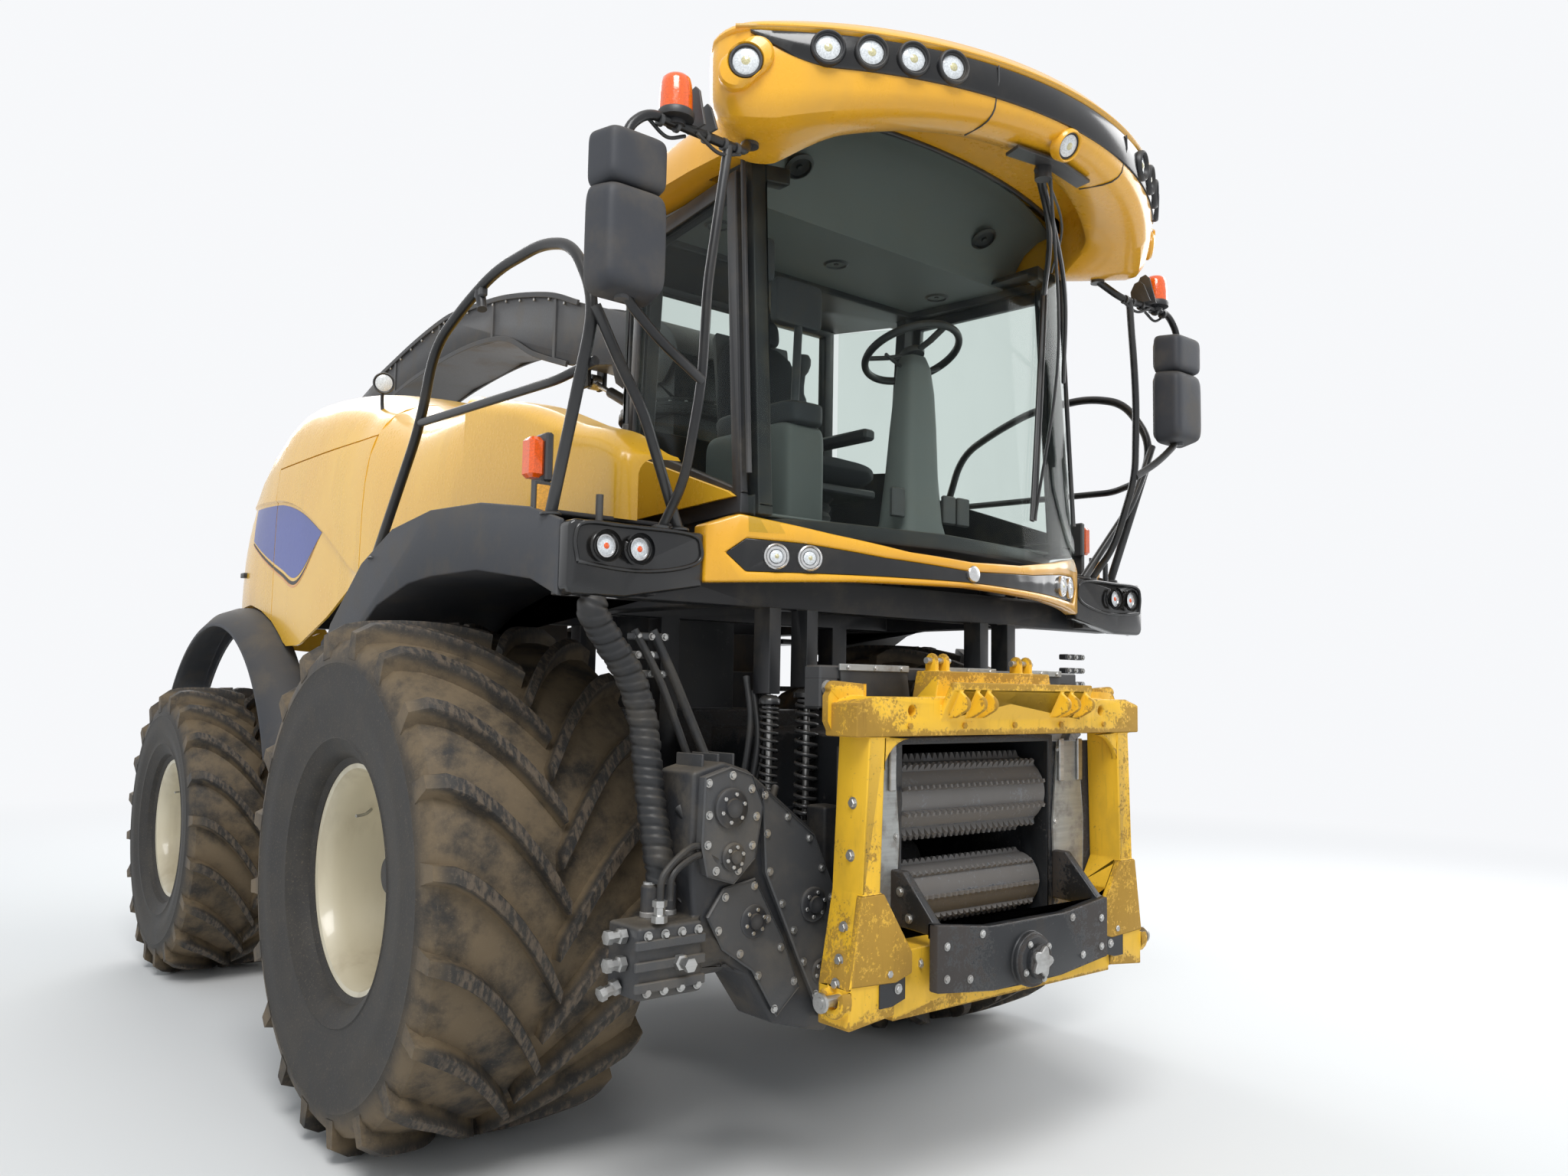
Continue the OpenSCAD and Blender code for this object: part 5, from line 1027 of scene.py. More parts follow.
def through(x: Array, xs: Sequence[float], values: Sequence[float]) -> Array:
    """Cubic curve through given points, with the slope at each from its two neighbours.

    Args:
        x: Where the curve is wanted.
        xs: Places of the given points, rising.
        values: Their values.
    Returns:
        The curve's values.
    """
    xs, values = np.asarray(xs, float), np.asarray(values, float)
    slope = np.gradient(values, xs)
    k = np.clip(np.searchsorted(xs, x) - 1, 0, len(xs) - 2)
    step = xs[k + 1] - xs[k]
    t = (x - xs[k]) / step
    return ((2 * t ** 3 - 3 * t ** 2 + 1) * values[k] + (t ** 3 - 2 * t ** 2 + t) * step * slope[k]
            + (3 * t ** 2 - 2 * t ** 3) * values[k + 1] + (t ** 3 - t ** 2) * step * slope[k + 1])


def ease(x: Any, low: float, high: float) -> Any:
    """Smooth step from 0 at low to 1 at high: 3 t^2 - 2 t^3."""
    t = np.clip((np.asarray(x, float) - low) / (high - low), 0, 1)
    return t * t * (3 - 2 * t)


def sheet_normals(points: Array) -> Array:
    """Unit normals of a grid of points, from the cross product of its two differences."""
    return unit(np.cross(np.gradient(points, axis=0), np.gradient(points, axis=1)))


# Bonnet

@dataclass
class Bonnet:
    """Domed bonnet with its two service doors and the rear hatch, in millimetres from the front axle line.

    At each y the section is |x / W|^n + |(z - floor) / (H - floor)|^n = 1, with the half width W, the
    crown H and the exponent n given along y.
    """

    floor: float = 1840.0
    half: float = 1188.0
    front: float = 190.0
    back: float = 3988.0
    round_from: float = 2600.0
    round_power: float = 3.6
    thick: float = 12.0
    crease: float = 13.0
    door: Tuple[float, float, float] = (1300.0, 2660.0, 2860.0)
    gap: float = 8.0
    bay: Tuple[float, float] = (650.0, 830.0)
    hatch: Tuple[float, float, float] = (3700.0, 3962.0, 640.0)
    crown_y: Tuple[float, ...] = (190, 800, 1500, 2200, 2800, 3300, 3700, 3900, 3962, 3988)
    crown_z: Tuple[float, ...] = (2846, 2915, 3140, 3290, 3285, 3020, 2625, 2260, 2010, 1850)
    power_y: Tuple[float, ...] = (190, 800, 1500, 2600, 3500, 3988)
    power_n: Tuple[float, ...] = (12, 7.5, 5.8, 6.0, 4.6, 3.6)
    low_y: Tuple[float, ...] = (190, 700, 1290, 1750, 2170, 2393, 2500, 2650, 2850, 3061, 3500, 3800, 3988)
    low_z: Tuple[float, ...] = (2300, 2240, 2180, 1980, 1842, 1842, 1911, 1988, 2055, 2096, 2080, 1900, 1842)
    crease_y: Tuple[float, ...] = (190, 1375, 1883, 2200, 2520, 2800, 3988)
    crease_z: Tuple[float, ...] = (1900, 2182, 2438, 2570, 2648, 2672, 2690)
    field_top: Tuple[Tuple[float, ...], ...] = ((1883.0, 2200, 2520, 2800, 3100), (2424.0, 2556, 2634, 2656, 2668))
    field_low: Tuple[Tuple[float, ...], ...] = ((1883.0, 2294, 2500, 2800, 3100), (2424.0, 2211, 2270, 2365, 2478))

    def width(self, y: Array) -> Array:
        """Half width W at y: full up to where the rounding starts, then a superellipse in plan."""
        t = np.clip((y - self.round_from) / (self.back + 2 - self.round_from), 0, 1)
        return self.half * (1 - t ** self.round_power) ** (1 / self.round_power)

    def surface(self, y: Array, angle: Array) -> Array:
        """Points of the dome for each y and each angle from the right flank (0) over the crown to the left (180)."""
        n = np.interp(y, self.power_y, self.power_n)
        crown = through(y, self.crown_y, self.crown_z) - self.floor
        c, s = np.cos(angle), np.sin(angle)
        reach = (np.abs(c) ** n + np.abs(s) ** n) ** (-1 / n)
        return np.stack([-self.width(y) * c * reach, y + 0 * angle, self.floor + crown * s * reach], -1)

    def angle_at(self, y: Array, axis: int, value: Array) -> Array:
        """The angle on the right half at which the dome reaches a given x or z, found in a table for each y."""
        table = np.linspace(1e-4, math.pi / 2, 400)
        rows = self.surface(y[:, None] + 0 * table, 0 * y[:, None] + table)[..., axis]
        goal = np.broadcast_to(value, y.shape)
        return np.array([np.interp(g, row, table) for g, row in zip(goal, rows)])

    def columns(self, y: Array, upper: Array) -> Tuple[Array, Array]:
        """Angles and insets of a flank's columns: the recessed lower field, the crease's ledge and the rest."""
        low = self.angle_at(y, 2, np.interp(y, self.low_y, self.low_z))
        edge = np.clip(self.angle_at(y, 2, through(y, self.crease_y, self.crease_z)), low, upper)
        share = np.linspace(0, 1, 9)[None]
        field_part = low[:, None] + (edge - low)[:, None] * share
        ledge = np.minimum(edge + 0.006, upper)[:, None]
        rest = ledge + (upper[:, None] - ledge) * np.linspace(0, 1, 17)[None] ** 0.9
        depth = self.crease * ease(edge - low, 0.0, 0.05)[:, None]
        inset = np.hstack([depth + 0 * field_part, 0 * rest])
        return np.hstack([field_part, rest]), inset

    def shell(self, form: Form, points: Array, inset: Any = 0.0) -> None:
        """A panel: the grid set in, a copy one thickness further in, and walls round the rim."""
        normal = sheet_normals(points)
        outward = np.sign((normal * (points - [0, 1500, 2000])).sum(-1, keepdims=True))
        normal = normal * np.where(outward == 0, 1, outward)
        outer = mm(points - normal * np.asarray(inset)[..., None])
        inner = mm(points - normal * (np.asarray(inset)[..., None] + self.thick))
        form.sheet(outer, inner)

    def both(self, form: Form, points: Array, inset: Any = 0.0, sides: Sequence[int] = (1, -1)) -> None:
        """A panel of the right half and its mirror image."""
        for side in sides:
            self.shell(form, points * [side, 1, 1], inset)

    def flank(self, form: Form, y: Array, upper: Array, sides: Sequence[int] = (1, -1)) -> None:
        """The flank's panel from its lower edge to an upper angle."""
        angles, inset = self.columns(y, upper)
        self.both(form, self.surface(y[:, None] + 0 * angles, angles), inset, sides)

    def crown(self, form: Form, y: Array, from_angle: Array) -> None:
        """The top between an angle on the right and its mirror image on the left."""
        share = np.linspace(0, 1, 41)[None]
        angles = from_angle[:, None] + (math.pi - 2 * from_angle)[:, None] * share
        self.shell(form, self.surface(y[:, None] + 0 * angles, angles))

    def hatch_angle(self, y: Array) -> Array:
        """Angle of the hatch's right edge, held where the dome becomes narrower than the hatch."""
        y_held = np.minimum(y, 3850.0)
        return np.clip(self.angle_at(y_held, 0, -self.hatch[2]), 0.35, 1.3)

    def rows(self, start: float, end: float, steps: int) -> Array:
        """Stations along y, closer together towards the rear end."""
        share = np.linspace(0, 1, steps + 1)
        bend = (1 - (1 - share) ** 2.2) if end > 3700 else share
        return start + (end - start) * bend

    def fixed_part(self) -> None:
        """Makes what is fixed to the chassis."""
        form = Form()
        first, last, top = self.door
        y = self.rows(self.front, self.bay[1], 10)
        self.flank(form, y, self.angle_at(y, 0, -self.bay[0]))
        y = self.rows(self.bay[1], first, 8)
        self.flank(form, y, 0 * y + math.pi / 2)
        y = self.rows(first, last, 22)
        self.crown(form, y, self.angle_at(y, 2, top))
        y = self.rows(last, self.hatch[0], 20)
        self.flank(form, y, 0 * y + math.pi / 2)
        y = self.rows(self.hatch[0], self.hatch[1], 12)
        self.flank(form, y, self.hatch_angle(y))
        y = self.rows(self.hatch[1], self.back, 4)
        self.flank(form, y, 0 * y + math.pi / 2)
        form.piece("bonnet_shell", (YELLOW,), ("hood",), 30)

    def doors(self) -> None:
        """Makes the two service doors."""
        first, last, top = self.door
        for side, word in ((-1, "left"), (1, "right")):
            form = Form()
            y = self.rows(first + self.gap, last - self.gap, 24)
            self.flank(form, y, self.angle_at(y, 2, top - self.gap), (side,))
            form.piece(f"service_door_{word}_panel", (YELLOW,), (f"service_door_{word}",), 30,
                       body=f"service_door_{word}")

    def grille(self) -> None:
        """Makes the rear hatch: its panel and the slats of the air intake."""
        form = Form()
        y = self.rows(self.hatch[0] + self.gap, self.hatch[1] - self.gap, 12)
        edge = self.hatch_angle(y) + 0.012
        share = np.linspace(0, 1, 33)[None]
        angles = edge[:, None] + (math.pi - 2 * edge)[:, None] * share
        self.shell(form, self.surface(y[:, None] + 0 * angles, angles), 4.0)
        for station in np.linspace(self.hatch[0] + 40, self.hatch[1] - 22, 11):
            one = np.array([station])
            edge = float(self.hatch_angle(one)[0]) + 0.06
            turn = np.linspace(edge, math.pi - edge, 40)
            path = self.surface(0 * turn + station, turn) + [0, 4, 4]
            form.tube(mm(path), 1.0, section=rounded_rect(0.030, 0.016, 0.004, 2))
        form.piece("rear_hatch_grille", (BLACK,), ("rear_door",), body="rear_door")

    def side_x(self, y: Array, z: Array, inset: float) -> Array:
        """x of the right flank at y and z: -W (1 - ((z - floor) / (H - floor))^n)^(1/n), set in."""
        n = np.interp(y, self.power_y, self.power_n)
        crown = through(y, self.crown_y, self.crown_z) - self.floor
        return -(self.width(y) * (1 - np.clip((z - self.floor) / crown, 0, 1) ** n) ** (1 / n) - inset)

    def patch(self) -> None:
        """Makes the blue field below the crease with the dark and orange lines at its lower edge."""
        form = Form()
        y = np.linspace(2660.0, 3100.0, 24)
        top, low = through(y, *self.field_top), through(y, *self.field_low)
        for sheet, mark in self.field(y, top, low):
            for side in (1, -1):
                form.grid(mm(sheet * [side, 1, 1]), mark)
        form.piece("flank_field", (BLUE, BLACK, ORANGE_LINE), sharp=30)
        y = np.linspace(1884.0, 2652.0, 40)
        self.door_patch(y, through(y, *self.field_top), through(y, *self.field_low))

    def field(self, y: Array, top: Array, low: Array) -> List[Tuple[Array, int]]:
        """The coloured field and its two lines as thin grids on the flank."""
        sheets = []
        for start, end, mark in ((0.0, 1.0, 0), (-0.10, -0.05, 1), (-0.14, -0.11, 2)):
            t = np.linspace(start, end, 12 if mark == 0 else 3)[None]
            z = low[:, None] + (top - low)[:, None] * t
            x = self.side_x(y[:, None] + 0 * z, z, self.crease) - 1.2
            sheets.append((np.stack([x, y[:, None] + 0 * z, z], -1), mark))
        return sheets

    def door_patch(self, y: Array, top: Array, low: Array) -> None:
        """Makes the part of the blue field that lies on each service door."""
        for side, word in ((1, "right"), (-1, "left")):
            form = Form()
            for sheet, mark in self.field(y, top, low):
                form.grid(mm(sheet * [side, 1, 1]), mark)
            form.piece(f"door_field_{word}", (BLUE, BLACK, ORANGE_LINE), sharp=30,
                       body=f"service_door_{word}")

    def lamps(self) -> None:
        """Makes the tail lamps and the work lamp on its stalk."""
        form = Form()
        for x, z, mark in ((905.0, 1925.0, 1), (800.0, 1925.0, 2)):
            angle = np.linspace(2600, self.back - 2, 400)
            y = float(np.interp(-x, -self.width(angle), angle))
            axis = unit(np.array([x * 0.9, 620.0, 0.0]))
            for side in (1, -1):
                place = [side * x, y - 22, z]
                turn = tuple(axis * [side, 1, 1])
                form.turned([[0, 0], [52, 0], [52, 30], [48, 34], [44, 30], [0, 30]], place, turn, 32, 0)
                form.turned([[43, 29], [36, 37], [20, 41], [0.1, 42]], place, turn, 32, mark)
        form.piece("tail_lamps", (BLACK, RED_LENS, AMBER))
        form = Form()
        foot = np.array([-1010.0, 1560.0, 3040.0])
        form.pipe([tuple(foot), (-1015, 1560, 3090), (-1020, 1545, 3150)], 0.009, 5, 10, 0)
        centre = (-1020, 1540, 3175)
        form.turned([[0, 0], [34, 0], [50, 12], [54, 40], [50, 48], [44, 44], [0, 44]], centre, (-0.3, -0.95, -0.15),
                    32, 0)
        form.turned([[44, 43], [30, 50], [0.1, 52]], centre, (-0.3, -0.95, -0.15), 32, 1)
        form.piece("bonnet_work_lamp", (BLACK, WHITE_LENS))

    def build(self) -> None:
        """Makes the whole bonnet."""
        self.fixed_part()
        self.doors()
        self.grille()
        self.patch()
        self.lamps()


# Fairing beside the cab

@dataclass
class Fairing:
    """Yellow side panel ahead of the bonnet and the skin below the side window, on the right of the machine.

    The panel is a profile of (x, z) that turns in at the top and at its front end, carried along y.
    """

    outer: float = 1192.0
    thick: float = 12.0
    top_y: Tuple[float, ...] = (-1020, -985, -646, -322, 60, 184)
    top_z: Tuple[float, ...] = (2440, 2470, 2604, 2722, 2816, 2846)
    low_y: Tuple[float, ...] = (-1020, -983, -629, -222, 130, 184)
    low_z: Tuple[float, ...] = (2210, 2216, 2268, 2284, 2247, 2236)

    def panel(self) -> None:
        """Makes the panel: for each y, a wall, a quarter round of radius 70 and a top that runs inwards."""
        form = Form()
        y = np.concatenate([-1020 + 60 * (1 - np.cos(np.linspace(0, math.pi / 2, 8))), np.linspace(-930, 184, 22)])
        top, low = through(y, self.top_y, self.top_z), through(y, self.low_y, self.low_z)
        front = np.where(y < -960, 60 - np.sqrt(np.clip(60 ** 2 - (-960 - y) ** 2, 0, None)), 0)
        radius, t = 70.0, np.linspace(0, 1, 8)
        wall = np.stack([np.full((len(y), 10), -self.outer), low[:, None] + (top - radius - low)[:, None]
                         * np.linspace(0, 1, 10)[None]], -1)
        bend = np.stack([-self.outer + radius * (1 - np.cos(t * math.pi / 2))[None] + 0 * top[:, None],
                         top[:, None] - radius + radius * np.sin(t * math.pi / 2)[None]], -1)
        deck = np.stack([-self.outer + radius + 100 * t[None] + 0 * top[:, None], top[:, None] + 6 * t[None]], -1)
        both = np.concatenate([wall, bend[:, 1:], deck[:, 1:]], 1)
        points = np.stack([both[..., 0] + front[:, None], np.broadcast_to(y[:, None], both.shape[:2]), both[..., 1]],
                          -1)
        inner = points + [self.thick, 0, 0]
        inner[:, 10:, 2] -= self.thick
        form.sheet(mm(points), mm(inner))
        form.piece("fairing_panel", (YELLOW,), ("cab_side_panels",), 30)

    def skin(self) -> None:
        """Makes the triangular skin on the cab's side, along a line from (900, -1313) that leans in by 7.24 degrees."""
        lean = math.radians(7.24)
        form = Form()
        form.prism(np.array([(40, 2290), (912, 2290), (892, 2570), (80, 2312)]), 1.0, 15.0,
                   lambda a, b, c: mm(np.stack([-(900 - a * math.sin(lean) + c * math.cos(lean)),
                                                -1313 + a * math.cos(lean) + c * math.sin(lean), b], -1)), 3.0)
        form.piece("cab_side_skin", (YELLOW,), sharp=30)

    def build(self) -> None:
        """Makes the fairing."""
        self.panel()
        self.skin()


# Lamps

# The y of the visor's centre of curvature, in millimetres.
VISOR_CENTRE = -306.0


def round_lamp(form: Form, place: Point, axis: Point, radius: float, marks: Tuple[int, int, int],
               depth: float = 0.012, ring: float = 0.16) -> None:
    """A round lamp: a rolled ring, a reflector bowl behind it and a domed lens with a chip in its middle.

    Args:
        form: The piece that it becomes part of.
        place: Middle of the lamp's mouth, in millimetres.
        axis: Where it looks.
        radius: Radius over the ring, in metres.
        marks: Material numbers of ring, lens and inner chip.
        depth: How far the lens lies behind the ring.
        ring: Width of the ring as a share of the radius.
    """
    centre, r, w = mm(place), radius, radius * ring
    lens = r - w * 1.15
    for profile, sides, mark in (
            ([[r, -0.02], [r, -0.004], [r - w * 0.25, 0.0], [r - w * 0.75, 0.0], [r - w, -0.004], [lens, -depth]],
             40, marks[0]),
            ([[lens, -depth], [lens * 0.75, -depth + 0.004], [lens * 0.4, -depth + 0.006],
              [lens * 0.34, -depth + 0.0062]], 40, marks[1]),
            ([[lens * 0.34, -depth + 0.0062], [lens * 0.2, -depth + 0.009], [0.0001, -depth + 0.010]], 24, marks[2])):
        form.lathe(np.array(profile), centre, axis, sides, mark)


def visor_spot(angle: Any, radius: Any, z: Any) -> Array:
    """Points (r sin a, -306 - r cos a, z) at angles a in degrees from straight ahead, in millimetres."""
    a = np.radians(angle)
    return np.stack([radius * np.sin(a), VISOR_CENTRE - radius * np.cos(a), z + 0 * a], -1)


@dataclass
class Visor:
    """Roof visor's fittings: the round lamps of the dark lamp band, their trim and the wipers' arm.

    For an angle a from straight ahead, the section is drawn in (radius, z) and set at (r sin a, centre - r cos a).
    """

    reach: float = 1660.0
    middle_z: float = 3651.0
    lamp_angles: Tuple[float, ...] = (18.6, 23.4, 28.2, 33.0)

    def build(self) -> None:
        """Makes the lamps, the trim and the wipers."""
        self.lamps()
        self.wipers()

    def lamps(self) -> None:
        """The lamp band's lamps, the end lamps on their bezels, the lamp below the band and the thin trim lines."""
        form = Form()
        for side in (1, -1):
            for angle in self.lamp_angles:
                place = visor_spot(side * angle, self.reach + 11.0, self.middle_z)
                axis = (math.sin(math.radians(side * angle)), -math.cos(math.radians(side * angle)), -0.05)
                form.turned([[57, -30], [57, -3], [54, 5], [50, 8], [46, 4], [44, -6]], place, axis, 40, 0)
                round_lamp(form, place, axis, 0.046, (0, 1, 2), 0.008, 0.12)
            angle = side * 41.8
            place = visor_spot(angle, self.reach + 14.0, 3596.0)
            axis = (math.sin(math.radians(angle)), -math.cos(math.radians(angle)), -0.08)
            w = unit(np.array(axis))
            u = unit(np.cross([0, 0, 1.0], w))
            v = np.cross(w, u)
            bend = np.radians(np.linspace(0, 360, 49)[:-1])
            lobe = 78 + 20 * np.cos(2 * (bend - math.radians(40)))
            rims = [(lobe, -46.0), (lobe, -14.0), (lobe - 8, -4.0), (lobe * 0 + 58, 2.0), (lobe * 0 + 54, -6.0)]
            rings = np.stack([mm(place) + (reach * np.cos(bend))[:, None] / 1000 * u + (reach * np.sin(bend))[:, None]
                              / 1000 * v + deep / 1000 * w for reach, deep in rims])
            form.grid(rings, 3, wrap_columns=True)
            round_lamp(form, place, axis, 0.054, (0, 1, 2), 0.008, 0.2)
        place = visor_spot(0.0, 1634.0, 3540.0)
        form.turned([[58, -30], [56, 0], [50, 8], [46, 4], [44, -8]], place, (0.0, -0.82, -0.57), 40, 3)
        round_lamp(form, place, (0.0, -0.82, -0.57), 0.045, (0, 1, 2), 0.002, 0.14)
        form.piece("visor_lamps", (BLACK, WHITE_LENS, CHIP, DEEP_YELLOW))
        trim = Form()
        angle = np.linspace(-43.0, 43.0, 121)
        trim.tube(mm(visor_spot(angle, 1656.0, 3718.0)), 0.007, 8)
        for x in (-361.0, 361.0):
            a = math.degrees(math.asin(x / self.reach))
            trim.tube(mm(visor_spot(np.full(8, a), np.array([1664, 1665, 1650, 1644, 1631, 1606, 1570, 1480.0]),
                                   np.array([3700, 3650, 3592, 3565, 3550, 3538, 3535, 3542.0]))), 0.003, 6, 1)
        trim.piece("visor_trim", (GOLD, BLACK), sharp=60)

    def wipers(self) -> None:
        """The wiper's carrier below the visor with its arms, blades and washer hoses."""
        form = Form()
        plate = np.array([(-130, -1770), (-150, -1840), (60, -1868), (265, -1838), (272, -1775), (60, -1800)], float)
        form.prism(plate, 3522.0, 3536.0, lying, 3.0, 0)
        form.box([-60, -1830, 3536], [120, -1770, 3566], 0.008)
        form.turned([[0, 0], [30, 0], [30, 46], [22, 56], [0, 56]], [40, -1800, 3478], UP, 24, 0)
        goals = ((600, 3300, 0.011), (760, 2960, 0.009), (690, 3420, 0.005), (412, 2330, 0.006))
        for k, (x, z, r) in enumerate(goals):
            top = np.array([10 + 26.0 * k, -1796, 3506.0])
            low = np.array([x, float(self.glass_y(x, z)) - 34, z], float)
            middle = top * 0.5 + low * 0.5 + [14 * k, -40, 0]
            form.pipe([tuple(top), tuple(middle), tuple(low)], r, 10, 8, 0)
        x = np.linspace(640, 430, 24)
        z = np.linspace(3330, 2330, 24)
        blade = np.stack([x, self.glass_y(x, z) - 9, z], -1)
        form.tube(mm(blade), 1.0, section=rounded_rect(0.012, 0.022, 0.003, 1))
        form.tube(mm(blade + [0, -18, 0]), 0.005, 6)
        form.piece("windscreen_wiper", (TUBE_BLACK,), sharp=40)

    @staticmethod
    def glass_y(x: Any, z: Any) -> Any:
        """y of the windscreen's outer face at x and z: a round sheet of radius 2508.6 leaning back by 3.5 degrees."""
        return -1480 + 2508.6 - np.sqrt(2508.6 ** 2 - np.asarray(x, float) ** 2) + (np.asarray(z, float) - 2240) \
            * math.tan(math.radians(3.5))


# Rails, mirrors and marker lamps

def rounded_body(form: Form, centre: Point, size: Point, power: float = 0.35, steps: int = 18, mark: int = 0,
                 taper: float = 0.0) -> None:
    """A box with soft corners: half size times sgn(c)|c|^p and sgn(s)|s|^p of two angles, as a superellipsoid.

    Args:
        form: The piece that it becomes part of.
        centre: Middle, in millimetres.
        size: Whole size along X, Y and Z, in metres.
        power: Exponent, from 0 for a sharp box to 1 for an ellipsoid.
        steps: Steps of the angle over each quarter turn, halved.
        mark: Material number.
        taper: How much narrower the body is at its front than at its back.
    """
    u = np.linspace(-math.pi / 2, math.pi / 2, 2 * steps + 1)[:, None]
    v = np.linspace(-math.pi, math.pi, 4 * steps, endpoint=False)[None]

    def bend(value: Array) -> Array:
        """Signed power."""
        return np.sign(value) * np.abs(value) ** power

    x = bend(np.cos(u)) * bend(np.cos(v))
    z = bend(np.cos(u)) * bend(np.sin(v))
    y = bend(np.sin(u)) + 0 * v
    narrow = 1 + taper * 0.5 * y
    points = np.stack([x * narrow, y, z * narrow], -1) * (np.asarray(size) / 2) + mm(centre)
    form.grid(points, mark, wrap_columns=True)


@dataclass
class Railing:
    """Handrails on both fenders, with the small lamp at the top of the right one."""

    x: float = 1479.0
    radius: float = 0.019

    def build(self) -> None:
        """Makes the rails from their corner points."""
        form = Form()
        main = [(330, 2158), (-48, 2627), (-157, 2915), (-410, 3015), (-645, 3079), (-970, 3082), (-1169, 3025),
                (-1319, 2807), (-1085, 2190)]
        path = rounded_path([mm([self.x, y, z]) for y, z in main], 0.12, 8)
        form.tube(path, self.radius, 16)
        form.tube(rounded_path([mm([self.x, -60, 2640]), mm([self.x, -1100, 2608]),
                                mm([self.x - 30, -1275, 2640])], 0.05), 0.0155, 14)
        brace = [(self.x, -1314, 2795), (1392, -1316, 2640), (1300, -1316, 2500), (1090, -1215, 2170)]
        form.tube(rounded_path([mm(p) for p in brace], 0.06, 6), 0.017, 14)
        for foot in ((self.x, 330, 2150), (self.x, -1083, 2186), (1086, -1213, 2164)):
            form.turned([[0, 0], [34, 0], [34, 6], [26, 10], [0, 10]], np.array(foot) - [0, 0, 2], UP, 20)
        form.mirrored()
        form.piece("handrail_tubes", (TUBE_BLACK,), ("handrails",), 50)
        lamp = Form()
        lamp.box([-self.x - 14, -560, 3010], [-self.x + 14, -500, 3055], 0.006)
        lamp.pipe([(-self.x, -520, 3040), (-self.x + 2, -535, 2990), (-self.x, -545, 2965)], 0.018, 4, 12)
        lamp.piece("rail_lamp", (BLACK,), sharp=40)


@dataclass
class Mirrors:
    """Mirror arms with two heads on each side, the beacons, the corner markers and their amber plates."""

    x: float = 1470.0
    y: float = -1450.0

    def arms(self) -> None:
        """Makes the two bent tubes of each side."""
        form = Form()
        outer = [(970, -1384, 3434), (1035, self.y, 3362), (1400, self.y, 3372), (1474, self.y, 3300),
                 (1475, self.y, 2800), (1330, -1440, 2690), (1163, -1430, 2600)]
        form.tube(rounded_path([mm(p) for p in outer], 0.07, 7), 0.0155, 14)
        inner = [(1098, self.y, 3360), (1140, -1446, 3050), (1158, -1440, 2900), (1163, -1430, 2600),
                 (1150, -1330, 2300), (1150, -1206, 2160)]
        form.tube(rounded_path([mm(p) for p in inner], 0.09, 7), 0.0155, 14)
        for p in ((1150, -1206, 2158), (960, -1384, 3425)):
            form.turned([[0, 0], [30, 0], [30, 12], [20, 16], [0, 16]], p, UP, 20)
        for p, q in (((1390, self.y + 16, 3362), (1250, self.y + 20, 3352)),
                     ((1230, self.y - 16, 3356), (1050, self.y, 3350))):
            sag = (np.array(p, float) + q) / 2 - [0, 0, 30]
            form.pipe([p, tuple(sag), q], 0.006, 8, 8)
        for x in (1060, 1110, 1180, 1290, 1350):
            form.tube(mm([[x, self.y, 3362], [x + 12, self.y, 3362]]), 0.020, 12)
        form.mirrored()
        form.piece("mirror_arms", (TUBE_BLACK,), ("mirrors",), 50)

    def heads(self) -> None:
        """Makes the shells of the heads and the reflecting faces on their rear sides."""
        form = Form()
        for z, width, height in ((3188, 214, 172), (2950, 222, 322)):
            rounded_body(form, [self.x - 6, self.y - 8, z], (width / 1000, 0.128, height / 1000), 0.30,
                         taper=0.16)
            face = rounded_rect(width / 1000 - 0.03, height / 1000 - 0.03, 0.03, 5)
            centre = mm([self.x - 6, self.y + 57, z])
            form.prism(face, 0.0, 0.004, lambda a, b, c: centre + np.stack([a, c, b], 1), 0.001, 1)
        for low, high in ((3100, 3112), (2780, 2795)):
            form.turned([[0, 0], [22, 0], [22, high - low], [0, high - low]], [self.x + 4, self.y, low], UP, 20)
        form.mirrored()
        form.piece("mirror_heads", (GREY_MOULD, BRIGHT), sharp=40)

    def beacons(self) -> None:
        """Makes the beacons with their feet and the two fins beside each."""
        form = Form()
        place = [1300, self.y, 3360]
        form.turned([[0, 0], [30, 0], [30, 14], [56, 20], [58, 34], [54, 44], [0, 44]], place, UP, 40, 0)
        form.turned([[52, 43], [51, 90], [48, 128], [44, 146], [34, 156], [16, 160], [0.1, 161]], place, UP, 40, 1)
        for x, top in ((1226, 3512), (1180, 3472)):
            outline = np.array([(-52, 3372), (40, 3372), (46, top - 40), (26, top - 6), (0, top),
                                (-20, top - 20)]) / 1000
            form.prism(outline, x / 1000 - 0.004, x / 1000 + 0.004,
                       lambda a, b, c: np.stack([c, a + self.y / 1000 - MIDDLE, b], 1), 0.001, 0)
        form.mirrored()
        form.piece("beacons", (BLACK, AMBER), sharp=40)

    def markers(self) -> None:
        """Makes the corner marker lamps on their posts and the amber plates below them."""
        form = Form()
        form.box([1430, -960, 2150], [1454, -900, 2330], 0.004)
        form.box([1412, -972, 2310], [1440, -892, 2470], 0.006)
        form.box([1440, -968, 2320], [1492, -898, 2452], 0.014, 1)
        form.box([1424, -1012, 2060], [1498, -1004, 2300], 0.003)
        form.box([1431, -1018, 2072], [1491, -1011, 2288], 0.003, 2)
        form.pipe([(1460, -1000, 2080), (1466, -1030, 2020), (1478, -1010, 1985)], 0.006, 6, 8, 0)
        form.tube(mm([[1345, -1150, 2160], [1345, -1150, 2256]]), 0.012, 12, 0)
        form.mirrored()
        form.piece("corner_markers", (BLACK, AMBER, AMBER_PLATE), sharp=40)

    def build(self) -> None:
        """Makes all of them."""
        self.arms()
        self.heads()
        self.beacons()
        self.markers()


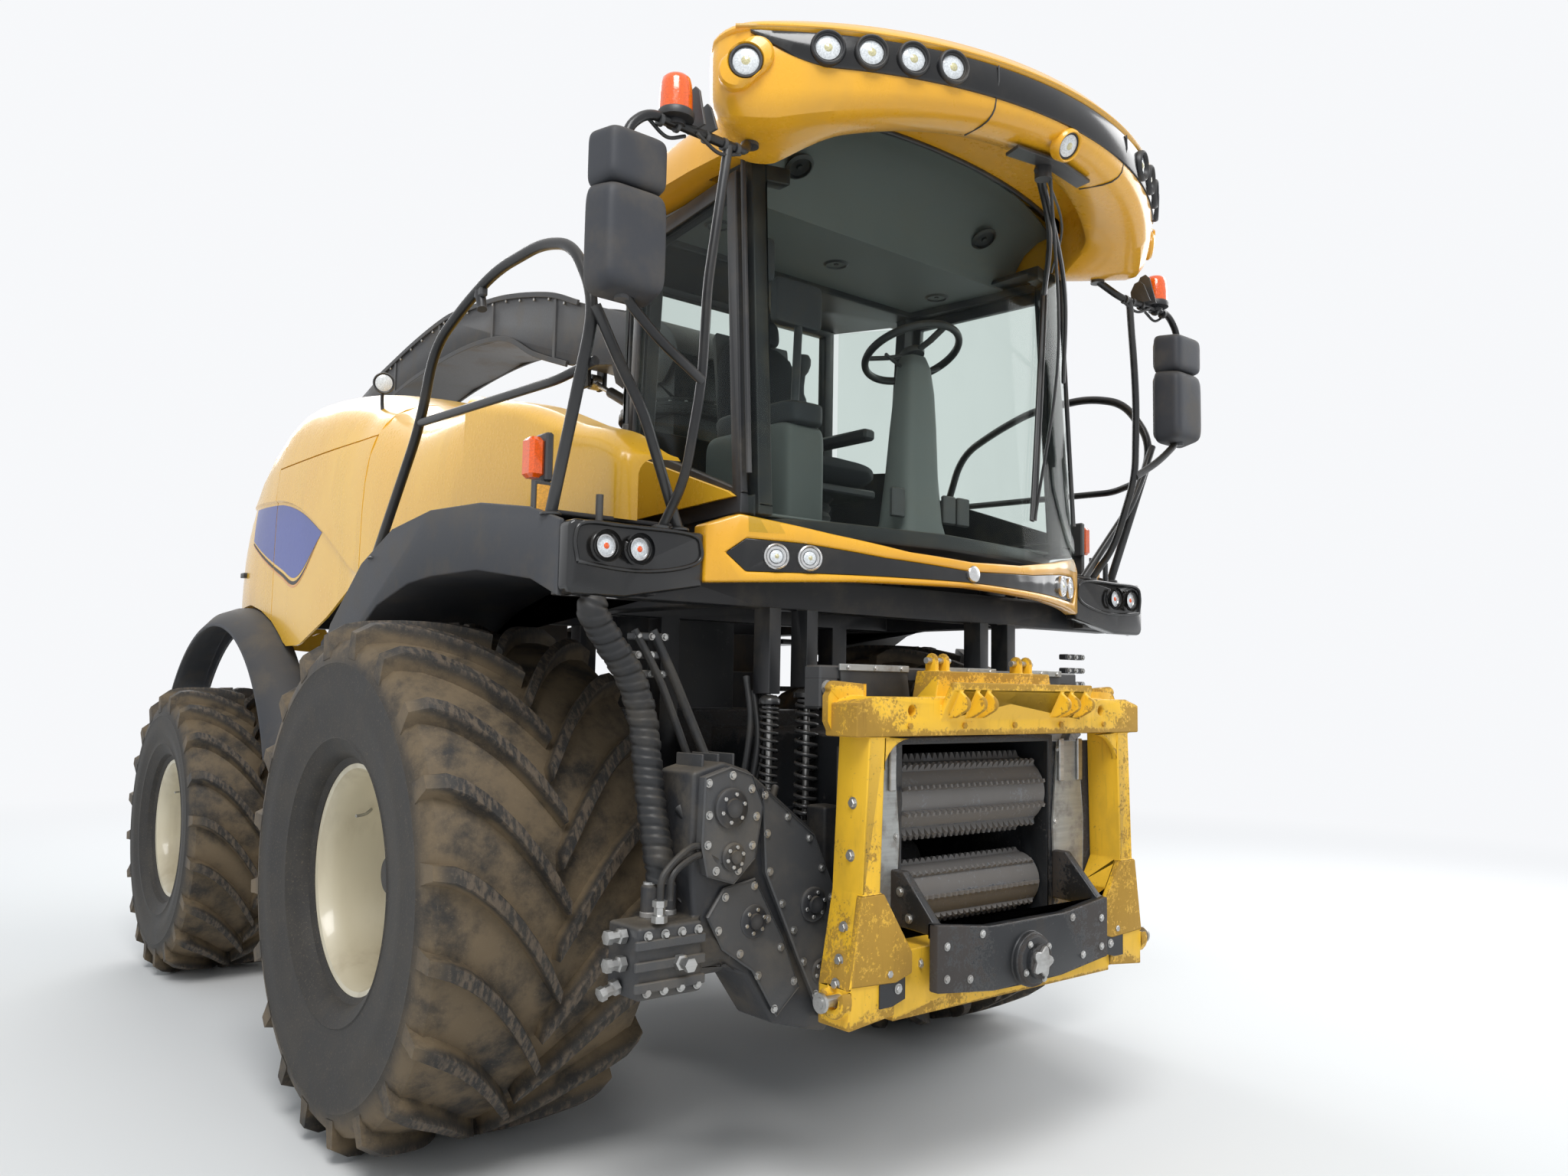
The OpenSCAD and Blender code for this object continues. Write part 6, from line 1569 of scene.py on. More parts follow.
@dataclass
class NoseTrim:
    """Round lamps in the nose and the wings, the blank boss at the nose's middle and the rims of the recesses."""

    radius: float = 1960.0
    centre_y: float = 440.0

    def build(self) -> None:
        """Makes the lamps and rims."""
        form = Form()
        for side in (1, -1):
            for angle in (20.4, 23.8):
                a = math.radians(side * angle)
                place = [(self.radius + 8) * math.sin(a), self.centre_y - (self.radius + 8) * math.cos(a), 2093]
                axis = (math.sin(a), -math.cos(a), 0.0)
                form.turned([[43, -12], [43, 0], [39, 3], [36, 0], [36, -10]], place, axis, 40, 0)
                round_lamp(form, place, axis, 0.036, (0, 1, 2), 0.004, 0.34)
            for x in (1261, 1381):
                place = [side * x, -1256, 2083]
                form.turned([[50, 12], [48, 2], [44, -2], [38, 2], [38, 10]], place, AHEAD, 40, 3)
                round_lamp(form, place, AHEAD, 0.037, (0, 1, 4), 0.004, 0.2)
        form.turned([[30, -8], [30, 2], [27, 6], [22, 8], [12, 10], [0.1, 10.5]],
                    [0, self.centre_y - self.radius - 2, 2084], (0, -1, 0.1), 40, 0)
        form.piece("front_lamps", (BRIGHT, WHITE_LENS, CHIP, PIANO_BLACK, AMBER))
        rims = Form()
        for side in (1, -1):
            outline = [(1470, 2030), (1480, 2100), (1450, 2148), (1300, 2152), (1060, 2150), (1015, 2110), (1030, 2060),
                       (1150, 2026), (1300, 2016)]
            path = smooth_path([mm([side * x, -1242, z]) for x, z in outline + outline[:1]], 6)
            rims.tube(path, 0.007, 8, 0)
        rims.piece("wing_recess_rims", (PIANO_BLACK,), sharp=60)


# Feeder fittings

@dataclass
class Springs:
    """One pair of coil springs on their guide rods, between the front beam and the feeder."""

    name: str
    x: float
    top: float
    low: float
    width: float
    wire: float
    turns: int
    y: float = -1150.0
    stands_for: Tuple[str, ...] = ()

    def build(self) -> None:
        """Makes the coil: x = r cos(t), y = r sin(t), z rising with t, with closed end turns, and its rod and cups."""
        form = Form()
        t = np.linspace(0, 2 * math.pi * self.turns, self.turns * 18)
        share = t / t[-1]
        rise = ease(share, -0.12, 1.12)
        rise = (rise - rise[0]) / (rise[-1] - rise[0])
        r = self.width / 2 - self.wire
        path = np.stack([self.x + r * np.cos(t), self.y + r * np.sin(t),
                         self.low + 46 + (self.top - self.low - 92) * rise], -1)
        form.tube(mm(path), self.wire / 1000, 8, 0)
        form.tube(mm([[self.x, self.y, self.low + 2], [self.x, self.y, self.top - 2]]), 0.012, 16, 1)
        for z, way in ((self.low + 4, 1), (self.top - 4, -1)):
            cup = [[0, 0], [r * 0.8, 0], [r + self.wire + 3, 14], [r + self.wire + 3, 30], [r * 0.7, 34], [r * 0.7, 48],
                   [0, 48]]
            form.turned(cup, (self.x, self.y, z), (0, 0, way), 28)
        form.mirrored()
        start, end = (tuple(mm([0, self.y, z])) for z in (self.top, self.low))
        form.piece(self.name, (GLOSS_COIL, STEEL), self.stands_for, 50,
                   blend=("chassis", "feeder", start, end))


@dataclass
class WrappedHose:
    """Bundle of hoses in a spiral guard, from the right wing down to the feeder's drive."""

    route: Tuple[Point, ...] = ((-1390, -1206, 1929.5), (-1390, -1206, 1880), (-1330, -1200, 1800),
                                (-1245, -1196, 1690), (-1196, -1200, 1560), (-1184, -1215, 1420),
                                (-1180, -1240, 1290), (-1180, -1272, 1180), (-1180, -1290, 1120),
                                (-1180, -1290, 1066))
    radius: float = 0.047
    pitch: float = 0.062

    def build(self) -> None:
        """Makes the guard: the radius dips at every turn of the spiral, which runs round the path at its pitch."""
        form = Form()
        path = smooth_path([mm(p) for p in self.route], 60)
        length = np.concatenate([[0], np.cumsum(np.linalg.norm(np.diff(path, axis=0), axis=1))])
        even = np.linspace(0, length[-1], 260)
        path = np.stack([np.interp(even, length, path[:, i]) for i in range(3)], 1)
        _, side, up = frames_along(path)
        sides = 24
        a = np.linspace(0, 2 * math.pi, sides, endpoint=False)
        phase = (even[:, None] / self.pitch + a[None] / (2 * math.pi)) % 1.0
        dip = np.exp(-((phase - 0.5) / 0.09) ** 2)
        ends = ease(even, 0.0, 0.02) * (1 - ease(even, length[-1] - 0.05, length[-1] - 0.03))
        r = (self.radius - 0.0045 * dip - 0.004 * (phase - 0.5)) * (0.86 + 0.14 * ends[:, None])
        rings = path[:, None] + r[..., None] * (np.cos(a)[None, :, None] * side[:, None] + np.sin(a)[None, :, None]
                                                * up[:, None])
        form.grid(rings, 0, wrap_columns=True, caps=True, flip=True)
        form.piece("wrapped_hose", (HOSE,), ("hydraulic_hoses",), 50,
                   blend=("chassis", "feeder", tuple(mm([-1390, -1206, 1900])), tuple(mm([-1180, -1290, 1090]))))


@dataclass
class DriveTrim:
    """Covers, bolts, ribs and hydraulic fittings on the feeder's gearbox and motor."""

    face: float = -1370.0

    def cover(self, form: Form, outline: Array, front: float, back: float, bolts: int) -> None:
        """A raised plate with bolts along its rim.

        Args:
            form: The piece that it becomes part of.
            outline: Corners (x, z) in millimetres, in order round the plate.
            front: y of its front face.
            back: y where it starts.
            bolts: How many bolts.
        """
        closed = np.vstack([outline, outline[:1]])
        form.prism(outline, back, front, facing, 5.0, 0)
        length = np.concatenate([[0], np.cumsum(np.linalg.norm(np.diff(closed, axis=0), axis=1))])
        middle = outline.mean(0)
        for s in np.linspace(0, length[-1], bolts, endpoint=False):
            p = np.array([np.interp(s, length, closed[:, i]) for i in range(2)])
            p = p + (middle - p) / np.linalg.norm(middle - p) * 20
            form.bolt(mm([p[0], front, p[1]]), AHEAD, 0.010, 0.009, 1)

    def build(self) -> None:
        """Makes the covers, bosses, ribs and fittings."""
        form = Form()
        upper = np.array([(-1095, 1385), (-1000, 1412), (-915, 1385), (-870, 1290), (-900, 1130), (-980, 1060),
                          (-1080, 1090), (-1102, 1180)], float)
        lower = np.array([(-860, 1340), (-640, 1180), (-525, 950), (-525, 640), (-590, 590), (-700, 800),
                          (-840, 1080)], float)
        left = np.array([(-880, 1060), (-760, 860), (-690, 700), (-780, 625), (-880, 780), (-1000, 860), (-1060, 960),
                         (-1000, 1040)], float)
        self.cover(form, upper, self.face - 34, self.face + 2, 9)
        self.cover(form, lower, self.face - 22, self.face + 2, 14)
        self.cover(form, left, self.face - 12, self.face + 2, 9)
        for x, z, r, out in ((-1000, 1290, 62, 62), (-985, 1140, 44, 56), (-640, 960, 56, 44), (-600, 740, 42, 40),
                             (-880, 930, 52, 30)):
            place = [x, self.face - out + 30, z]
            form.turned([[0, 0], [r, 0], [r, 14], [r * 0.86, 20], [r * 0.5, 22], [r * 0.46, 30], [0, 30]], place,
                        AHEAD, 32, 0)
            for a in np.linspace(0.3, 0.3 + 2 * math.pi, 6, endpoint=False):
                form.bolt(mm([x + r * 0.7 * math.cos(a), self.face - out + 10, z + r * 0.7 * math.sin(a)]),
                          AHEAD, 0.007, 0.006, 1, False)
        for x in np.linspace(-1060, -940, 3):
            form.box([x - 4, -1340, 1412], [x + 4, -1200, 1452], 0.003)
        form.piece("gearbox_covers", (IRON, STEEL), body="feeder")
        motor = Form()
        for z in (790, 850, 910):
            motor.box([-1334, -1412, z - 14], [-1086, -1398, z + 14], 0.004)
        for x in (-1290, -1230, -1170, -1110):
            for z in (775, 935):
                motor.bolt(mm([x, -1402, z]), AHEAD, 0.011, 0.012, 1)
        for x in (-1215, -1145):
            place = [x, -1290, 958]
            motor.turned([[0, 0], [27, 0], [27, 22], [22, 28], [20, 60], [24, 64], [24, 92], [19, 98], [19, 112],
                          [0, 112]], place, UP, 24, 1)
        for x, y, z, axis in ((-1325, -1330, 930, (-1, 0, 0)), (-1325, -1330, 850, (-1, 0, 0)),
                              (-1325, -1300, 780, (-1, 0, -0.3)), (-1250, -1400, 970, UP),
                              (-1180, -1405, 850, AHEAD)):
            motor.turned([[0, 0], [24, 0], [24, 20], [17, 24], [17, 44], [22, 46], [22, 64], [0, 66]], [x, y, z], axis,
                         6, 1)
        for offset, drop in ((0, 0), (34, 26)):
            motor.pipe([(-1250 + offset, -1400, 1030), (-1236 + offset, -1402, 1110),
                        (-1120 + offset, -1390, 1180 - drop), (-1040 + offset, -1396, 1130 - drop)], 0.011, 10, 10, 2)
        motor.pipe([(-1100, -1300, 1000), (-1060, -1330, 1080), (-1085, -1350, 1200), (-1110, -1290, 1290)], 0.018, 10,
                   12, 2)
        motor.pipe([(-930, -1200, 980), (-860, -1262, 1010), (-760, -1290, 1240), (-690, -1250, 1330)], 0.013, 10, 12,
                   2)
        motor.piece("drive_motor_fittings", (IRON, STEEL, HOSE), body="feeder")


@dataclass
class FeederTrim:
    """Side plates, rubber flaps and bolts at the feeder's mouth."""

    mouth: float = -1550.0

    def build(self) -> None:
        """Makes the plates, flaps and small fittings."""
        plates = Form()
        for side in (1, -1):
            outline = ((428, 835), (592, 850), (600, 1180), (566, 1478), (440, 1478), (410, 1180))
            plates.prism(on_side(outline, side), self.mouth - 2, self.mouth - 7, facing, 1.0, 0)
            for x in (452, 566):
                plates.box([side * x - 14, self.mouth - 20, 1330], [side * x + 14, self.mouth - 8, 1488], 0.003, 1)
            for x, z in ((440, 1450), (580, 1440), (590, 900), (440, 880), (424, 1180)):
                plates.bolt(mm([side * x, self.mouth - 7, z]), AHEAD, 0.009, 0.007, 1)
        plates.piece("mouth_side_plates", (GALVANISED, STEEL), body="feeder")
        flaps = Form()
        flaps.box([-720, -1500, 1690], [640, -1420, 1738], 0.006)
        flaps.box([-720, -1500, 1600], [-640, -1420, 1700], 0.006)
        flaps.box([560, -1500, 1600], [640, -1420, 1700], 0.006)
        for side in (-1, 1):
            flaps.box([side * 470 - 50, -1500, 1500], [side * 470 + 50, -1440, 1695], 0.006)
        for low, high in ((-640, -330), (-170, 130), (280, 520)):
            x = np.linspace(low, high, 9)[None]
            z = np.linspace(1742, 1560, 8)[:, None]
            drop = (1742 - z) / 182
            sheet = np.stack([x + 12 * drop, -1506 - 14 * drop + 4 * np.sin(x / 40) * drop, z + 0 * x], -1)
            flaps.sheet(mm(sheet), mm(sheet + [0, 6, 0]), 1)
            flaps.box([low - 6, -1514, 1722], [high + 6, -1506, 1744], 0.002, 2)
            for share in (0.1, 0.5, 0.9):
                flaps.bolt(mm([low + share * (high - low), -1514, 1733]), AHEAD, 0.007, 0.006, 3)
        for x in (-690, -560, 600):
            flaps.bolt(mm([x, -1500, 1666]), AHEAD, 0.018, 0.012, 3)
        flaps.piece("mouth_flaps", (BLACK, HOSE, GALVANISED, STEEL), body="feeder")


@dataclass
class FrameTrim:
    """Bolts, pins and cover plates on the coupling frame, and the swing plate's pivot and bolts."""

    front: float = -1700.0

    def build(self) -> None:
        """Makes the small fittings of the frame."""
        form = Form()
        for side in (1, -1):
            for z in (705, 770, 840, 935, 1150, 1310):
                x = np.interp(z, [640, 760, 1040, 1520], [764, 764, 712, 690])
                form.bolt(mm([side * (x - 1), self.front + 62, z]), (side, 0, 0.0), 0.014, 0.012, 1)
            form.tube(mm([[side * 755, self.front + 42, 730], [side * 850, self.front + 42, 730]]), 0.017, 20, 1)
            form.turned([[0, 0], [30, 0], [30, 10], [0, 10]], [side * 836, self.front + 42, 730], (side, 0, 0), 20, 1)
            ear = ((600, 1518), (742, 1518), (766, 1560), (766, 1640), (748, 1668), (600, 1680))
            form.prism(on_side(ear, side), self.front + 134, self.front + 112, facing, 2.0, 0)
            for x in (198, 254):
                form.tube(mm([[side * x - 30, self.front + 146, 1764], [side * x + 30, self.front + 146, 1764]]), 0.011,
                          16, 1)
            plate = ((586, 690), (640, 690), (640, 812), (529, 812), (529, 706))
            form.prism(on_side(plate, side), self.front + 4, self.front - 4, facing, 1.0, 2)
            form.bolt(mm([side * 560, self.front - 4, 740]), AHEAD, 0.012, 0.009, 1)
            form.bolt(mm([side * 600, self.front - 4, 790]), AHEAD, 0.012, 0.009, 1)
        for x in np.linspace(-520, 520, 5):
            form.bolt(mm([x, self.front - 6, 1548]), AHEAD, 0.011, 0.008, 0, False)
        form.piece("frame_fittings", (FRAME_PAINT, STEEL, DARK_PAINT), body="coupling_frame")
        pin = Form()
        place = [0, -1792, 770]
        pin.turned([[0, 0], [86, 0], [84, 8], [70, 14], [58, 16], [56, 30], [0, 30]], place, AHEAD, 40, 0)
        turn = np.linspace(0, 2 * math.pi, 30, endpoint=False)
        star = np.stack([(44 + 9 * np.cos(5 * turn)) * np.cos(turn), (44 + 9 * np.cos(5 * turn)) * np.sin(turn)], 1)
        pin.prism(star, 0.0, 16.0, lambda a, b, c: mm(np.stack([a, -1818 - c, 770 + b], 1)), 3.0, 1)
        for a in (0.6, 2.2, 3.6, 5.2):
            pin.bolt(mm([70 * math.cos(a), -1806, 770 + 70 * math.sin(a)]), AHEAD, 0.009, 0.008, 1)
        for side in (1, -1):
            for x, z in ((410, 760), (410, 860), (300, 745), (240, 880)):
                pin.bolt(mm([side * x, -1770, z]), AHEAD, 0.010, 0.007, 1)
            for y, z in ((-1690, 800), (-1640, 930), (-1600, 1010)):
                pin.bolt(mm([side * 447, y, z]), (side, 0, 0), 0.012, 0.008, 1)
        pin.piece("swing_plate_fittings", (DARK_PAINT, STEEL), body="feeder")


# Roof, windscreen and cab

@dataclass
class Roof:
    """Roof: the visor's shell with its thin lip and deep ends, its dark lamp band and the crowned body behind.

    For an angle a from straight ahead, a section is drawn in (radius, z) and set at (r sin a, centre - r cos a).
    """

    half_angle: float = 46.5
    lip: float = 3584.0

    def shell(self, form: Form) -> None:
        """Visor: the inner edge lies at 3592 - 0.104 a^2 and the bag's bottom at 3550 - 0.077 a^2."""
        angle = np.linspace(-self.half_angle, self.half_angle, 125)
        square = np.minimum(np.abs(angle), 38.5) ** 2
        edge, bottom = 3592 - 0.104 * square, 3550 - 0.077 * square
        crown = 3838 - 22 * (angle / self.half_angle) ** 4
        rows: List[Tuple[Any, Any]] = [(700, 3700), (700, crown - 30), (1000, crown), (1250, crown - 3),
                                       (1440, crown - 18), (1560, crown - 42), (1622, crown - 72), (1648, 3738),
                                       (1660, 3726), (1664, 3719), (1660, 3712), (1652, 3706), (1650, 3690),
                                       (1656, 3650), (1654, 3610), (1649, self.lip)]
        for radius, share in ((1643, 0.42), (1630, 0.72), (1606, 0.93), (1570, 1.0), (1530, 1.0)):
            rows.append((radius, self.lip + share * (bottom - self.lip)))
        reach = 110 * ease(np.abs(angle), 29, 40)
        for radius, share in ((1488, 0.12), (1446, 0.45), (1418, 0.78), (1402, 1.0)):
            rows.append((radius - reach, bottom + share * (edge - bottom)))
        rows += [(1394 - reach, edge + 8), (1390 - reach, edge + 40), (1390 - reach, 3692), (1370 - reach, 3700)]
        radius = np.stack([0 * angle + r for r, _ in rows], 1)
        z = np.stack([0 * angle + h for _, h in rows], 1)
        t = np.clip((np.abs(angle) - (self.half_angle - 6.5)) / 6.5, 0, 1)[:, None]
        drawn = 1 - np.sqrt(1 - t ** 2)
        radius = radius + (1450 - radius) * drawn * np.where(radius > 1450, 0.62, 0.0)
        z = z + (3650 - z) * drawn * 0.5
        form.grid(mm(visor_spot(angle[:, None] + 0 * radius, radius, z)), wrap_columns=True, caps=True)

    def band(self) -> None:
        """Dark lamp band, whose lower edge rises to a point at each end."""
        form = Form()
        angle = np.linspace(-41.4, 41.4, 161)
        t = np.clip((np.abs(angle) - 32.0) / 9.4, 0, 1)
        low = 3592 + 108 * t ** 1.9
        top = 3706 - 2 * t
        share = np.array([0.0, 0.03, 0.1, 0.5, 0.9, 0.97, 1.0])
        out = np.array([1640.0, 1657, 1662, 1664, 1661, 1657, 1640])
        z = low[:, None] + (top - low)[:, None] * share
        form.grid(mm(visor_spot(angle[:, None] + 0 * z, out, z)), wrap_columns=True, caps=True)
        form.piece("visor_band", (PIANO_BLACK,), ("lamp_band",), 40)

    def body(self, form: Form) -> None:
        """Crowned body: at each y, (W cos a, H sin a) times (|cos a|^3.4 + |sin a|^2.6)^(-1/3) above its base line."""
        y = np.array([-1290.0, -1240, -1160, -1080, -1020, -1000, -760, -560, -360, -220, -120, -78, -64])
        width = np.array([900.0, 930, 934, 936, 938, 938, 930, 895, 800, 705, 640, 610, 585])
        top = np.array([3826.0, 3832, 3832, 3830, 3826, 3824, 3790, 3752, 3706, 3668, 3632, 3600, 3560])
        base = np.array([3712.0, 3706, 3662, 3582, 3522, 3474] + 7 * [3474])
        turn = np.linspace(0, math.pi, 49)[None]
        c, s = np.cos(turn), np.sin(turn)
        reach = (np.abs(c) ** 3.4 + np.abs(s) ** 2.6) ** (-1 / 3.0)
        x = width[:, None] * c * reach
        z = 3474 + (top - 3474)[:, None] * s * reach
        under = np.array([-0.90, -0.885, -0.5, 0.0, 0.5, 0.885, 0.90])
        x = np.hstack([x, width[:, None] * under])
        z = np.hstack([np.maximum(z, 3474), np.where(np.abs(under) < 0.89, base[:, None], 3474.0)])
        form.grid(mm(np.stack([x, y[:, None] + 0 * x, z], -1)), 0, caps=True, wrap_columns=True)

    def build(self) -> None:
        """Makes the roof."""
        form = Form()
        self.shell(form)
        self.body(form)
        form.piece("roof_shell", (DEEP_YELLOW,), ("roof",), 32)
        self.band()


@dataclass
class Cab:
    """Windscreen, headliner, seat, steering wheel, console and screen, in millimetres."""

    floor: float = 2240.0

    def windscreen(self) -> None:
        """Round sheet of glass that reaches up behind the visor, with its dark seal."""
        form = Form()
        x = np.linspace(-880, 880, 41)[None]
        z = np.concatenate([np.linspace(2170, 3440, 14), np.linspace(3500, 3694, 5)])[:, None]
        narrow = 1 - 0.09 * ease(z, 3480, 3700)
        y = Visor.glass_y(x * narrow, z)
        outer = np.stack([x * narrow, y, z + 0 * x], -1)
        form.sheet(mm(outer), mm(outer + [0, 6, 0]))
        form.piece("windscreen_sheet", (GLASS,), ("windscreen",), 60)
        seal = Form()
        for rim in (outer[2:, 0], outer[2:, -1], outer[-1]):
            seal.tube(mm(rim), 0.010, 8, 0)
        seal.piece("windscreen_seal", (BLACK,), sharp=60)

    def headliner(self) -> None:
        """Moulded ceiling that rises behind the windscreen's top, with round vents."""
        form = Form()
        x = np.linspace(-812, 812, 25)[None]
        y = np.array([-1380.0, -1296, -1240, -1160, -1090, -1040, -1012, -900, -600, -300])[:, None]
        height = np.array([3692.0, 3691, 3684, 3640, 3560, 3480, 3442, 3440, 3438, 3436])[:, None]
        rise = height - 60 * np.clip(np.abs(x) / 812, 0, 1) ** 3 * ease(height, 3440, 3690)
        lower = np.stack([x + 0 * rise, y + 60 * (x / 812) ** 2 * ease(height, 3440, 3690), rise], -1)
        lower[0, :, 1] = Visor.glass_y(x[0], 3692) + 12
        form.sheet(mm(lower), mm(lower + [0, 0, 8.0]))
        for px, py, pz in ((-520, -1120, 3585), (520, -1120, 3585), (-620, -760, 3446), (620, -760, 3446),
                           (0, -760, 3446)):
            form.turned([[0, 0], [56, 0], [56, 6], [44, 14], [40, 4], [12, 4], [10, 12], [0, 12]], [px, py, pz],
                        (0, 0.0 if pz < 3500 else -0.6, -1), 28, 1)
        form.piece("headliner", (LINER, BLACK), sharp=40)

    def cushion(self, name: str, rings: Sequence[Tuple[float, float, float, float, float]],
                stands_for: Tuple[str, ...] = ()) -> None:
        """A stuffed form: superellipse rings (y, z, half width, half depth, lean in degrees) one after another.

        Args:
            name: The piece's name.
            rings: Its rings.
            stands_for: CAD nodes that it replaces.
        """
        turn = np.linspace(0, 2 * math.pi, 40, endpoint=False)
        c, s = np.cos(turn), np.sin(turn)
        wide = np.sign(c) * np.abs(c) ** 0.55
        deep = np.sign(s) * np.abs(s) ** 0.62 * (1 - 0.10 * np.abs(wide) ** 3 + 0.07 * np.exp(-(wide / 0.16) ** 2))
        rows = []
        for y, z, half, depth, lean in rings:
            a = math.radians(lean)
            rows.append(np.stack([half * wide, y + depth * deep * math.cos(a), self.floor + z + depth * deep
                                  * math.sin(a)], 1))
        form = Form()
        form.grid(mm(np.array(rows)), 0, wrap_columns=True, caps=True)
        form.piece(name, (SEAT_CLOTH,), stands_for, 50)

    def seat(self) -> None:
        """Seat base, cushion, back and headrest."""
        share = np.linspace(-1, 1, 15)
        bulge = (1 - np.abs(share) ** 3.2) ** 0.4
        self.cushion("seat_cushion", [(-560 - 262 * s, 322 + 8 * s * s - 6 * s, 236 * (0.62 + 0.38 * b), 62 * b + 3, 90)
                                      for s, b in zip(share, bulge)], ("seat",))
        self.cushion("seat_back", [(-330 + 48 * (s + 1), 662 + 300 * s, (236 - 30 * s) * (0.6 + 0.4 * b), 56 * b + 3, 8)
                                   for s, b in zip(share, bulge)])
        self.cushion("seat_headrest", [(-222 + 8 * s, 1032 + 66 * s, 130 * (0.6 + 0.4 * b), 38 * b + 2, 6)
                                       for s, b in zip(share, bulge)])
        form = Form()
        form.turned([[0, 0], [170, 0], [170, 24], [126, 40], [120, 120], [128, 140], [118, 160], [128, 180],
                     [118, 200], [150, 236], [0, 240]], [0, -560, self.floor + 2], UP, 40, 0)
        form.box([-220, -790, self.floor + 226], [220, -330, self.floor + 258], 0.01)
        form.prism(np.array([(-286, 330), (-262, 330), (-176, 960), (-206, 985)]), -210.0, 210.0,
                   lambda a, b, c: mm(np.stack([c, a, self.floor + b], 1)), 8.0, 0)
        for x in (-270, 270):
            form.box([x - 34, -700, self.floor + 500], [x + 34, -340, self.floor + 548], 0.02)
            form.box([x - 16, -372, self.floor + 330], [x + 16, -330, self.floor + 510], 0.008)
        form.piece("seat_frame", (GREY_MOULD,))

    def steering(self) -> None:
        """Column shroud, gaiter and wheel with three spokes."""
        form = Form()
        levels = np.array([0.0, 60, 240, 420, 560, 660, 706])
        half = np.array([120.0, 108, 92, 84, 74, 62, 46])
        depth = np.array([118.0, 100, 84, 72, 62, 52, 40])
        middle = np.array([-1203.0, -1203, -1206, -1212, -1216, -1213, -1208])
        turn = np.linspace(0, 2 * math.pi, 32, endpoint=False)
        wide = np.sign(np.cos(turn)) * np.abs(np.cos(turn)) ** 0.6
        deep = np.sign(np.sin(turn)) * np.abs(np.sin(turn)) ** 0.6
        rings = np.stack([half[:, None] * wide, middle[:, None] + depth[:, None] * deep,
                          self.floor + levels[:, None] + 0 * wide], -1)
        form.grid(mm(rings), 0, wrap_columns=True, caps=True)
        hub = np.array([0.0, -1203.0, self.floor + 724])
        u = np.array([1.0, 0, 0])
        w = unit(np.array([0.0, math.sin(math.radians(22)), math.cos(math.radians(22))]))
        v = np.cross(w, u)
        a = np.linspace(0, 2 * math.pi, 72, endpoint=False)
        b = np.linspace(0, 2 * math.pi, 14, endpoint=False)
        reach = 188 + 14 * np.cos(b)[None]
        torus = (hub + reach[..., None] * (np.cos(a)[:, None, None] * u + np.sin(a)[:, None, None] * v)
                 + 16 * np.sin(b)[None, :, None] * w)
        form.grid(mm(torus), 1, wrap_rows=True, wrap_columns=True)
        for turn_at in (30, 150, 270):
            t = math.radians(turn_at)
            out = math.cos(t) * u + math.sin(t) * v
            form.tube(mm(np.array([hub + 28 * out - 6 * w, hub + 100 * out - 8 * w, hub + 184 * out])), 1.0,
                      section=rounded_rect(0.030, 0.014, 0.005, 2), mark=1)
        form.turned([[0, -16], [46, -16], [50, -4], [46, 8], [30, 14], [0, 15]], hub, tuple(w), 32, 1)
        for x in (-1, 1):
            form.pipe([(x * 50, -1200, self.floor + 660), (x * 110, -1206, self.floor + 676),
                       (x * 150, -1210, self.floor + 690)], 0.007, 4, 8, 1)
        form.piece("steering_wheel", (LINER, BLACK), ("steering_column",), 40)

    def console(self) -> None:
        """Right-hand console with armrest, joystick, screens and their arm, and a small fan on the pillar."""
        form = Form()
        x = -360.0
        rounded_body(form, [x, -740, self.floor + 216], (0.20, 0.54, 0.43), 0.22, 12, 0)
        rounded_body(form, [x, -770, self.floor + 462], (0.176, 0.50, 0.10), 0.3, 12, 2)
        form.turned([[0, 0], [30, 0], [26, 20], [16, 40], [13, 70], [14, 110], [24, 124], [31, 150], [30, 172],
                     [20, 188], [0.1, 192]], [x, -955, self.floor + 506], (0, -0.12, 1), 28, 2)
        form.pipe([(x - 60, -1000, self.floor + 500), (x - 62, -1010, self.floor + 660),
                   (x - 60, -1014, self.floor + 790)], 0.016, 6, 14, 2)
        rounded_body(form, [x - 70, -1012, self.floor + 866], (0.224, 0.044, 0.172), 0.18, 12, 2)
        face = rounded_rect(0.196, 0.142, 0.008, 3)
        centre = mm([x - 70, -989, self.floor + 866])
        form.prism(face, 0.0, 0.003, lambda a, b, c: centre + np.stack([a, c, b], 1), 0.001, 3)
        rounded_body(form, [-700, -1130, self.floor + 930], (0.05, 0.11, 0.16), 0.3, 10, 2)
        form.pipe([(-760, -1180, self.floor + 860), (-740, -1160, self.floor + 900), (-705, -1135, self.floor + 905)],
                  0.010, 5, 10, 2)
        form.piece("cab_console", (LINER, BLACK, GREY_MOULD, SCREEN), ("console",))
        mat = Form()
        mat.prism(np.array([(-780, -1260), (780, -1260), (700, -420), (480, -130), (-480, -130), (-700, -420)]),
                  self.floor + 1, self.floor + 12, lying, 4.0, 0)
        for px in (-150.0, 130.0, 210.0):
            mat.box([px - 34, -1290, self.floor + 60], [px + 34, -1268, self.floor + 170], 0.006, 1)
        mat.piece("cab_floor_mat", (LINER, BLACK), sharp=40)

    def build(self) -> None:
        """Makes everything in the cab."""
        self.windscreen()
        self.headliner()
        self.seat()
        self.steering()
        self.console()


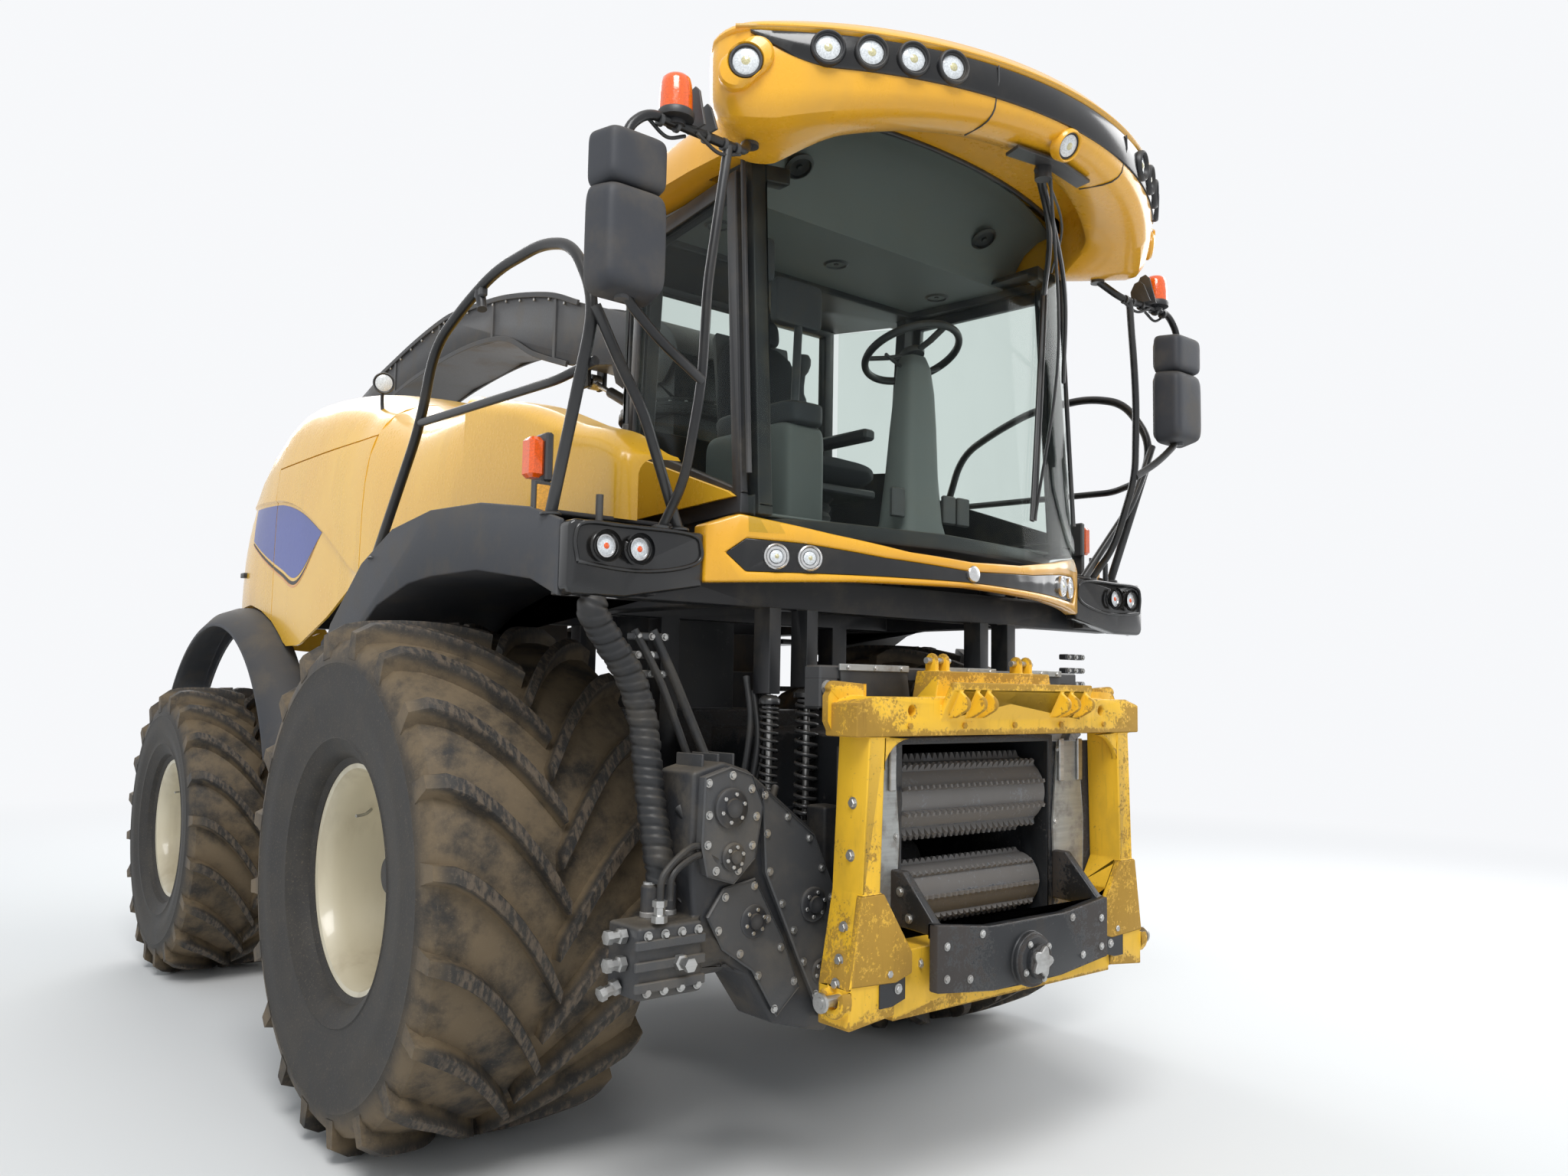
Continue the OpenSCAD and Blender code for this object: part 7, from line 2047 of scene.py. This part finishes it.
@dataclass
class SpoutTrim:
    """Flanges, ribs, bolts, work lamp and hoses on the discharge spout."""

    half: float = 210.0

    def build(self) -> None:
        """Makes the trim along the spout's top and bottom lines."""
        form = Form()
        top = [(1002, 3657), (1329, 3780), (1864, 3895), (2400, 3945), (2682, 3954), (3141, 3899), (3705, 3796)]
        low = [(1100, 3340), (1468, 3470), (1849, 3640), (2400, 3690), (3100, 3650), (3705, 3560)]
        for side in (1, -1):
            for line, lift in ((top, -4.0), (low, 4.0)):
                path = smooth_path([(side * (self.half + 5), y, z + lift) for y, z in line], 8)
                form.tube(mm(path), 1.0, section=rounded_rect(0.014, 0.030, 0.003, 1))
            for y in np.arange(1150, 3700, 170.0):
                z = np.interp(y, *zip(*top)) - 26
                form.bolt(mm([side * (self.half + 1), y, z]), (side, 0, 0), 0.009, 0.007, 1, False)
            for y in (1250.0, 2000.0, 2750.0, 3450.0):
                a, b = np.interp(y, *zip(*low)), np.interp(y, *zip(*top))
                form.box([side * self.half - 3 * side - 3, y - 12, a + 14],
                         [side * self.half + 8 * side + 3, y + 12, b - 16], 0.003)
        for offset in (-40.0, 0.0):
            line = [(self.half + 24, y, z + offset - 60) for y, z in top[1:]]
            form.pipe(line, 0.011, 8, 10, 2)
        form.turned([[0, 0], [40, 0], [54, 14], [56, 44], [50, 50], [0, 50]], [-150, 4300, 3560], (0, 0.35, -0.94), 28,
                    0)
        form.piece("spout_trim", (BLACK, STEEL, HOSE), sharp=40, body="spout")
        ring = Form()
        place = [0, 350, 2962]
        ring.turned([[276, 0], [292, 0], [292, 16], [276, 16], [276, 0]], place, UP, 72, 0)
        for a in np.linspace(0, 2 * math.pi, 24, endpoint=False):
            ring.bolt(mm([284 * math.cos(a), 350 + 284 * math.sin(a), 2978]), UP, 0.008, 0.007, 1, False)
        ring.piece("turret_ring", (BLACK, STEEL), sharp=40, body="spout_turret")


@dataclass
class Underbody:
    """Valve blocks and hoses that show between the front wheels, above the feeder."""

    def build(self) -> None:
        """Makes the hoses and the blocks that they come from."""
        form = Form()
        for side in (1, -1):
            for k, (x, z) in enumerate(((620, 1560), (655, 1530), (690, 1580))):
                form.pipe([(side * x, -1080, z + 120), (side * (x + 10), -1120, z - 60),
                           (side * (x + 40), -1090, z - 260 - 40 * k), (side * (x - 20), -960, z - 420)], 0.012, 8, 10,
                           0)
            for z in (1700, 1760, 1820):
                form.box([side * 1130 - 70, -1140, z - 12], [side * 1130 + 70, -1100, z + 12], 0.004, 1)
                for x in (1080, 1130, 1180):
                    form.bolt(mm([side * x, -1140, z]), AHEAD, 0.009, 0.01, 2)
        form.pipe([(-1120, -1130, 1840), (-1060, -1160, 1700), (-1000, -1180, 1560), (-960, -1220, 1430)], 0.016, 8,
                  12, 0)
        form.pipe([(-1190, -1130, 1840), (-1120, -1170, 1690), (-1060, -1190, 1540), (-1020, -1200, 1440)], 0.013, 8,
                  12, 0)
        form.piece("valve_hoses", (HOSE, IRON, STEEL), sharp=40)


# Stage

@dataclass
class Stage:
    """Floor, light and camera."""

    eye: Point = at(-3260.4, -4328.9, 1664.6)
    yaw: float = -40.1
    pitch: float = 4.8
    roll: float = 1.0
    focal_px: float = 1542.2
    image_w: int = 2048
    sensor: float = 36.0

    def camera(self) -> None:
        """Places the camera: the forward, right and up axes follow from yaw, pitch and roll."""
        yaw, pitch, roll = (math.radians(a) for a in (self.yaw, self.pitch, self.roll))
        forward = np.array([-math.sin(yaw) * math.cos(pitch), math.cos(yaw) * math.cos(pitch), math.sin(pitch)])
        right = np.array([math.cos(yaw), math.sin(yaw), 0.0])
        up = np.cross(right, forward)
        turned_right = math.cos(roll) * right + math.sin(roll) * up
        turned_up = -math.sin(roll) * right + math.cos(roll) * up
        data = bpy.data.cameras.new("camera")
        data.sensor_fit = "HORIZONTAL"
        data.sensor_width = self.sensor
        data.lens = self.sensor * self.focal_px / self.image_w
        data.clip_end = 200.0
        camera = bpy.data.objects.new("camera", data)
        bpy.context.scene.collection.objects.link(camera)
        matrix = np.eye(4)
        matrix[:3, :3] = np.column_stack((turned_right, turned_up, -forward))
        matrix[:3, 3] = self.eye
        camera.matrix_world = Matrix(matrix.tolist())
        bpy.context.scene.camera = camera

    def floor(self) -> None:
        """A plain pale floor under the wheels."""
        size = 40.0
        mesh = bpy.data.meshes.new("floor")
        mesh.from_pydata([(-size, -size, 0), (size, -size, 0), (size, size, 0), (-size, size, 0)], [], [(0, 1, 2, 3)])
        floor = bpy.data.objects.new("floor", mesh)
        bpy.context.scene.collection.objects.link(floor)
        sh = Shader("floor_paint")
        x, y, _ = sh.place()
        sh.set(Base_Color=(0.78, 0.78, 0.77), Roughness=0.85)
        far = ((x * x + y * y).apply("SQRT")).ramp(4.5, 13.0)
        glow = sh.node("ShaderNodeEmission", {}, {0: (0.93, 0.94, 0.96), 1: 1.0})
        mixed = sh.node("ShaderNodeMixShader", {}, {0: far, 1: sh.bsdf.outputs[0], 2: glow.outputs[0]})
        sh.tree.links.new(mixed.outputs[0], sh.output.inputs[0])
        mesh.materials.append(sh.material)

    def world(self) -> None:
        """White background for the camera and for reflections, and an even soft light on the object."""
        world = bpy.data.worlds.new("studio")
        bpy.context.scene.world = world
        world.use_nodes = True
        tree = world.node_tree
        tree.nodes.clear()
        output, shown, light, path, rays, more, mixed = (tree.nodes.new("ShaderNode" + kind) for kind in (
            "OutputWorld", "Background", "Background", "LightPath", "Math", "Math", "MixShader"))
        for made, colour, strength in ((shown, (0.93, 0.94, 0.96, 1.0), 1.0), (light, (0.86, 0.93, 1.0, 1.0), 0.62)):
            made.inputs[0].default_value, made.inputs[1].default_value = colour, strength
        rays.operation = more.operation = "MAXIMUM"
        for start, end in ((path.outputs["Is Camera Ray"], rays.inputs[0]),
                           (path.outputs["Is Glossy Ray"], rays.inputs[1]),
                           (rays.outputs[0], more.inputs[0]), (path.outputs["Is Transmission Ray"], more.inputs[1]),
                           (more.outputs[0], mixed.inputs[0]), (light.outputs[0], mixed.inputs[1]),
                           (shown.outputs[0], mixed.inputs[2]), (mixed.outputs[0], output.inputs[0])):
            tree.links.new(start, end)

    def lamps(self) -> None:
        """A large high key light from the camera's left, a weaker fill from its right and a rim light from behind."""
        for name, place, aim, size, power in (
                ("key", (-5.0, -8.0, 11.0), (0.0, 0.0, 1.5), 5.0, 980.0),
                ("fill", (9.0, -3.0, 6.0), (0.0, 0.0, 1.5), 6.0, 420.0),
                ("rim", (2.0, 10.0, 8.0), (0.0, 0.0, 2.0), 6.0, 500.0)):
            data = bpy.data.lights.new(name, "AREA")
            data.size = size
            data.energy = power
            lamp = bpy.data.objects.new(name, data)
            bpy.context.scene.collection.objects.link(lamp)
            lamp.location = place
            lamp.rotation_euler = (Vector(place) - Vector(aim)).to_track_quat("Z", "Y").to_euler()

    def build(self) -> None:
        """Makes the whole stage."""
        self.camera()
        self.floor()
        self.world()
        self.lamps()


# Hard CAD nodes shown with rounded edges: node, body, finish, material slot, rounding in metres, and then the angle
# in degrees above which an edge is rounded and the boxes cut away, where the usual ones do not serve.
SOFTENED = (
    ("chassis_frame", "chassis", BLACK, "chassis_black", 0.004),
    ("front_axle", "chassis", BLACK, "chassis_black", 0.006),
    ("rear_axle", "chassis", BLACK, "chassis_black", 0.006),
    ("engine_block", "chassis", IRON, "engine_iron", 0.01),
    ("cutterhead_housing", "chassis", DARK_PAINT, "chassis_black", 0.005),
    ("lower_panels", "chassis", GREY_MOULD, "grey_plastic", 0.006),
    ("rear_fenders", "chassis", GREY_MOULD, "grey_plastic", 0.006),
    ("front_fenders", "chassis", GREY_MOULD, "grey_plastic", 0.006),
    ("wings", "chassis", PIANO_BLACK, "gloss_black", 0.012),
    ("nose_band", "chassis", DEEP_YELLOW, "body_yellow", 0.008),
    ("nose_insert", "chassis", PIANO_BLACK, "gloss_black", 0.003),
    ("cab_frame", "chassis", BLACK, "black_plastic", 0.006, 28.0,
     ((at(-690, -1420, 3380), at(690, -1000, 3500)),)),
    ("door_frame", "cab_door", BLACK, "black_plastic", 0.005),
    ("ladder", "chassis", TUBE_BLACK, "chassis_black", 0.004),
    ("knuckle_left", "knuckle_left", BLACK, "chassis_black", 0.005),
    ("knuckle_right", "knuckle_right", BLACK, "chassis_black", 0.005),
    ("feeder_housing", "feeder", DARK_PAINT, "chassis_black", 0.004),
    ("feeder_gearbox", "feeder", IRON, "chassis_black", 0.012),
    ("swing_plate", "feeder", DARK_PAINT, "chassis_black", 0.006),
    ("coupling_frame", "coupling_frame", FRAME_PAINT, "frame_yellow", 0.005),
    ("lift_barrels", "lift_barrels", BLACK, "chassis_black", 0.004),
    ("spout_turret", "spout_turret", BLACK, "chassis_black", 0.004),
    ("spout", "spout", BLACK, "chassis_black", 0.005),
    ("spout_flap", "spout_flap", BLACK, "chassis_black", 0.003),
    ("spout_cylinder", "spout_cylinder", BLACK, "chassis_black", 0.003))


def main() -> None:
    """Builds everything in order."""
    bpy.context.scene.view_settings.view_transform = "Standard"
    Stage().build()
    for part in SOFTENED:
        soften(*part)
    for finish, nodes in ((GLASS, ("cab_glass", "door_glass")), (BRIGHT, ("tie_rod", "lift_rods", "spout_rod")),
                          (ROLL_STEEL, ("upper_front_roll", "upper_rear_roll", "lower_front_roll", "lower_rear_roll"))):
        for node in nodes:
            dress(node, finish)
    for wheel in wheels():
        wheel.build()
    springs = (Springs("outer_springs", 468.0, 1664.0, 1163.0, 90.0, 8.0, 13, stands_for=("feeder_springs",)),
               Springs("inner_springs", 640.0, 1640.0, 1240.0, 70.0, 6.0, 13))
    for assembly in (Bonnet(), Fairing(), Visor(), Railing(), Mirrors(), NoseTrim(), *springs, WrappedHose(),
                     DriveTrim(), FeederTrim(), FrameTrim(), Roof(), Cab(), SpoutTrim(), Underbody()):
        assembly.build()


if __name__ == "__main__":
    logging.basicConfig(level=logging.INFO, format="%(message)s")
    main()
